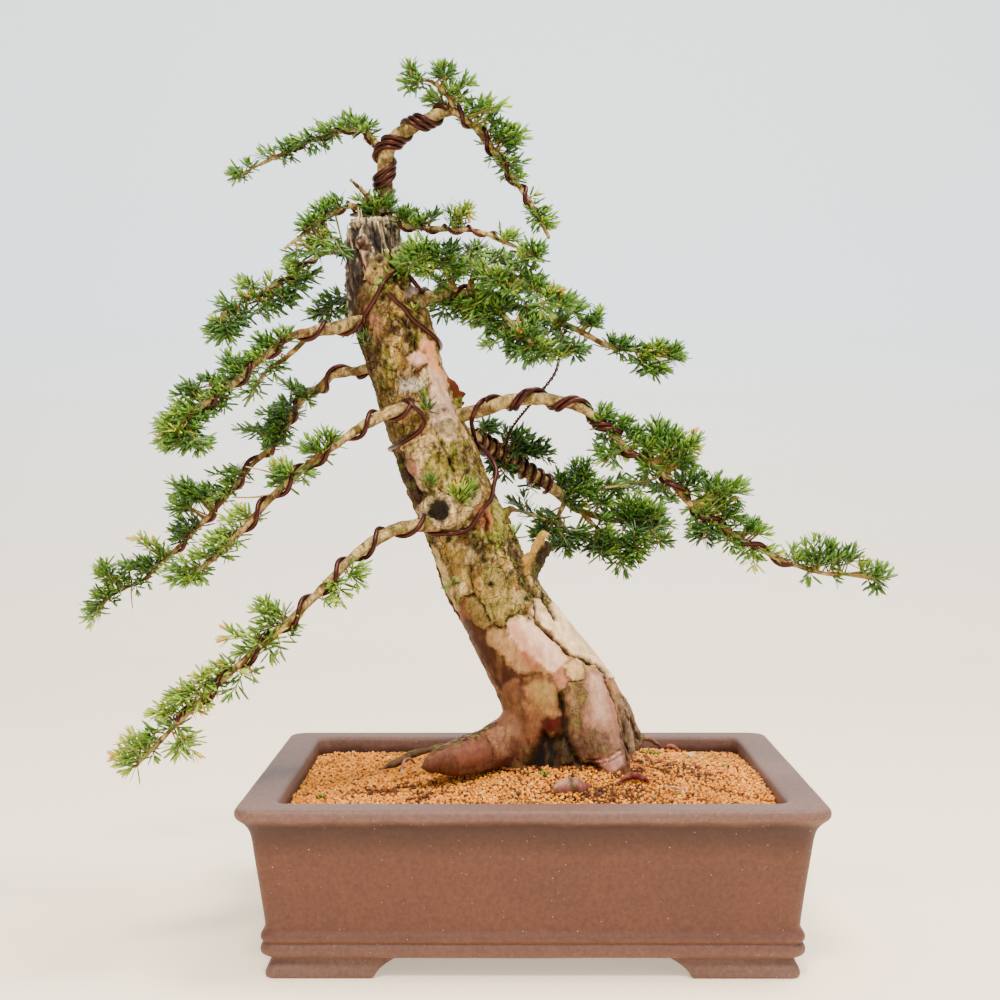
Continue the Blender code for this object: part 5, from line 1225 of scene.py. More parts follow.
        # Painted shade in the cracks: the deeper the crack, the darker, up to near black
        colours = tinted(colours, np.minimum(cut * 1.3, 0.96) * min(1, 0.18 + depth / 3.6), "#160d07")
    for x, level, radius, lift in knots:
        away = np.hypot(flat[:, 0] - x, flat[:, 1] - level) / radius
        lump = np.exp(-away ** 2 * 1.2) * front
        rings = np.cos(np.clip(away, 0, 1.5) * 9) * np.exp(-away ** 2) * front
        rise += lift * lump + 0.6 * rings
        colours = tinted(colours, np.clip(lump * 0.75 - rings * 0.45, 0, 0.85), "#2a1c0b")
    for view, x, y, radius in eyes:
        spot = pictureFlat(view, x, y)
        away = np.hypot(flat[:, 0] - spot[0], flat[:, 1] - spot[1]) / radius + 0.15 * field(points, 4, 36)
        pit, ring = np.exp(-(away / 0.62) ** 2) * front, np.exp(-((away - 1.1) / 0.3) ** 2) * front
        rise += 1.0 * ring - 1.8 * pit
        colours = tinted(tinted(colours, ring * 0.5, "#a38a4c"), np.minimum(pit * 1.1, 0.94), "#150e06")
    spot = pictureFlat(cutFace["view"], cutFace["x"], cutFace["y"])
    away = np.hypot(flat[:, 0] - spot[0], (flat[:, 1] - spot[1]) * 0.93) + 0.8 * field(points, 5, 37)
    disc = (1 - ease(away, cutFace["radius"] - 0.8, cutFace["radius"] + 0.3)) * front
    brim = np.exp(-((away - cutFace["radius"] - 1.4) / 1.3) ** 2) * front
    rise = rise * (1 - disc) - 1.0 * disc + 1.3 * brim * (0.6 + 0.6 * field(points, 4, 38))
    colours = tinted(tinted(colours, brim * 0.7, "#d9c193"), disc * 0.98, "#0b0705")
    flaky = flaky + (0.75 - flaky) * disc
    setPoints(mesh, points + normals * rise[:, None])
    setTint(mesh, np.clip(colours, 0, 1))
    setNumber(mesh, "flaky", np.clip(flaky, 0, 1))
    return dead > 0.5


trunkMesh = refined(refined(fusedTrunk(), sharpLines(), 1.5, 535), sharpLines(), 0.6)
deadParts = carveTrunk(trunkMesh)
trunkTree = BVHTree.FromPolygons([v.co.copy() for v in trunkMesh.vertices],
                                 [tuple(p.vertices) for p in trunkMesh.polygons])
print("step 4: trunk", len(trunkMesh.vertices))
corners = [tuple(p.vertices) for p in trunkMesh.polygons]
finishPiece("trunkBark", trunkMesh, [bark, deadwood], ["trunk"])
trunkMesh.polygons.foreach_set("material_index", [int(deadParts[list(c)].mean() > 0.5) for c in corners])


# Bare branch wood

def barkTube(strands, seed, sides=12, base="#7d6840"):
    # Branch bark: a tube with scales, small lumps and leaf scars
    mesh = sweptMesh(strands, sides)
    points, normals = pointsOf(mesh), normalsOf(mesh)
    rise = 0.35 * field(points, 9, seed) + 0.25 * field(points, 3.5, seed + 1)
    setPoints(mesh, points + normals * rise[:, None])
    tone, rim = cells(points, 6, seed, (1.6, 1, 1))
    setTint(mesh, layered(plain(points, base), [
        (ease(field(points, 12, seed + 2), 0.1, 0.6) * 0.7, "#615a22"),
        (ease(tone, 0.7, 0.8) * 0.6, "#5c3d1c"),
        ((1 - ease(tone, 0.15, 0.25)) * 0.6, "#cbab70"),
        ((1 - ease(rim, 0.0, 0.1)) * 0.45, "#38240f"),
        (ease(-normals[:, 2], 0.2, 0.9) * 0.3, "#4d3519")]))     # shaded underside
    setNumber(mesh, "flaky", np.full(len(points), 0.75))
    return mesh


def buildBranches():
    strands = []
    for limb in limbs.values():
        if limb.leafyRun > 24:
            strands.append(limb.stretch(20, limb.leafyRun + 3))
    mesh = barkTube(strands, 31)
    finishPiece("branchWood", mesh, [bark], ["trunk"])


def buildDeadTop():
    # Splinters standing on the rim and face of the broken top
    top = dict(count=70, low=548, high=590, seed=4, radius=(0.9, 2.4), length=(12, 34), rim=578,
               inRim=(0.25, 0.9), onFace=(0.88, 0.97), lean=-0.12, leanSpread=(0.05, 0.06), rise=0.2,
               highest=606, taper=(0.1, 0.45), flatness=(0.4, 0.9))
    dice = random.Random(top["seed"])
    bm = bmesh.new()
    for _ in range(top["count"]):
        angle = dice.uniform(0, 2 * math.pi)
        z = dice.uniform(top["low"], top["high"])
        x, y, half = trunkStation(z)
        inward = dice.uniform(*(top["inRim"] if z > top["rim"] else top["onFace"]))
        reach = trunkReach(z, angle, float(half)) * inward
        length = dice.uniform(*top["length"])
        radius = dice.uniform(*top["radius"])
        swayX, swayY = [dice.uniform(-spread, spread) for spread in top["leanSpread"]]
        ahead = Vector((top["lean"] + swayX, swayY, 1))
        turn = ahead.to_track_quat("Z", "X").to_matrix().to_4x4()
        place = Vector((x + reach * math.cos(angle), y + reach * math.sin(angle),
                        z + length * top["rise"]))
        if place.z + length * 0.5 > top["highest"]:
            continue
        bmesh.ops.create_cone(bm, cap_ends=True, segments=5, radius1=radius,
                              radius2=radius * dice.uniform(*top["taper"]), depth=length,
                              matrix=Matrix.Translation(place) @ turn
                              @ Matrix.Diagonal((1, dice.uniform(*top["flatness"]), 1, 1)))
    mesh = meshOf(bm, "splinters")
    points = pointsOf(mesh)
    tone = ease(field(points, 6, 41), -0.7, 0.7)
    colours = tinted(plain(points, "#4a3a2a"), tone, "#cdb88c")
    setTint(mesh, colours)
    finishPiece("deadTopSplinters", mesh, [deadwood], ["trunk"], smooth=False)


def buildFlake():
    # Curled scrap of dead bark behind the trunk, its free edge torn
    flake = dict(y=9.0, thick=1.2, outline=[
        (-88, 478), (-80, 477), (-74, 474), (-71, 468), (-68, 463), (-63, 460), (-60, 456),
        (-59, 452), (-55.5, 451), (-53.5, 449), (-56, 446), (-58, 443.5), (-54.5, 442), (-56, 439.5),
        (-59.5, 438.5), (-57, 436.5), (-53, 434.6), (-52.5, 432.6), (-57, 433), (-62, 433.5),
        (-66, 434), (-72, 438), (-80, 446)])
    bm = bmesh.new()
    face = bm.faces.new([bm.verts.new((x, flake["y"], z)) for x, z in flake["outline"]])
    made = bmesh.ops.extrude_face_region(bm, geom=[face])["geom"]
    for vert in made:
        if isinstance(vert, bmesh.types.BMVert):
            vert.co.y += flake["thick"]
    bmesh.ops.triangulate(bm, faces=bm.faces)
    bmesh.ops.subdivide_edges(bm, edges=bm.edges, cuts=1, use_grid_fill=True)
    for vert in bm.verts:
        reach = max(0.0, vert.co.x + 74)
        vert.co.y += -0.02 * reach ** 2 + 0.8 * noise.noise(vert.co / 5)
    bmesh.ops.recalc_face_normals(bm, faces=bm.faces)
    mesh = meshOf(bm, "flake")
    points = pointsOf(mesh)
    colours = tinted(plain(points, "#7c3f26"),
                     ease(field(points, 7, 51), -0.2, 0.5) * 0.7, "#4c2818")
    setTint(mesh, colours)
    finishPiece("looseBarkFlake", mesh, [bark], ["trunk"], smooth=False)


buildBranches()
buildDeadTop()
buildFlake()
print("step 5: bare wood")


# Wires

wireTable = {
    "leader_a": dict(radius=2.0, coils=[("leader", 0.20, 0.90, 30, 0)]),
    "leader_b": dict(radius=2.0, coils=[("leader", 0.20, 0.52, 30, 62)]),
    "leader_c": dict(radius=2.0, coils=[("leader", 0.20, 0.52, 30, 124)], node="leader_b"),
    "left_1": dict(radius=1.4, coils=[("left_1", 0.12, 0.80, 26, 60)]),
    "left_2_right_1": dict(radius=1.4, coils=[("left_2", 0.72, 0.16, 24, 200),
                                              ("right_1", 0.16, 0.80, 24, 40)],
                           trunk=[(601, 150, 8), (603, 100, 16), (602, 40, 16), (600, 0, 6)]),
    "left_3": dict(radius=1.4, coils=[("left_3", 0.14, 0.80, 26, 90)]),
    "left_5_right_2": dict(radius=2.0, coils=[("left_5", 0.84, 0.14, 36, 250),
                                              ("right_2", 0.12, 0.46, -34, 100)],
                           trunk=[(505, -150, 0), (515, -125, 0), (529, -100, 0),
                                  (541, -80, 0), (548, -55, 0), (546, -25, 0)]),
    "left_6": dict(radius=2.0, coils=[("left_6", 0.84, 0.10, 42, 70)],
                   trunk=[(478, 128, 0), (483, 90, 0), (486, 45, 0), (489, 5, 0), (496, -30, 0),
                          (510, -58, 0), (523, -73, 0), (531, -83, 0)]),
    "left_7_right_3": dict(radius=2.0, coils=[("left_7", 0.82, 0.10, 38, 230),
                                              ("right_3", 0.10, 0.88, -38, 200)],
                           trunk=[(441, -108, 6), (436, -92, 8), (425, -89, 4), (414, -112, 0),
                                  (406, -145, 0), (402, 175, 0), (400, 120, 0), (404, 70, 0),
                                  (408, 30, 0)]),
    "right_3_second": dict(radius=2.0, coils=[("right_3", 0.14, 0.44, -38, 71)]),
    "left_8_right_4": dict(radius=2.0, coils=[("left_8", 0.86, 0.10, 42, 180),
                                              ("right_4", 0.16, 0.60, 9.5, 250)],
                           trunk=[(334, -124, 0), (335, -92, 0), (345, -71, 0), (353, -58, 0),
                                  (361, -38, 0), (373, -18, 2), (384, -8, 7), (394, -2, 7),
                                  (406, 0, 0)]),
}
layingRule = dict(gap=0.15, stepsATurn=16, rounds=8, bridgeStep=5.0, spread=5)
capsules = dict(starts=[], ends=[], radii=[])


def addCapsules(places, radii, every=2):
    kept = list(range(0, len(places), every))
    for a, b in zip(kept, kept[1:]):
        capsules["starts"].append(places[a])
        capsules["ends"].append(places[b])
        capsules["radii"].append(max(radii[a], radii[b]))


def onTrunk(z, angle, lift, radius):
    # A point of wire lying on the carved bark
    x, y, half = trunkStation(z)
    turn = math.radians(angle)
    out = Vector((math.cos(turn), math.sin(turn), 0))
    start = Vector((x, y, z)) + out * 150
    hit, _, _, _ = trunkTree.ray_cast(start, -out)
    base = hit if hit else Vector((x, y, z)) + out * trunkReach(z, turn, float(half))
    return base + out * (radius * 1.25 + layingRule["gap"] + lift)


def coilSpots(limb, first, last, pitch, phase, radius):
    turns = abs((last - first) * limb.length / pitch)
    count = max(2, round(turns * layingRule["stepsATurn"]))
    spots = []
    for i in range(count + 1):
        share = first + (last - first) * i / count
        place, wood, (_, side, across) = limb.at(share * limb.length)
        angle = math.radians(phase) + 2 * math.pi * abs(share - first) * limb.length / pitch
        reach = wood + radius + layingRule["gap"]
        spots.append(place + reach * (side * math.cos(angle) + across * math.sin(angle)))
    return spots


def laidWire(spots, radius):
    # Presses the wire out of the wood and the wires laid before it
    starts, ends = np.array(capsules["starts"]), np.array(capsules["ends"])
    widths, along = np.array(capsules["radii"]), ends - starts
    squares = np.maximum((along ** 2).sum(axis=1), 1e-9)
    for _ in range(layingRule["rounds"]):
        for i, spot in enumerate(spots):
            here = np.array(spot)
            t = np.clip(((here - starts) * along).sum(axis=1) / squares, 0, 1)
            away = here - starts - along * t[:, None]
            distance = np.linalg.norm(away, axis=1)
            lack = widths + radius + layingRule["gap"] - distance
            worst = int(lack.argmax())
            if lack[worst] > 0:
                spots[i] = spot + Vector(away[worst] / max(distance[worst], 1e-6) * lack[worst])
            nearest, normal = trunkTree.find_nearest(spots[i], radius * 3)[:2]
            if nearest is not None:
                outside = (spots[i] - nearest).dot(normal)
                if outside < radius:
                    spots[i] = spots[i] + normal * (radius + 0.1 - outside)
    return spots


def buildWires():
    for limb in list(limbs.values()) + [limb for _, limb in twigLimbs]:
        addCapsules(limb.places, limb.radii)
    for name, wire in wireTable.items():
        radius = wire["radius"]
        ends = [coilSpots(limbs[coil[0]], *coil[1:], radius) for coil in wire["coils"]]
        middle = [onTrunk(z, angle, lift, radius) for z, angle, lift in wire.get("trunk", [])]
        last = ends[1] if len(ends) > 1 else []
        if middle:
            places = smoothRoute([ends[0][-1]] + middle + last[:1], layingRule["bridgeStep"])[0]
            middle = [Vector(p) for p in (places[1:-1] if last else places[1:])]
        spots = laidWire(ends[0] + middle + last, radius)
        places = smoothRoute(spots, 1.5)[0]
        for _ in range(layingRule["spread"]):
            places[1:-1] = places[1:-1] * 0.5 + (places[:-2] + places[2:]) * 0.25
        addCapsules(places, [radius] * len(places), 3)
        mesh = sweptMesh([(places, [radius] * len(places))], 10)
        finishPiece("wire_" + name, mesh, [wireFinish], ["wire_" + wire.get("node", name)])


def buildGuyWire():
    # Two thin strands twisted together from one right-hand branch down to the next
    guy = dict(radius=0.75, apart=0.8, pitch=10.0)
    top, foot = limbs["right_2"], limbs["right_4"]
    high, low = top.at(0.66 * top.length)[0], foot.at(0.34 * foot.length)[0]
    route = [high + Vector((0, -6.5, -1)), high + Vector((-6, -14, -14)), Vector((22, -28, 468)),
             Vector((12, -34, 453)), Vector((4, -28, 444)), low + Vector((8, -24, 24)),
             low + Vector((2, -9.5, 4))]
    places, _, runs, _ = smoothRoute(route, 1.2)
    frames = carriedFrames(places)
    strands = []
    for phase in (0, math.pi):
        line = []
        for place, run, (_, side, across) in zip(places, runs, frames):
            angle = phase + 2 * math.pi * run / guy["pitch"]
            line.append(Vector(place) + guy["apart"] * (side * math.cos(angle)
                                                        + across * math.sin(angle)))
        strands.append((np.array(line), [guy["radius"]] * len(line)))
    finishPiece("guyWireTwist", sweptMesh(strands, 6), [tieFinish], ["guy_wire"])


buildWires()
buildGuyWire()
print("step 6: wires")


# Leafy sprays

needleRule = dict(length=(14.5, 18.0), width=2.1, thick=0.7, spacing=1.55, lean=0.62, tipReach=8.0,
                  shortestStem=5.0, nearWood=5.0, spread=0.45, twinFront=0.3)
habit = dict(left_8=(0.35, 0.1, 0.2), right_3=(0.6, 0.1, 0.0), right_4=(1, 1, -0.08), right_2=(1, 1, -0.06),
             leader=(1, 0.6, 0.0), left_7=(0.9, 0.4, 0.03))   # share of back twins, front twins, more youth
sideShare = dict(left_8=0.0, right_3=0.0, left_7=0.2, left_1=0.3, leader=0.3, left_6=0.35, left_5=0.4,
                 right_1=0.9, right_2=1.0, right_4=0.8)


def needleTemplate():
    # A flat leaf along +Z, 1 long, with even sides, a blunt point and a raised rib: 12 triangles
    stations = {0: (0.0, 0), 1: (0.2, 1.0), 2: (0.78, 1.05), 3: (1.0, 0)}
    bm = bmesh.new()
    bmesh.ops.create_uvsphere(bm, u_segments=3, v_segments=3, radius=0.5)
    for vert in bm.verts:
        z, wide = stations[round(3 * (1 - math.acos(max(-1, min(1, vert.co.z * 2))) / math.pi))]
        flat = math.hypot(vert.co.x, vert.co.y)
        if flat > 1e-6:
            vert.co.x *= 0.5 * wide / flat
            vert.co.y *= 0.58 * wide / flat
        vert.co.z = z
    bmesh.ops.triangulate(bm, faces=bm.faces)
    return meshOf(bm, "needle")


def repeatedMesh(template, matrices, name):
    # One mesh of many placed copies of the template, and the copy's number at each vertex
    shape = pointsOf(template)
    faces = np.array([tuple(p.vertices) for p in template.polygons])
    matrices = np.asarray(matrices, dtype=float)
    count = len(matrices)
    points = np.einsum("nij,vj->nvi", matrices[:, :3, :3], shape) + matrices[:, None, :3, 3]
    loops = (faces[None] + (np.arange(count) * len(shape))[:, None, None]).reshape(-1)
    corners = faces.shape[1]
    mesh = bpy.data.meshes.new(name)
    mesh.vertices.add(count * len(shape))
    mesh.vertices.foreach_set("co", points.astype(np.float32).ravel())
    mesh.loops.add(len(loops))
    mesh.loops.foreach_set("vertex_index", loops.astype(np.int32))
    mesh.polygons.add(count * len(faces))
    mesh.polygons.foreach_set("loop_start", (np.arange(count * len(faces)) * corners).astype(np.int32))
    mesh.update(calc_edges=True)
    mesh.validate()
    return mesh, np.repeat(np.arange(count), len(shape))


class Spray:
    # All the shoots of one branch: stems as strands, needles as placed copies
    def __init__(self, name, seed):
        self.name = name
        self.dice = random.Random(seed)
        self.stems, self.dryStems = [], []
        self.placed, self.young, self.bends = [], [], []

    def needle(self, place, aim, face, length, young):
        across = aim.cross(face).normalized()
        face = across.cross(aim).normalized()
        width = needleRule["width"] * self.dice.uniform(0.8, 1.1)
        self.placed.append([[face.x * needleRule["thick"], across.x * width, aim.x * length, place.x],
                            [face.y * needleRule["thick"], across.y * width, aim.y * length, place.y],
                            [face.z * needleRule["thick"], across.z * width, aim.z * length, place.z],
                            [0, 0, 0, 1]])
        self.young.append(young)
        self.bends.append(face * length * self.dice.uniform(-0.1, 0.04))

    def shoot(self, route, bare, young, flat=0.5, size=1.0):
        # A stem along the route with needles after its bare first part
        dice = self.dice
        places, _, runs, _ = smoothRoute(route, 1.4)
        frames = carriedFrames(places)
        length = runs[-1]
        radii = np.interp(runs, [0, length], [0.7 + length * 0.006, 0.5])
        thin = [*range(0, len(places) - 1, 2), len(places) - 1]
        self.stems.append(([places[i] for i in thin], radii[thin]))
        level = Vector((0, 0, 1))
        run, turn = bare, dice.uniform(0, 6.28)
        while run < length:
            i = min(int(np.searchsorted(runs, run)), len(places) - 1)
            ahead, side, across = frames[i]
            share = (run - bare) / max(length - bare, 1e-6)
            spin = side * math.cos(turn) + across * math.sin(turn)
            rank = ahead.cross(level)
            if rank.length > 0.2:
                rank = rank.normalized() * (1 if spin.dot(rank) > 0 else -1)
                spin = (spin * (1 - flat) + rank * flat).normalized()
            lean = needleRule["lean"] + 0.6 * share ** 2 + dice.uniform(-0.15, 0.15)
            aim = (spin + ahead * lean + level * 0.14).normalized()
            tone = young * (0.6 + 0.4 * share) + dice.uniform(-0.14, 0.14)
            self.needle(Vector(places[i]) + spin * 0.5, aim, ahead * 0.6 + level * 0.5 + spin * 0.1,
                        dice.uniform(*needleRule["length"]) * size * (1 - 0.25 * share ** 3), tone)
            run += needleRule["spacing"] * dice.uniform(0.7, 1.3)
            turn += 2.4
        ahead = frames[-1][0]
        for k in range(4):
            side = frames[-1][1] * math.cos(k * 1.9 + turn) + frames[-1][2] * math.sin(k * 1.9 + turn)
            self.needle(Vector(places[-1]), (ahead * 1.1 + side * 0.45).normalized(), side,
                        dice.uniform(8, 12.5) * size, young + 0.12)

    def finish(self, nodes, wood):
        parts = [barkTube(wood, 61, 10, "#5f4524")] if wood else []
        for strands, low, high in ((self.stems, "#7d6a34", "#6f8238"),
                                   (self.dryStems, "#b89a68", "#8f7448")):
            if strands:
                thin = sweptMesh(strands, 4)
                points = pointsOf(thin)
                setTint(thin, tinted(plain(points, low),
                                     ease(field(points, 20, 71), -0.2, 0.5) * 0.7, high))
                parts.append(thin)
        finishPiece("stems_" + self.name, joined(parts, "wood"), [bark], nodes)
        mesh, owner = repeatedMesh(needleTemplate(), self.placed, "needles")
        points = pointsOf(mesh)
        template = pointsOf(needleTemplate())
        along = np.tile(template[:, 2], len(self.placed))
        points += np.array([tuple(b) for b in self.bends])[owner] * (along ** 2)[:, None]
        setPoints(mesh, points)
        setNumber(mesh, "young", np.clip(np.array(self.young)[owner], 0, 1))
        setNumber(mesh, "along", along)
        finishPiece("needles_" + self.name, mesh, [needleFinish], nodes)
        return len(self.placed)


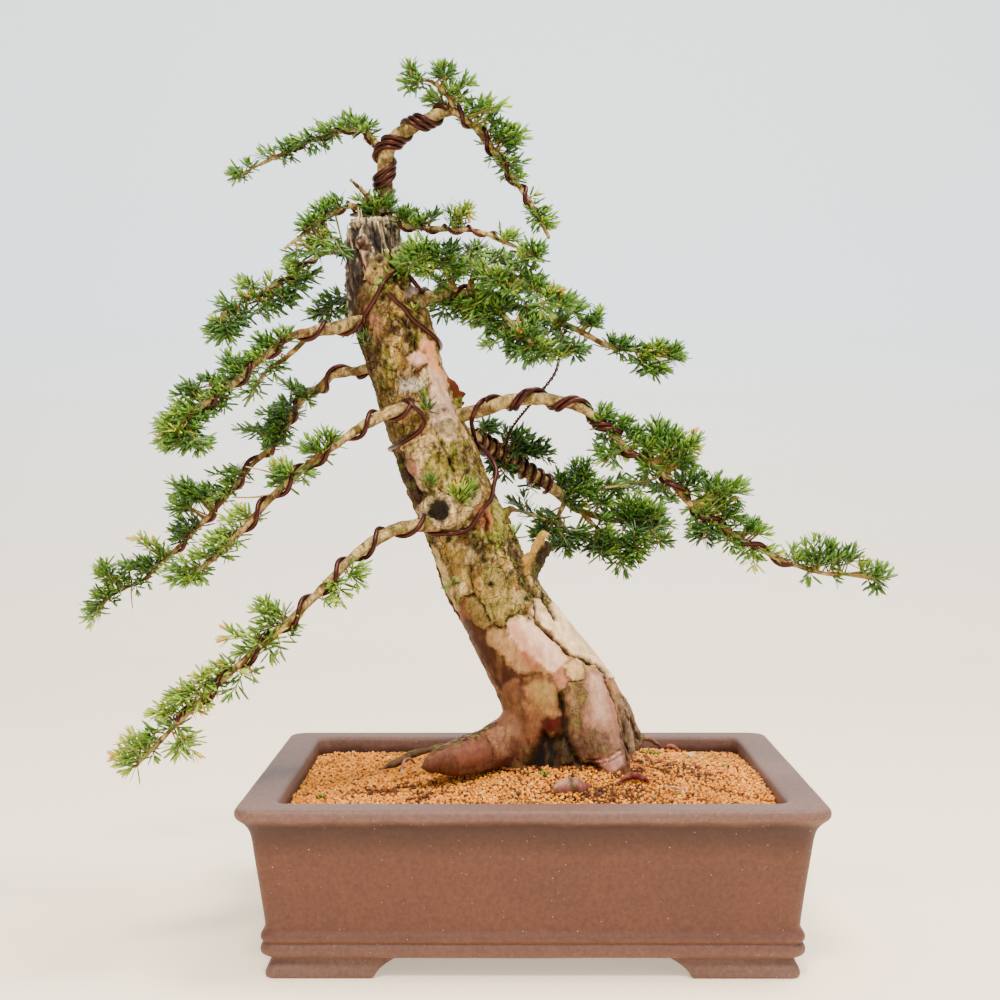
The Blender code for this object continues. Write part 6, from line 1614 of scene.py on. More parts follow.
# Shoots as seen in an enlarged view: root x and y, tip x and y, youth 0 to 10
shoots = {
    "leader": [("crown", [(30, 33, 14, 31, 5), (30, 33, 15, 38, 4), (25, 25, 22, 17, 6),
        (32, 32, 28, 27, 4), (30, 34, 28, 39, 4), (50, 29, 44, 16, 5), (52, 28, 48, 18, 4),
        (54, 28, 56, 23, 4), (52, 30, 43, 23, 3), (56, 42, 56, 30, 7), (54, 44, 50, 34, 6),
        (58, 44, 62, 32, 5), (48, 48, 47, 38, 6), (62, 44, 59, 38, 7), (64, 36, 76, 32, 6),
        (48, 50, 36, 42, 5), (44, 50, 33, 45, 5), (54, 56, 56, 50, 6), (64, 44, 66, 48, 3),
        (74, 56, 70, 48, 3), (78, 56, 79, 45, 6), (79, 54, 88, 44, 7), (72, 60, 68, 56, 4),
        (80, 62, 72, 59, 6), (86, 62, 88, 54, 5), (88, 64, 92, 55, 4), (90, 52, 100, 51, 9),
        (86, 70, 96, 62, 5), (90, 74, 108, 68, 5), (94, 78, 116, 70, 5), (96, 80, 118, 76, 5),
        (96, 83, 110, 83, 4), (98, 88, 103, 90, 2), (86, 76, 82, 72, 4), (82, 78, 79, 74, 4),
        (90, 90, 86, 94, 3), (100, 96, 118, 95, 5), (102, 100, 98, 99, 7), (103, 102, 112, 103, 4),
        (105, 106, 115, 108, 4), (104, 108, 106, 112, 4), (100, 102, 97, 106, 4), (116, 124, 123, 121, 6),
        (124, 134, 130, 133, 4), (123, 137, 118, 139, 4), (125, 138, 136, 138, 6), (126, 141, 140, 145, 6),
        (124, 142, 124, 149, 4), (126, 142, 134, 150, 5), (122, 139, 120, 146, 4)])],
    "left_1": [("crownLeft", [(118, 72, 113, 56, 5), (115, 69, 106, 58, 5), (120, 69, 127, 60, 4),
        (122, 71, 136, 66, 4), (122, 73, 131, 80, 6), (126, 76, 123, 70, 5), (116, 70, 119, 62, 5),
        (100, 74, 90, 67, 6), (96, 74, 83, 69, 6), (106, 70, 96, 64, 6), (86, 78, 76, 72, 6),
        (80, 81, 70, 78, 5), (90, 80, 95, 85, 2), (86, 81, 88, 87, 2), (80, 82, 82, 88, 2),
        (70, 86, 64, 80, 3), (66, 87, 56, 83, 3), (56, 92, 50, 85, 4), (52, 93, 40, 87, 6),
        (64, 88, 68, 94, 3), (60, 90, 62, 95, 3), (38, 101, 34, 94, 4), (27, 105, 19, 105, 5),
        (27, 106, 23, 111, 5), (30, 104, 21, 101, 5), (100, 72, 100, 77, 3), (76, 80, 70, 84, 4)])],
    "foot_tuft": [("crownLeft", [(130, 139, 124, 116, 6), (133, 139, 126, 126, 3), (138, 139, 140, 112, 4),
        (140, 138, 144, 120, 4), (142, 137, 146, 124, 5), (138, 138, 135, 122, 4), (134, 138, 130, 129, 3),
        (144, 135, 149, 127, 4), (130, 138, 126, 132, 3), (144, 136, 148, 142, 3)])],
    "left_2": [("crownLeft", [(108, 132, 102, 125, 3), (106, 132, 95, 123, 5), (100, 135, 88, 127, 5),
        (96, 138, 83, 130, 5), (90, 143, 79, 138, 5), (87, 145, 76, 143, 4), (84, 147, 72, 147, 4),
        (96, 142, 95, 146, 3), (86, 144, 80, 135, 4)]), ("leftUpper", [(122, 35, 119, 40, 9),
        (121, 36, 110, 43, 5), (117, 42, 100, 43, 7), (113, 48, 100, 49, 4), (120, 42, 115, 50, 6),
        (125, 40, 126, 47, 4), (137, 49, 133, 42, 2), (100, 48, 90, 54, 4)])],
    "left_3": [("leftUpper", [(105, 64, 90, 56, 5), (106, 68, 87, 59, 6), (100, 70, 93, 64, 5),
        (110, 66, 116, 64, 4), (104, 72, 108, 69, 5), (80, 80, 77, 64, 7), (100, 76, 90, 72, 5),
        (96, 77, 102, 85, 3), (90, 80, 96, 84, 3), (64, 78, 60, 69, 6), (64, 79, 50, 72, 7),
        (70, 87, 64, 80, 5), (80, 86, 72, 82, 5), (88, 85, 80, 80, 4), (62, 87, 56, 83, 9),
        (62, 90, 62, 84, 6), (50, 90, 38, 83, 5), (52, 100, 48, 87, 4), (54, 96, 44, 93, 3),
        (60, 98, 56, 88, 3), (74, 90, 78, 100, 4), (82, 90, 85, 98, 3), (90, 88, 99, 86, 4),
        (70, 95, 76, 101, 4), (43, 106, 30, 105, 5), (42, 108, 25, 112, 4), (44, 110, 28, 119, 5),
        (45, 109, 38, 122, 4), (48, 108, 46, 117, 4), (40, 105, 33, 100, 6), (56, 102, 54, 106, 3),
        (50, 106, 42, 115, 3)])],
    "left_4": [("leftUpper", [(154, 100, 140, 88, 3), (156, 101, 148, 96, 3), (150, 99, 134, 96, 3),
        (154, 104, 138, 104, 3), (154, 106, 140, 110, 3), (150, 105, 134, 109, 3), (136, 87, 128, 77, 4),
        (130, 89, 119, 80, 4), (125, 92, 112, 86, 4), (120, 95, 108, 95, 5), (120, 96, 111, 102, 4),
        (124, 93, 117, 105, 3), (129, 91, 124, 103, 3), (134, 88, 131, 100, 3), (138, 86, 141, 99, 3),
        (142, 87, 148, 99, 3)])],
    "left_5": [("leftMiddle", [(104, 18, 90, 12, 4), (105, 20, 86, 15, 4), (104, 19, 96, 10, 4),
        (111, 13, 114, 6, 5), (110, 15, 109, 8, 5), (113, 12, 117, 9, 4), (104, 23, 94, 20, 3),
        (110, 26, 106, 23, 3), (78, 42, 62, 30, 4), (79, 40, 70, 29, 4), (77, 43, 62, 39, 4),
        (79, 44, 70, 34, 4), (72, 33, 70, 26, 4), (96, 32, 83, 27, 6), (96, 30, 88, 24, 6),
        (93, 33, 79, 33, 4), (98, 29, 93, 23, 6), (89, 35, 80, 37, 4), (74, 48, 56, 47, 4),
        (70, 52, 54, 50, 8), (62, 54, 59, 44, 4), (56, 50, 48, 45, 3), (48, 56, 30, 53, 3),
        (42, 57, 33, 52, 3), (42, 59, 23, 58, 3), (48, 60, 42, 62, 6), (64, 62, 56, 59, 6),
        (70, 59, 66, 64, 4), (64, 66, 60, 70, 4), (56, 70, 54, 74, 4), (56, 64, 48, 60, 5),
        (44, 66, 30, 66, 6), (42, 70, 24, 64, 6), (40, 74, 25, 70, 6), (48, 76, 40, 70, 5),
        (47, 79, 52, 75, 4), (38, 78, 22, 74, 6), (42, 78, 30, 74, 6), (40, 82, 44, 79, 5),
        (36, 80, 18, 79, 6), (34, 83, 12, 83, 7), (34, 86, 13, 87, 8), (33, 88, 16, 92, 9),
        (32, 90, 11, 96, 6), (32, 93, 14, 101, 5), (34, 94, 18, 104, 4), (38, 95, 28, 103, 4),
        (40, 96, 34, 103, 3), (43, 97, 44, 105, 4), (44, 96, 49, 104, 4), (45, 95, 56, 98, 6),
        (47, 96, 54, 101, 5), (39, 85, 44, 84, 5), (92, 46, 86, 48, 4), (93, 48, 88, 56, 5),
        (92, 54, 87, 64, 5), (105, 34, 111, 34, 4), (105, 36, 114, 38, 4), (104, 38, 106, 44, 4)])],
    "left_6": [("leftMiddle", [(131, 57, 116, 49, 3), (130, 58, 108, 48, 3), (131, 56, 122, 52, 3),
        (129, 60, 132, 64, 5), (123, 69, 108, 64, 3), (121, 70, 111, 62, 3), (115, 74, 90, 74, 3),
        (118, 76, 100, 69, 3), (116, 80, 100, 77, 3), (115, 83, 98, 80, 2), (96, 88, 72, 85, 4),
        (110, 86, 90, 86, 3), (112, 88, 96, 85, 3), (106, 90, 93, 90, 3), (110, 92, 100, 94, 3),
        (116, 90, 114, 95, 3), (106, 96, 96, 101, 3), (108, 98, 116, 99, 4)]),
        ("leftLower", [(139, 34, 115, 34, 4), (138, 33, 129, 32, 3), (140, 46, 126, 40, 5),
        (139, 47, 133, 40, 5), (138, 49, 120, 45, 5), (138, 50, 123, 52, 5), (133, 52, 115, 54, 5),
        (120, 48, 108, 44, 4), (112, 50, 95, 40, 4), (111, 50, 84, 40, 4), (112, 52, 87, 44, 4),
        (111, 53, 92, 50, 5), (108, 54, 88, 56, 5), (100, 60, 82, 60, 4), (100, 61, 86, 64, 4),
        (106, 74, 102, 69, 3), (106, 74, 90, 69, 3), (104, 83, 90, 74, 3), (103, 84, 84, 77, 3),
        (101, 86, 90, 85, 2), (100, 88, 96, 78, 3), (98, 90, 88, 86, 2), (84, 101, 64, 86, 8),
        (65, 86, 56, 86, 10), (83, 100, 74, 88, 4), (84, 102, 80, 93, 5), (74, 106, 64, 100, 3),
        (70, 108, 56, 105, 3), (72, 106, 60, 107, 3), (64, 110, 44, 107, 4), (36, 112, 31, 102, 5),
        (35, 111, 38, 100, 5), (34, 112, 29, 109, 8), (38, 113, 30, 115, 5), (48, 115, 34, 119, 5),
        (56, 118, 48, 114, 4), (66, 116, 69, 121, 3), (60, 123, 61, 127, 3), (44, 127, 33, 121, 5),
        (36, 130, 25, 126, 4), (35, 133, 31, 126, 5), (34, 134, 24, 130, 5), (36, 135, 42, 135, 3),
        (30, 138, 17, 140, 4), (30, 140, 20, 145, 5), (28, 142, 22, 156, 7)])],
    "left_7": [("leftMiddle", [(145, 100, 144, 83, 5), (146, 100, 151, 86, 5), (144, 102, 134, 93, 5),
        (144, 103, 122, 99, 5), (143, 104, 126, 103, 4), (119, 120, 109, 109, 7), (119, 119, 100, 111, 7),
        (120, 121, 113, 114, 7), (119, 122, 107, 120, 5), (116, 124, 100, 122, 3), (116, 126, 99, 129, 3),
        (126, 119, 134, 120, 4), (125, 119, 136, 123, 4), (125, 120, 130, 128, 4)]),
        ("leftLower", [(146, 68, 134, 64, 7), (145, 69, 124, 69, 7), (140, 76, 128, 70, 6),
        (139, 80, 126, 77, 6), (138, 82, 140, 90, 5), (133, 88, 116, 83, 6), (132, 90, 110, 86, 6),
        (131, 90, 122, 82, 6), (129, 94, 115, 95, 5), (129, 96, 133, 100, 4), (125, 100, 108, 100, 5),
        (120, 102, 101, 98, 6), (110, 108, 93, 101, 6), (105, 108, 88, 107, 6), (100, 112, 82, 108, 5),
        (98, 114, 82, 118, 6), (97, 115, 86, 122, 5), (104, 114, 96, 122, 4), (105, 114, 100, 123, 6),
        (108, 112, 106, 120, 6), (109, 112, 112, 119, 6), (90, 110, 78, 110, 5)])],
    "left_8": [("leftFoot", [(129, 6, 141, 5, 4), (129, 9, 138, 2, 4), (130, 8, 140, 10, 5),
        (133, 9, 135, 14, 4), (126, 12, 124, 25, 4), (125, 15, 129, 18, 5), (125, 11, 121, 18, 5),
        (117, 21, 123, 22, 6), (96, 30, 78, 26, 4), (96, 32, 82, 32, 4), (92, 30, 82, 19, 4),
        (90, 29, 85, 20, 4), (94, 28, 90, 22, 4), (90, 34, 75, 39, 4), (87, 40, 70, 39, 4),
        (70, 39, 63, 43, 9), (70, 39, 65, 35, 9), (83, 43, 70, 50, 4), (80, 45, 69, 49, 4),
        (88, 44, 90, 54, 3), (94, 44, 92, 51, 4), (99, 40, 101, 38, 3), (102, 34, 104, 31, 6),
        (85, 44, 94, 39, 7), (88, 42, 95, 37, 7), (79, 58, 80, 61, 4), (74, 60, 66, 74, 3),
        (64, 66, 60, 71, 4), (70, 56, 60, 54, 6), (69, 56, 56, 56, 5), (64, 60, 54, 58, 5),
        (62, 62, 52, 61, 5), (60, 61, 68, 60, 5), (69, 59, 76, 59, 5), (56, 62, 49, 60, 6),
        (54, 64, 56, 71, 6), (52, 64, 53, 79, 6), (50, 70, 40, 67, 7), (48, 68, 38, 70, 7),
        (46, 72, 33, 72, 6), (44, 72, 30, 78, 6), (48, 76, 53, 80, 6), (43, 74, 35, 74, 6),
        (52, 72, 56, 76, 6), (40, 78, 31, 80, 6), (38, 79, 24, 81, 5), (37, 80, 29, 84, 5),
        (43, 77, 47, 79, 6), (45, 76, 50, 79, 7), (38, 86, 33, 85, 4), (37, 87, 31, 89, 4),
        (40, 86, 44, 94, 5), (43, 92, 47, 95, 6), (44, 95, 52, 104, 7), (43, 95, 37, 102, 7),
        (42, 96, 40, 105, 6), (40, 87, 45, 89, 4), (31, 90, 21, 91, 4), (30, 92, 20, 93, 4),
        (29, 95, 21, 94, 4), (23, 97, 13, 89, 6), (22, 98, 10, 94, 7), (20, 100, 12, 98, 6),
        (23, 100, 17, 96, 6), (20, 101, 5, 104, 7), (19, 104, 7, 107, 6), (20, 106, 10, 112, 6),
        (24, 100, 26, 97, 5), (19, 107, 13, 112, 5), (15, 104, 5, 103, 7), (18, 105, 8, 101, 7),
        (28, 101, 29, 104, 3)])],
    "right_1": [("crown", [(15, 142, 18, 131, 3), (20, 144, 23, 133, 3), (16, 143, 27, 131, 3),
        (30, 145, 29, 137, 6), (33, 144, 39, 135, 3), (40, 142, 46, 135, 2), (21, 146, 25, 140, 6),
        (28, 146, 34, 139, 6), (54, 145, 64, 133, 3), (60, 141, 72, 128, 9), (66, 133, 69, 139, 9),
        (96, 154, 103, 149, 7), (11, 140, 12, 147, 3)]), ("rightUpper", [(88, 29, 91, 20, 7),
        (88, 29, 96, 20, 7), (102, 43, 96, 33, 7), (104, 42, 101, 28, 6), (106, 43, 109, 27, 7),
        (108, 44, 113, 34, 3), (108, 44, 116, 30, 3), (104, 43, 115, 42, 3), (106, 44, 110, 47, 4),
        (100, 41, 96, 37, 3)])],
    "right_2": [("rightUpper", [(18, 38, 15, 23, 7), (16, 40, 9, 29, 6), (22, 38, 24, 24, 6),
        (12, 42, 6, 36, 5), (20, 42, 13, 34, 7), (26, 43, 22, 35, 7), (30, 42, 28, 30, 4),
        (33, 40, 33, 29, 3), (42, 38, 44, 27, 2), (40, 40, 40, 29, 3), (38, 42, 48, 33, 3),
        (35, 44, 42, 43, 3), (6, 47, 2, 42, 6), (24, 52, 15, 52, 6), (26, 50, 19, 56, 6),
        (28, 49, 35, 50, 5), (30, 46, 36, 46, 6), (34, 64, 33, 56, 5), (42, 60, 47, 54, 5),
        (44, 58, 53, 51, 5), (38, 56, 43, 50, 5), (50, 56, 49, 44, 5), (36, 73, 31, 75, 6),
        (35, 74, 34, 69, 5), (42, 72, 40, 64, 4), (8, 54, 3, 50, 5), (64, 38, 61, 27, 3),
        (65, 40, 66, 29, 3), (62, 40, 56, 35, 2), (70, 43, 74, 35, 3), (74, 43, 78, 37, 3),
        (86, 46, 85, 39, 3), (88, 48, 89, 40, 3), (90, 50, 96, 47, 4), (69, 56, 69, 47, 7),
        (72, 57, 65, 50, 7), (74, 59, 72, 49, 7), (82, 59, 83, 48, 7), (80, 58, 78, 52, 7),
        (84, 60, 90, 52, 6), (76, 62, 85, 59, 6), (78, 63, 88, 64, 6), (90, 64, 95, 60, 7),
        (90, 66, 96, 62, 10), (100, 56, 104, 51, 4), (110, 62, 116, 54, 5), (112, 64, 121, 59, 5),
        (108, 64, 109, 56, 5), (106, 66, 115, 65, 5), (102, 68, 102, 61, 5), (124, 70, 129, 64, 7),
        (127, 72, 133, 65, 10), (126, 72, 130, 72, 9), (130, 76, 139, 70, 6), (133, 79, 144, 75, 5),
        (135, 83, 146, 81, 5), (134, 85, 144, 85, 5), (124, 76, 120, 70, 6), (125, 82, 126, 74, 5),
        (129, 88, 131, 80, 3), (118, 74, 118, 68, 5), (56, 70, 59, 66, 6), (60, 76, 64, 68, 6),
        (52, 76, 47, 69, 6), (56, 80, 51, 74, 7), (60, 80, 56, 83, 5), (64, 80, 62, 87, 4),
        (50, 80, 46, 77, 5), (52, 83, 48, 89, 3), (70, 84, 76, 79, 5), (74, 86, 72, 78, 5),
        (80, 86, 83, 78, 6), (82, 86, 89, 77, 6), (86, 80, 90, 73, 6), (60, 86, 56, 89, 3),
        (66, 88, 64, 92, 3), (78, 88, 74, 94, 4), (86, 90, 85, 96, 4), (82, 94, 73, 96, 4),
        (80, 98, 75, 101, 3), (76, 110, 69, 111, 6), (90, 106, 86, 100, 4), (92, 104, 96, 96, 5),
        (98, 100, 98, 89, 10), (100, 98, 102, 92, 5), (94, 106, 88, 111, 3), (96, 110, 88, 117, 3),
        (98, 112, 94, 122, 3), (104, 112, 101, 120, 3), (110, 115, 109, 122, 3), (112, 108, 120, 106, 7),
        (116, 110, 124, 109, 7), (110, 110, 115, 115, 7), (118, 115, 121, 123, 5), (124, 114, 130, 120, 5),
        (122, 112, 131, 112, 6), (108, 100, 110, 90, 5), (110, 90, 115, 85, 6), (114, 96, 120, 93, 4),
        (122, 100, 127, 96, 6), (106, 106, 108, 100, 4), (130, 104, 130, 114, 4), (130, 108, 137, 112, 3)]),
        ("rightTip", [(48, 41, 54, 33, 3), (50, 42, 58, 37, 3), (56, 35, 59, 30, 7), (46, 44, 60, 45, 3),
        (42, 43, 47, 40, 3), (38, 66, 47, 70, 3), (36, 68, 40, 76, 3), (34, 68, 33, 77, 3),
        (30, 65, 24, 73, 4), (72, 62, 75, 53, 3), (78, 64, 84, 54, 3), (82, 64, 92, 56, 3),
        (76, 62, 70, 56, 3), (80, 70, 86, 63, 4), (76, 68, 80, 76, 3), (84, 72, 90, 78, 4),
        (90, 70, 96, 65, 5), (94, 72, 106, 70, 6), (96, 78, 109, 77, 7), (103, 76, 115, 79, 9),
        (106, 76, 116, 74, 9), (100, 84, 108, 92, 5), (104, 84, 117, 90, 5), (108, 85, 125, 93, 5),
        (112, 85, 129, 89, 5), (110, 70, 118, 62, 6), (114, 68, 127, 61, 6), (116, 69, 124, 66, 6),
        (129, 70, 134, 64, 5), (130, 72, 140, 70, 5), (131, 76, 143, 76, 6), (130, 78, 140, 79, 5)])],
    "right_3": [("rightArm", [(20, 26, 18, 11, 4), (21, 23, 26, 13, 5), (20, 22, 24, 18, 5),
        (20, 29, 15, 25, 5), (20, 30, 13, 29, 6), (23, 28, 29, 21, 4), (26, 29, 32, 24, 4),
        (23, 34, 18, 40, 2), (25, 33, 21, 30, 5), (27, 38, 30, 33, 6), (30, 34, 43, 29, 3),
        (34, 33, 40, 22, 3), (36, 33, 44, 26, 3), (38, 35, 49, 36, 4), (40, 40, 42, 38, 4),
        (44, 44, 50, 33, 3), (47, 43, 56, 32, 2), (48, 45, 60, 44, 5), (46, 48, 53, 41, 4),
        (54, 47, 64, 43, 5), (24, 44, 21, 47, 2), (24, 56, 10, 50, 3), (23, 59, 15, 49, 3),
        (24, 60, 17, 63, 6), (29, 57, 20, 55, 5), (30, 56, 28, 47, 3), (31, 57, 31, 48, 5),
        (33, 54, 37, 58, 6), (30, 59, 30, 63, 6), (34, 56, 36, 53, 5), (44, 50, 54, 48, 5),
        (56, 54, 60, 44, 5), (60, 54, 68, 54, 5), (61, 53, 56, 45, 5), (64, 52, 59, 50, 5),
        (70, 44, 64, 22, 3), (69, 42, 59, 27, 4), (70, 43, 64, 31, 4), (72, 44, 69, 26, 5),
        (73, 44, 75, 27, 5), (74, 45, 81, 33, 5), (78, 46, 86, 32, 5), (80, 45, 90, 35, 5),
        (82, 46, 93, 39, 4), (74, 50, 68, 43, 4), (77, 52, 66, 53, 4), (90, 50, 95, 42, 7),
        (95, 47, 99, 35, 10), (95, 48, 107, 39, 5), (95, 50, 104, 51, 8), (93, 52, 100, 54, 8),
        (87, 52, 96, 51, 6), (82, 54, 87, 47, 5), (80, 60, 86, 54, 5), (86, 62, 97, 56, 5),
        (88, 63, 99, 60, 5), (88, 64, 98, 64, 4), (90, 65, 104, 65, 3), (80, 64, 72, 62, 5),
        (78, 64, 70, 70, 4), (82, 65, 84, 71, 5), (86, 66, 93, 72, 4), (78, 66, 74, 56, 5),
        (74, 64, 76, 70, 4), (80, 60, 72, 57, 4), (62, 66, 56, 76, 4), (64, 70, 52, 70, 3),
        (62, 68, 49, 62, 4), (66, 64, 60, 60, 5), (59, 70, 59, 78, 4), (67, 77, 33, 82, 2),
        (56, 80, 50, 87, 2), (70, 83, 64, 84, 3), (74, 85, 64, 89, 3), (72, 85, 69, 96, 3),
        (76, 89, 83, 95, 3), (84, 97, 78, 96, 3), (90, 83, 83, 74, 2), (88, 84, 92, 73, 3),
        (93, 82, 95, 74, 3), (96, 82, 99, 67, 3), (98, 82, 105, 72, 3), (100, 84, 108, 76, 3),
        (94, 87, 102, 90, 4), (115, 92, 108, 69, 3), (115, 90, 110, 79, 5), (116, 90, 120, 71, 3),
        (117, 90, 119, 78, 6), (118, 90, 124, 77, 4), (112, 90, 104, 85, 5), (113, 96, 105, 96, 5),
        (120, 90, 126, 84, 5), (120, 96, 130, 80, 5), (124, 88, 142, 78, 5), (128, 88, 147, 80, 5),
        (132, 90, 148, 87, 4), (132, 92, 140, 99, 4), (130, 88, 128, 82, 4), (115, 104, 116, 96, 7),
        (118, 104, 124, 99, 8), (124, 102, 127, 95, 10), (126, 100, 130, 98, 9), (115, 103, 113, 102, 7),
        (120, 103, 140, 102, 2), (110, 110, 98, 103, 3), (98, 105, 90, 106, 3), (106, 102, 108, 104, 4),
        (106, 115, 100, 113, 3), (100, 110, 97, 118, 4), (110, 120, 96, 120, 2), (109, 122, 97, 124, 2),
        (106, 127, 92, 128, 2), (107, 127, 112, 135, 1), (112, 120, 110, 112, 4), (116, 119, 124, 128, 5),
        (118, 120, 128, 130, 4), (125, 125, 140, 133, 4), (120, 120, 121, 133, 3), (130, 132, 131, 136, 4),
        (134, 131, 141, 140, 4), (124, 118, 133, 126, 5), (126, 112, 142, 113, 3), (124, 112, 133, 110, 3),
        (136, 119, 143, 114, 3), (144, 122, 150, 113, 4), (146, 123, 154, 114, 4),
        (148, 124, 157, 120, 5)]), ("rightEnd", [(18, 58, 31, 62, 3), (18, 59, 34, 63, 3),
        (37, 70, 44, 62, 4), (39, 71, 48, 65, 4), (43, 73, 54, 68, 6), (45, 74, 55, 74, 7),
        (42, 74, 40, 66, 4), (44, 75, 48, 68, 5), (22, 78, 34, 86, 4), (37, 84, 36, 93, 3),
        (40, 84, 40, 90, 5), (40, 86, 43, 94, 7), (42, 93, 43, 102, 7), (46, 86, 47, 93, 3),
        (48, 84, 60, 85, 6), (54, 90, 64, 89, 7), (74, 94, 74, 83, 6), (70, 90, 74, 83, 5),
        (74, 95, 79, 90, 5), (76, 96, 76, 88, 6), (92, 99, 81, 78, 5), (93, 96, 88, 74, 5),
        (94, 96, 94, 74, 4), (93, 98, 80, 88, 4), (96, 96, 104, 78, 4), (95, 98, 106, 80, 5),
        (100, 96, 107, 79, 5), (94, 100, 86, 90, 3), (88, 98, 80, 90, 4), (85, 100, 83, 96, 5),
        (104, 97, 113, 88, 5), (105, 99, 114, 83, 4), (112, 96, 118, 82, 3), (114, 96, 123, 82, 3),
        (116, 97, 127, 89, 3), (110, 98, 117, 90, 5), (86, 104, 83, 111, 5), (87, 104, 86, 111, 4),
        (104, 107, 108, 111, 3), (127, 104, 129, 96, 9), (129, 104, 133, 97, 8), (126, 103, 126, 98, 8),
        (135, 106, 140, 97, 5), (138, 108, 143, 94, 5), (140, 109, 147, 100, 5), (142, 109, 152, 103, 4),
        (138, 109, 140, 116, 3), (139, 110, 138, 120, 3), (131, 108, 133, 113, 3),
        (123, 105, 113, 105, 5)])],
    "right_4": [("rightMiddle", [(4, 30, 2, 24, 2), (6, 31, 13, 22, 2), (2, 26, 10, 30, 2),
        (20, 35, 16, 25, 3), (22, 34, 30, 29, 3), (24, 36, 35, 27, 2), (26, 40, 36, 33, 2),
        (28, 42, 47, 35, 2), (30, 44, 54, 44, 2), (34, 46, 44, 42, 2), (24, 38, 24, 48, 1),
        (30, 40, 29, 50, 1), (13, 48, 7, 50, 3), (13, 50, 12, 64, 2), (14, 52, 25, 63, 2),
        (12, 50, 9, 56, 2), (35, 69, 39, 69, 2), (57, 68, 55, 56, 3), (60, 69, 54, 61, 3),
        (64, 68, 60, 59, 3), (70, 66, 68, 48, 4), (70, 64, 79, 48, 4), (70, 60, 66, 50, 3),
        (72, 62, 78, 55, 4), (65, 69, 64, 62, 5), (74, 68, 80, 62, 4), (80, 69, 87, 64, 4),
        (86, 70, 95, 64, 4), (90, 70, 110, 66, 3), (95, 69, 119, 64, 3), (63, 72, 78, 70, 6),
        (68, 72, 83, 71, 6), (70, 74, 82, 78, 5), (76, 79, 88, 74, 5), (86, 80, 96, 76, 5),
        (86, 82, 94, 82, 5), (62, 76, 72, 85, 3), (65, 80, 70, 76, 4), (40, 89, 19, 77, 2),
        (48, 90, 43, 87, 3), (52, 90, 38, 92, 3), (54, 93, 42, 99, 3), (50, 99, 34, 102, 3),
        (51, 102, 36, 103, 4), (56, 100, 59, 110, 3), (60, 106, 51, 116, 3), (60, 108, 62, 119, 3),
        (59, 110, 64, 118, 3), (57, 108, 52, 111, 4), (64, 101, 80, 103, 4), (66, 104, 76, 106, 3),
        (68, 106, 70, 111, 3), (80, 108, 83, 118, 3), (83, 113, 91, 122, 3), (82, 113, 80, 115, 2),
        (88, 113, 95, 114, 3), (85, 104, 90, 109, 7), (85, 105, 95, 106, 7), (87, 104, 90, 100, 7),
        (88, 94, 96, 90, 5), (108, 90, 105, 72, 6), (109, 88, 110, 72, 7), (110, 90, 115, 74, 6),
        (112, 90, 120, 77, 6), (106, 88, 96, 77, 6), (104, 90, 100, 80, 5), (100, 90, 94, 83, 5),
        (114, 92, 124, 80, 5), (116, 94, 130, 82, 5), (118, 95, 133, 86, 4), (118, 97, 133, 94, 4),
        (116, 99, 132, 96, 4), (114, 100, 129, 104, 3), (112, 102, 126, 111, 3), (110, 104, 121, 113, 4),
        (108, 106, 119, 118, 5), (108, 108, 115, 125, 5), (106, 109, 108, 126, 4), (104, 108, 105, 119, 4),
        (102, 108, 98, 120, 2), (100, 106, 94, 117, 3), (98, 104, 90, 113, 3), (118, 92, 127, 90, 4),
        (120, 90, 126, 84, 5), (110, 96, 100, 87, 4), (106, 96, 110, 84, 5), (100, 98, 108, 104, 3),
        (94, 92, 88, 84, 5)])]}

hearts = dict(   # view, outline of a tuft's dense heart, number of shoots strewn in it
    right_2=[("rightUpper", [(4, 44), (20, 28), (45, 30), (62, 32), (80, 38), (98, 48), (118, 56),
        (138, 72), (146, 82), (134, 90), (126, 104), (116, 112), (98, 114), (84, 106), (64, 90), (48, 84),
        (36, 74), (22, 58)], 60)],
    right_4=[("rightMiddle", [(52, 88), (80, 76), (120, 84), (132, 98), (124, 118), (100, 124),
        (72, 112)], 16)])
# Thin bare twigs in the same views, from where they leave the branch to their tips
bareTwigs = dict(
    left_7=[("leftMiddle", (111, 122), (97, 118), (83, 115)), ("leftMiddle", (104, 137), (88, 139),
        (72, 139))],
    left_6=[("leftLower", (62, 118), (50, 116), (35, 113)), ("leftLower", (56, 122), (56, 131), (57, 140))],
    leader=[("crown", (25, 34), (24, 26), (22, 18)), ("crown", (84, 56), (92, 52), (98, 51))],
    left_8=[("leftFoot", (90, 40), (78, 40), (64, 42)), ("leftFoot", (39, 85), (47, 80), (52, 77))],
    right_3=[("rightArm", (67, 76), (50, 81), (22, 85))],
    right_4=[("rightMiddle", (56, 84), (44, 90), (37, 87)), ("rightMiddle", (60, 92), (59, 101), (60, 108))])


# Where a shoot starts, leans and ends; a twin is the same shoot turned to the back or to the front
usualHabit = (1, 0.85, 0.0)   # chance of a twin behind, of one in front, and how much fresher
seenRule = dict(slide=0.4, depth=0.5, mostDepth=14, lean=(-1, 0.6), budYouth=0.9, mostYouth=0.86,
                youth=0.1, smallest=0.68, sizeSpan=(5, 17), bow=0.06, bare=0.8, kneeAt=0.55,
                kneeBare=0.75, sidesFrom=7.5)
twinRule = dict(slide=6, depth=(0.2, 1), depthSpan=(3, 0.6), mostDepth=16, nudge=3, lean=(0.6, 1.0),
                lift=1.5, older=0.08)
sideRule = dict(chance=0.5, foot=(0.15, 0.6), turn=(0.5, 0.9), reach=(0.4, 0.6), depth=6, shortest=4,
                bare=0.6, youth=(-0.15, 0.1), size=0.85)
tuftRule = dict(turn=(-2.6, 0.9), reach=(13, 20), youth=(0.25, 0.75), forward=(0, 16))


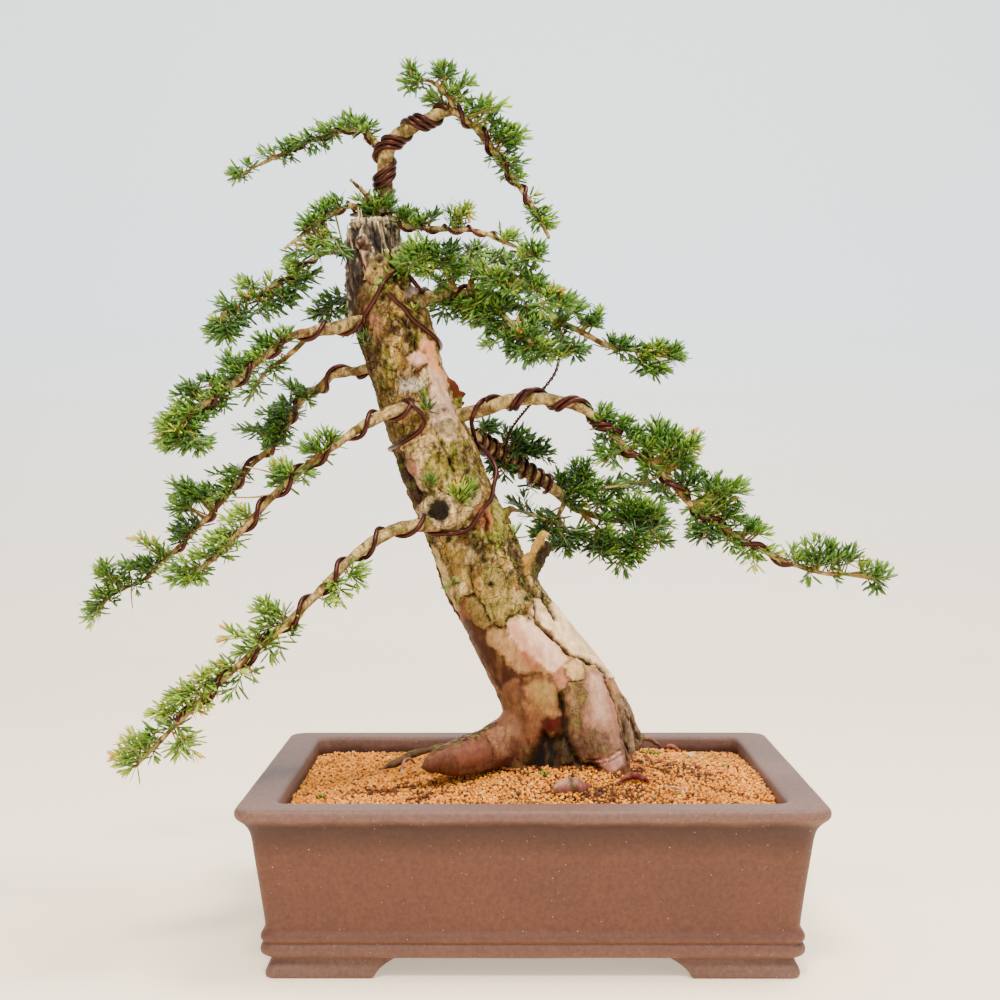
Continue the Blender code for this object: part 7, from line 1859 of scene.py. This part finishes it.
def nearestOn(limbsHere, x, z):
    # The place on any of these limbs that is nearest to a point of the front view
    best = (1e9, None, 0.0)
    for limb, flat in limbsHere:
        away = np.hypot(flat[:, 0] - x, flat[:, 1] - z)
        i = int(away.argmin())
        if away[i] < best[0]:
            best = (away[i], limb, float(limb.runs[i]))
    return best


def fromFront(x, z, y):
    # The point at depth y that is seen at (x, z) from in front
    t = (y - frontEye[1]) / (frontPlane - frontEye[1])
    return Vector((frontEye[0] + (x - frontEye[0]) * t, y, frontEye[2] + (z - frontEye[2]) * t))


def buildSprays():
    total = 0
    for number, (name, seen) in enumerate(shoots.items()):
        spray = Spray(name, 100 + number)
        dice = spray.dice
        ours = [limbs[name]] + [limb for owner, limb in twigLimbs if owner == name]
        wood = [limbs[name].stretch(limbs[name].leafyRun, limbs[name].length)]
        wood += [limb.stretch(0, limb.length) for limb in ours[1:]]
        ours = [(limb, frontView(limb.places)) for limb in ours]
        for view, *line in bareTwigs.get(name, []):
            away, limb, run = nearestOn(ours, *pictureFlat(view, *line[0]))
            root = limb.at(run)[0]
            tipDepth = root.y + dice.uniform(-12, 12)
            route = [root] + [fromFront(*pictureFlat(view, *spot), root.y + (tipDepth - root.y) * share)
                              for spot, share in zip(line, (0.1, 0.5, 1.0))]
            places = smoothRoute(route, 2)[0]
            spray.dryStems.append((places, np.linspace(1.0, 0.55, len(places))))
        for view, rows in seen:
            for x0, y0, x1, y1, youth in rows:
                rootFlat, tipFlat = pictureFlat(view, x0, y0), pictureFlat(view, x1, y1)
                away, limb, run = nearestOn(ours, *rootFlat)
                placeShoot(spray, limb, run, rootFlat, tipFlat, away, youth / 10)
        for view, outline, count in hearts.get(name, []):
            fillTuft(spray, ours, view, outline, count)
        total += spray.finish(["spray_" + name], wood)
    print("needles", total)


def fillTuft(spray, ours, view, outline, count):
    # Short shoots strewn through the dense heart of a tuft
    dice = spray.dice
    outline = onPlane(view, outline)
    low, high = np.min(outline, axis=0), np.max(outline, axis=0)
    while count:
        spot = np.array([[dice.uniform(low[0], high[0]), dice.uniform(low[1], high[1])]])
        if insideShare(spot, outline, 0.1)[0] < 0.5:
            continue
        away, limb, run = nearestOn(ours, *spot[0])
        turn, reach = dice.uniform(*tuftRule["turn"]), dice.uniform(*tuftRule["reach"])
        tip = (spot[0][0] + reach * math.cos(turn), spot[0][1] + reach * math.sin(turn))
        placeShoot(spray, limb, run, tuple(spot[0]), tip, away, dice.uniform(*tuftRule["youth"]),
                   dice.uniform(*tuftRule["forward"]))
        count -= 1


def placeShoot(spray, limb, run, rootFlat, tipFlat, away, youth, forward=None):
    # The seen shoot, and a twin of it that points to the back or to the front
    dice = spray.dice
    seenLength = math.hypot(tipFlat[0] - rootFlat[0], tipFlat[1] - rootFlat[1])
    back, front, fresher = habit.get(spray.name, usualHabit)
    youth = youth if youth > seenRule["budYouth"] else min(seenRule["mostYouth"], youth + fresher)
    for side, chance in ((0, 1), (1, back), (-1, front)) if forward is None else ((0, 1),):
        twin = side != 0
        if dice.random() > chance:
            continue
        slide = dice.uniform(-twinRule["slide"], twinRule["slide"]) if twin else -seenRule["slide"] * away
        start = limb.at(run + slide)[0]
        spread = min(seenRule["mostDepth"], seenRule["depth"] * away)
        depth = start.y + dice.uniform(-1, 1) * spread - (forward or 0)
        if twin:
            least, share = twinRule["depthSpan"]
            spread = min(twinRule["mostDepth"], least + share * away)
            depth = start.y - side * dice.uniform(*twinRule["depth"]) * spread
        knee = fromFront(*rootFlat, depth) if away > needleRule["nearWood"] else start
        if twin:
            nudge = twinRule["nudge"]
            knee = knee + Vector((dice.uniform(-nudge, nudge), 0, dice.uniform(-nudge, nudge)))
        reach = needleRule["twinFront"] if twin else 1.0
        lean = seenLength * (side * dice.uniform(*twinRule["lean"]) if twin
                             else dice.uniform(*seenRule["lean"]) * needleRule["spread"])
        flatTip = [a + (b - a) * reach for a, b in zip(rootFlat, tipFlat)]
        tip = fromFront(*flatTip, knee.y + lean) if not twin else (
            knee + Vector(((flatTip[0] - rootFlat[0]), lean, flatTip[1] - rootFlat[1] + twinRule["lift"])))
        span = max((tip - knee).length, 1e-3)
        out = (tip - knee) / span
        stem = max(needleRule["shortestStem"], span - needleRule["tipReach"])
        extra, fullSpan = seenRule["sizeSpan"]
        size = min(1.0, max(seenRule["smallest"], (span + extra) / fullSpan))
        end = knee + out * stem
        bow = Vector((dice.uniform(-1, 1), dice.uniform(-1, 1), -0.5)) * seenRule["bow"] * stem
        route = [knee, knee.lerp(end, 0.5) + bow, end]
        bare = seenRule["bare"]
        if away > needleRule["nearWood"]:
            route = [start, start.lerp(knee, seenRule["kneeAt"])] + route
            bare = (knee - start).length * seenRule["kneeBare"]
        fresh = youth + dice.uniform(-seenRule["youth"], seenRule["youth"])
        spray.shoot(route, bare, fresh - (twinRule["older"] if twin else 0), size=size)
        if stem > seenRule["sidesFrom"] and not twin:
            sideShoots(spray, knee, end, youth)


def sideShoots(spray, knee, end, youth):
    # Shorter shoots to both sides of a seen one, which fill the tuft
    dice = spray.dice
    for way in (-1, 1):
        if dice.random() > sideShare.get(spray.name, sideRule["chance"]):
            continue
        foot = knee.lerp(end, dice.uniform(*sideRule["foot"]))
        turn = Matrix.Rotation(way * dice.uniform(*sideRule["turn"]), 3, "Y")
        reach = turn @ (end - knee) * dice.uniform(*sideRule["reach"])
        reach.y += dice.uniform(-sideRule["depth"], sideRule["depth"])
        if reach.length > sideRule["shortest"]:
            spray.shoot([foot, foot + reach * 0.5, foot + reach], sideRule["bare"],
                        youth + dice.uniform(*sideRule["youth"]), size=sideRule["size"])


def buildSprigs():
    # Little shoots that grow straight from the trunk's bark: root, tip, youth, in photo pixels / 10
    seen = [(42.9, 48.8, 42.7, 47.2, 3), (42.9, 48.6, 42.2, 47.6, 3), (42.9, 48.6, 43.6, 47.8, 4),
            (46.1, 50.4, 44.8, 48.6, 8), (46.1, 50.4, 45.6, 48.0, 9), (46.2, 50.4, 46.2, 48.4, 7),
            (46.2, 50.5, 47.5, 47.9, 5), (46.1, 50.6, 46.9, 49.7, 6), (46.1, 50.5, 45.5, 48.6, 10),
            (45.2, 58.5, 45.2, 57.8, 4), (45.2, 58.5, 44.6, 58.8, 4), (45.3, 58.5, 45.9, 58.3, 3),
            (51.2, 53.9, 51.5, 52.4, 6), (51.2, 53.9, 51.0, 52.8, 7), (42.8, 41.3, 42.2, 39.2, 4),
            (42.8, 41.2, 43.2, 40.0, 3), (42.6, 41.0, 41.9, 40.2, 4), (36.9, 34.6, 35.6, 33.4, 3),
            (36.9, 34.4, 36.6, 32.8, 4), (36.9, 34.6, 37.2, 33.6, 3), (39.9, 42.0, 39.4, 41.0, 5),
            (41.3, 31.2, 41.4, 30.2, 8), (40.6, 28.2, 38.4, 25.2, 8), (40.2, 28.2, 37.8, 27.4, 8),
            (40.6, 28.0, 39.6, 25.4, 9), (40.8, 28.0, 40.6, 25.4, 7), (41.2, 28.0, 41.2, 24.2, 9),
            (41.6, 28.2, 42.0, 24.6, 8), (41.4, 28.4, 40.0, 26.8, 7), (41.6, 28.6, 43.6, 28.9, 7),
            (41.8, 28.2, 43.0, 26.6, 6), (42.2, 29.4, 43.6, 28.0, 6), (42.2, 29.4, 44.4, 28.9, 6),
            (42.2, 29.4, 42.6, 28.0, 5), (42.2, 29.6, 43.6, 30.6, 5), (38.8, 28.6, 37.6, 27.8, 5)]
    spray = Spray("trunkSprigs", 300)
    for x0, y0, x1, y1, youth in seen:
        sight = fromFront(*pictureFlat("picture", x0, y0), frontPlane) - Vector(camera["place"])
        hit, normal, _, _ = trunkTree.ray_cast(Vector(camera["place"]), sight.normalized())
        if hit is None or hit.y > 60:
            continue
        tip = fromFront(*pictureFlat("picture", x1, y1), hit.y - 5)
        span = (tip - hit).length
        stem = max(3.0, span - 8)
        spray.shoot([hit - normal, hit.lerp(tip, 0.5 * stem / span) + normal, hit.lerp(tip, stem / span)],
                    1.0, youth / 10, size=min(1.0, max(0.55, span / 16)))
    spray.finish((), [])


buildSprays()
buildSprigs()
print("step 7: foliage")


# Soil

def soilLevel(x, y):
    # The mound's height: highest a little behind the trunk's foot
    return 116 + 28 * math.exp(-((x - 40) / 140) ** 2 - ((y + 10) / 120) ** 2)


def buildGrains():
    grain = dict(pitch=2.6, radius=(0.85, 1.75), seed=8, sink=0.35, halfX=196.5, halfY=141.5, corner=12,
                 sway=1.2, bigChance=0.06, big=1.25, deepest=2, lift=(-0.5, 0.6), rowPitch=0.866,
                 sizes=[(0.8, 1.15), (0.75, 1.1), (0.65, 0.95)], tone=(0.52, 0.22), damped=0.45,
                 darkChance=(0.08, 0.5), darkTone=(0, 0.12), woodShadeAndDamp=(0.8, 5),
                 damp=[(-84, -82, 16, 8), (60, -104, 40, 16), (120, -20, 40, 30), (-120, -50, 40, 12)])
    soil = bpy.data.objects["soil"]
    inverse = toRow.inverted()
    soilTree = BVHTree.FromPolygons([inverse @ (soil.matrix_world @ v.co) for v in soil.data.vertices],
                                    [tuple(p.vertices) for p in soil.data.polygons])
    dice = random.Random(grain["seed"])
    bm = bmesh.new()
    bmesh.ops.create_uvsphere(bm, u_segments=4, v_segments=3, radius=1.08)   # 16 triangles a grain
    bmesh.ops.triangulate(bm, faces=bm.faces)
    template = meshOf(bm, "grain")
    placed, tones = [], []
    halfX, halfY, corner = grain["halfX"], grain["halfY"], grain["corner"]
    y = -halfY
    while y < halfY:
        x = -halfX
        while x < halfX:
            px, py = [at + dice.uniform(-1, 1) * grain["sway"] for at in (x, y)]
            x += grain["pitch"]
            if math.hypot(max(0, abs(px) - halfX + corner), max(0, abs(py) - halfY + corner)) > corner:
                continue
            hit = soilTree.ray_cast(Vector((px, py, 200)), Vector((0, 0, -1)))[0]
            if hit is None:
                continue
            radius = dice.uniform(*grain["radius"])
            radius *= grain["big"] if dice.random() < grain["bigChance"] else 1.0
            if hit.z < soilLevel(px, py) - grain["deepest"]:
                hit.z = soilLevel(px, py)
            inside, normal, _, gap = trunkTree.find_nearest(Vector((px, py, hit.z)), 200)
            if (Vector((px, py, hit.z)) - inside).dot(normal) < -max(radius, 0.7 * gap):
                continue
            place = Vector((px, py, hit.z + radius * (1 - grain["sink"]) + dice.uniform(*grain["lift"])))
            turn = Matrix.Rotation(dice.uniform(0, 6.28), 4, Vector((dice.uniform(-1, 1),
                                   dice.uniform(-1, 1), dice.uniform(-1, 1))).normalized())
            scale = Matrix.Diagonal([radius * dice.uniform(*span) for span in grain["sizes"]] + [1])
            placed.append(np.array(Matrix.Translation(place) @ turn @ scale))
            damp = sum(math.exp(-((px - x0) / w) ** 2 - ((py - y0) / d) ** 2)
                       for x0, y0, w, d in grain["damp"])
            # Grains near the trunk are darker: painted shade at the trunk's foot, and damp
            nearWood, woodReach = grain["woodShadeAndDamp"]
            damp += nearWood * math.exp(-(gap / woodReach) ** 2)
            dark, darker = grain["darkChance"]
            tones.append(max(0, min(1, dice.gauss(*grain["tone"])) - grain["damped"] * damp * dice.random())
                         if dice.random() > dark + darker * damp else dice.uniform(*grain["darkTone"]))
        y += grain["pitch"] * grain["rowPitch"]
    middle = len(placed) // 2
    for name, part in (("front", slice(0, middle)), ("back", slice(middle, None))):
        mesh, owner = repeatedMesh(template, placed[part], "grains")
        setNumber(mesh, "tone", np.array(tones[part])[owner])
        finishPiece("clayGrains_" + name, mesh, [clayGrain], smooth=False)
    soil.data.materials.clear()
    soil.data.materials.append(clayBed)
    print("grains", len(placed))


def buildScraps():
    # A root that comes up again in front, root scraps, pebbles and moss, all lying on the clay
    lying = [   # colour, end colour, flakiness, places with radii
        ("#8a5248", "#b98d74", 0.45, [(20, -94, 130, 4), (23, -97, 134, 6.6), (29, -98, 136, 7.6),
                                      (36, -98, 135.5, 7.2), (41, -97, 135, 5), (45, -96, 136, 2.2),
                                      (48, -95, 137, 0.8)]),
        ("#7a4a3c", "#3a1c16", 0.4, [(48, -99, 133, 0.9), (52, -104, 131, 0.7), (56, -108, 129.5, 0.5)]),
        ("#7a4a3c", "#3a1c16", 0.4, [(26, -103, 132, 0.8), (22, -107, 129.5, 0.6), (15, -110, 128, 0.5)]),
        ("#5a1e1c", "#8a4a44", 0.3, [(71, -83, 137, 1.2), (76, -81, 140, 2.6), (83, -80, 141, 3),
                                     (90, -79, 139, 2.4), (95, -79, 136, 1)]),
        ("#3a2218", "#5c3a2a", 0.9, [(37, -110, 128, 2.5), (42, -108, 130, 4), (48, -108, 129, 2)]),
        ("#6a2c24", "#8f5346", 0.3, [(118, 30, 143, 1), (121, 28, 145, 2.2), (126, 27, 144, 2),
                                     (129, 26, 142, 0.8)]),
        ("#7b4436", "#4a241c", 0.3, [(84, -56, 140, 0.8), (88, -55, 143, 1.4), (93, -57, 141, 0.8)]),
        ("#a06a5c", "#7b4436", 0.3, [(-96, -38, 144, 1), (-99, -44, 148, 1.1), (-103, -50, 148, 1.1),
                                     (-105, -56, 143, 0.9), (-105, -60, 138, 0.7)]),
        ("#c9b08c", "#8a6a48", 0.3, [(112, -92, 132, 0.6), (117, -99, 132.5, 0.6), (120, -108, 130, 0.5)]),
        ("#c9b08c", "#8a6a48", 0.3, [(108, -86, 134, 0.5), (114, -88, 134, 0.6), (122, -86, 132, 0.5)]),
        ("#5c3a26", "#8a6a48", 0.4, [(60, 78, 141, 0.9), (74, 80, 141, 0.8), (88, 76, 139, 0.7)]),
    ]
    parts = []
    for low, high, flaky, route in lying:
        places, radii = smoothRoute(route, 0.9)[:2]
        mesh = sweptMesh([(places, radii)], 12)
        points, normals = pointsOf(mesh), normalsOf(mesh)
        thick = float(np.max(radii))
        setPoints(mesh, points + normals * (0.09 * thick * field(points, 1.2 * thick + 0.5, 81))[:, None])
        colours = tinted(plain(points, low),
                         ease(field(points, 2 + thick, 82), -0.2, 0.5) * 0.8, high)
        if thick > 5:
            band = np.exp(-((points[:, 0] - 34 + 0.4 * points[:, 2] - 54) / 2.6) ** 2)
            colours = tinted(colours, band * 0.9, "#22130e")
            colours = tinted(colours, ease(points[:, 0], 41, 45) * 0.8, "#7c2c34")
        setTint(mesh, colours)
        setNumber(mesh, "flaky", np.full(len(points), flaky))
        parts.append(mesh)
    finishPiece("rootScraps", joined(parts, "scraps"), [bark])
    lumpsLying = [   # x, y, half sizes, colour
        (144, 60, (4.6, 3.4, 3.2), "#d9bd8c"), (95, -110, (2.4, 2, 1.8), "#a07a58"),
        (-40, -96, (1.8, 1.6, 1.4), "#d8c09a"), (152, 52, (2.2, 2, 1.8), "#c9a878"),
        (-150, -100, (1.7, 1.5, 1.3), "#d8c09a")]
    moss = [(106, 45, 5, 26), (9, -62, 4, 16), (-170, -60, 3.4, 12), (112, 38, 3.4, 12),
            (168, 20, 3, 10), (60, 60, 4, 10)]   # x, y, spread, count
    dice = random.Random(71)
    bm = bmesh.new()
    bmesh.ops.create_icosphere(bm, subdivisions=2, radius=1.0)
    pebble = meshOf(bm, "pebble")
    for x, y, spread, count in moss:
        lumpsLying += [(x + dice.gauss(0, spread * 0.5), y + dice.gauss(0, spread * 0.5),
                        (dice.uniform(0.5, 1.1), dice.uniform(0.5, 1.1), dice.uniform(0.9, 1.8)),
                        dice.choice(["#5f7a1c", "#3f5a14", "#8a9a30"])) for _ in range(count)]
    placed = []
    for x, y, (a, b, c), _ in lumpsLying:
        spot = Matrix.Translation((x, y, soilLevel(x, y) + 1.4 + 0.6 * c))
        spot = spot @ Matrix.Rotation(dice.uniform(0, 3), 4, "Z")
        placed.append(np.array(spot @ Matrix.Diagonal((a, b, c, 1))))
    mesh, owner = repeatedMesh(pebble, placed, "pebbles")
    points = pointsOf(mesh)
    setPoints(mesh, points + normalsOf(mesh) * (0.3 * field(points, 2.2, 83))[:, None])
    setTint(mesh, np.array([hexColour(code)[:3] for *_, code in lumpsLying])[owner])
    setNumber(mesh, "flaky", np.full(len(points), 0.5))
    finishPiece("pebblesAndMoss", mesh, [bark])


buildGrains()
buildScraps()
print("step 8: soil")


# Stage, light and camera

def buildStage():
    floor = dict(width=6.0, depth=5.0, rise=4.0, curve=1.2, front=2.6, glow=0.62, fade=0.7,
                 low="#fdebcf", high="#dcebf6")
    bm = bmesh.new()
    bmesh.ops.create_grid(bm, x_segments=2, y_segments=40, size=0.5)
    for vert in bm.verts:
        run = (vert.co.y + 0.5) * (floor["depth"] + floor["rise"])
        flatRun = floor["depth"] - floor["curve"]
        turn = min(max((run - flatRun) / floor["curve"], 0.0), math.pi / 2)
        y = min(run, flatRun) + floor["curve"] * math.sin(turn)
        z = floor["curve"] * (1 - math.cos(turn)) + max(0.0, run - flatRun - floor["curve"] * math.pi / 2)
        vert.co = (vert.co.x * floor["width"], y - floor["front"], z)
    mesh = meshOf(bm, "cyclorama")
    mesh.polygons.foreach_set("use_smooth", [True] * len(mesh.polygons))
    material, add = newMaterial("paintedBackdrop")
    height = add("SeparateXYZ", {"Vector": objectPoints(add)})
    share = add("MapRange", {"Value": (height, "Z"), **limits(0, floor["fade"])})
    colour = (add("Mix", {0: (share, "Result"), 6: floor["low"], 7: floor["high"]}), 2)
    mesh.materials.append(surfaced(material, {
        "Base Color": colour, "Emission Color": colour, "Emission Strength": floor["glow"],
        "Roughness": 0.9}))
    addObject("cyclorama", mesh)


def buildLights():
    world = bpy.data.worlds.new("softRoom")
    world.use_nodes = True
    world.node_tree.nodes["Background"].inputs["Color"].default_value = hexColour("#eef3f8")
    world.node_tree.nodes["Background"].inputs["Strength"].default_value = 0.95
    bpy.context.scene.world = world
    lamps = dict(   # place, watts, size, colour
        key=((-0.25, -1.6, 2.4), 92, 0.6, "#fff0dc"),
        fill=((1.6, -1.3, 1.0), 12, 1.6, "#eef4ff"),
        top=((0.7, -0.1, 2.3), 78, 0.9, "#fff8ec"))
    aim = Vector((potCentre.x - 0.03, 0, 0.33))
    for name, (place, watts, size, code) in lamps.items():
        light = bpy.data.lights.new(name, "AREA")
        light.energy = watts
        light.size = size
        light.color = hexColour(code)[:3]
        lamp = addObject(name, light)
        lamp.location = Vector(place) + Vector((potCentre.x, 0, 0))
        lamp.rotation_euler = (aim - lamp.location).to_track_quat("-Z", "Y").to_euler()


def buildCamera():
    # Stands at the height of the middle branches, 1.35 m in front of the pot
    right, upward, ahead = cameraAxes()
    turn = Matrix((right, upward, -ahead)).transposed().to_4x4()
    data = bpy.data.cameras.new("front")
    data.lens = camera["lens"]
    data.sensor_width = camera["sensor"]
    data.clip_start = 0.01
    seenFrom = addObject("front", data)
    seenFrom.matrix_world = Matrix.Translation(toRow @ Vector(camera["place"])) @ turn
    bpy.context.scene.camera = seenFrom


buildStage()
buildLights()
buildCamera()
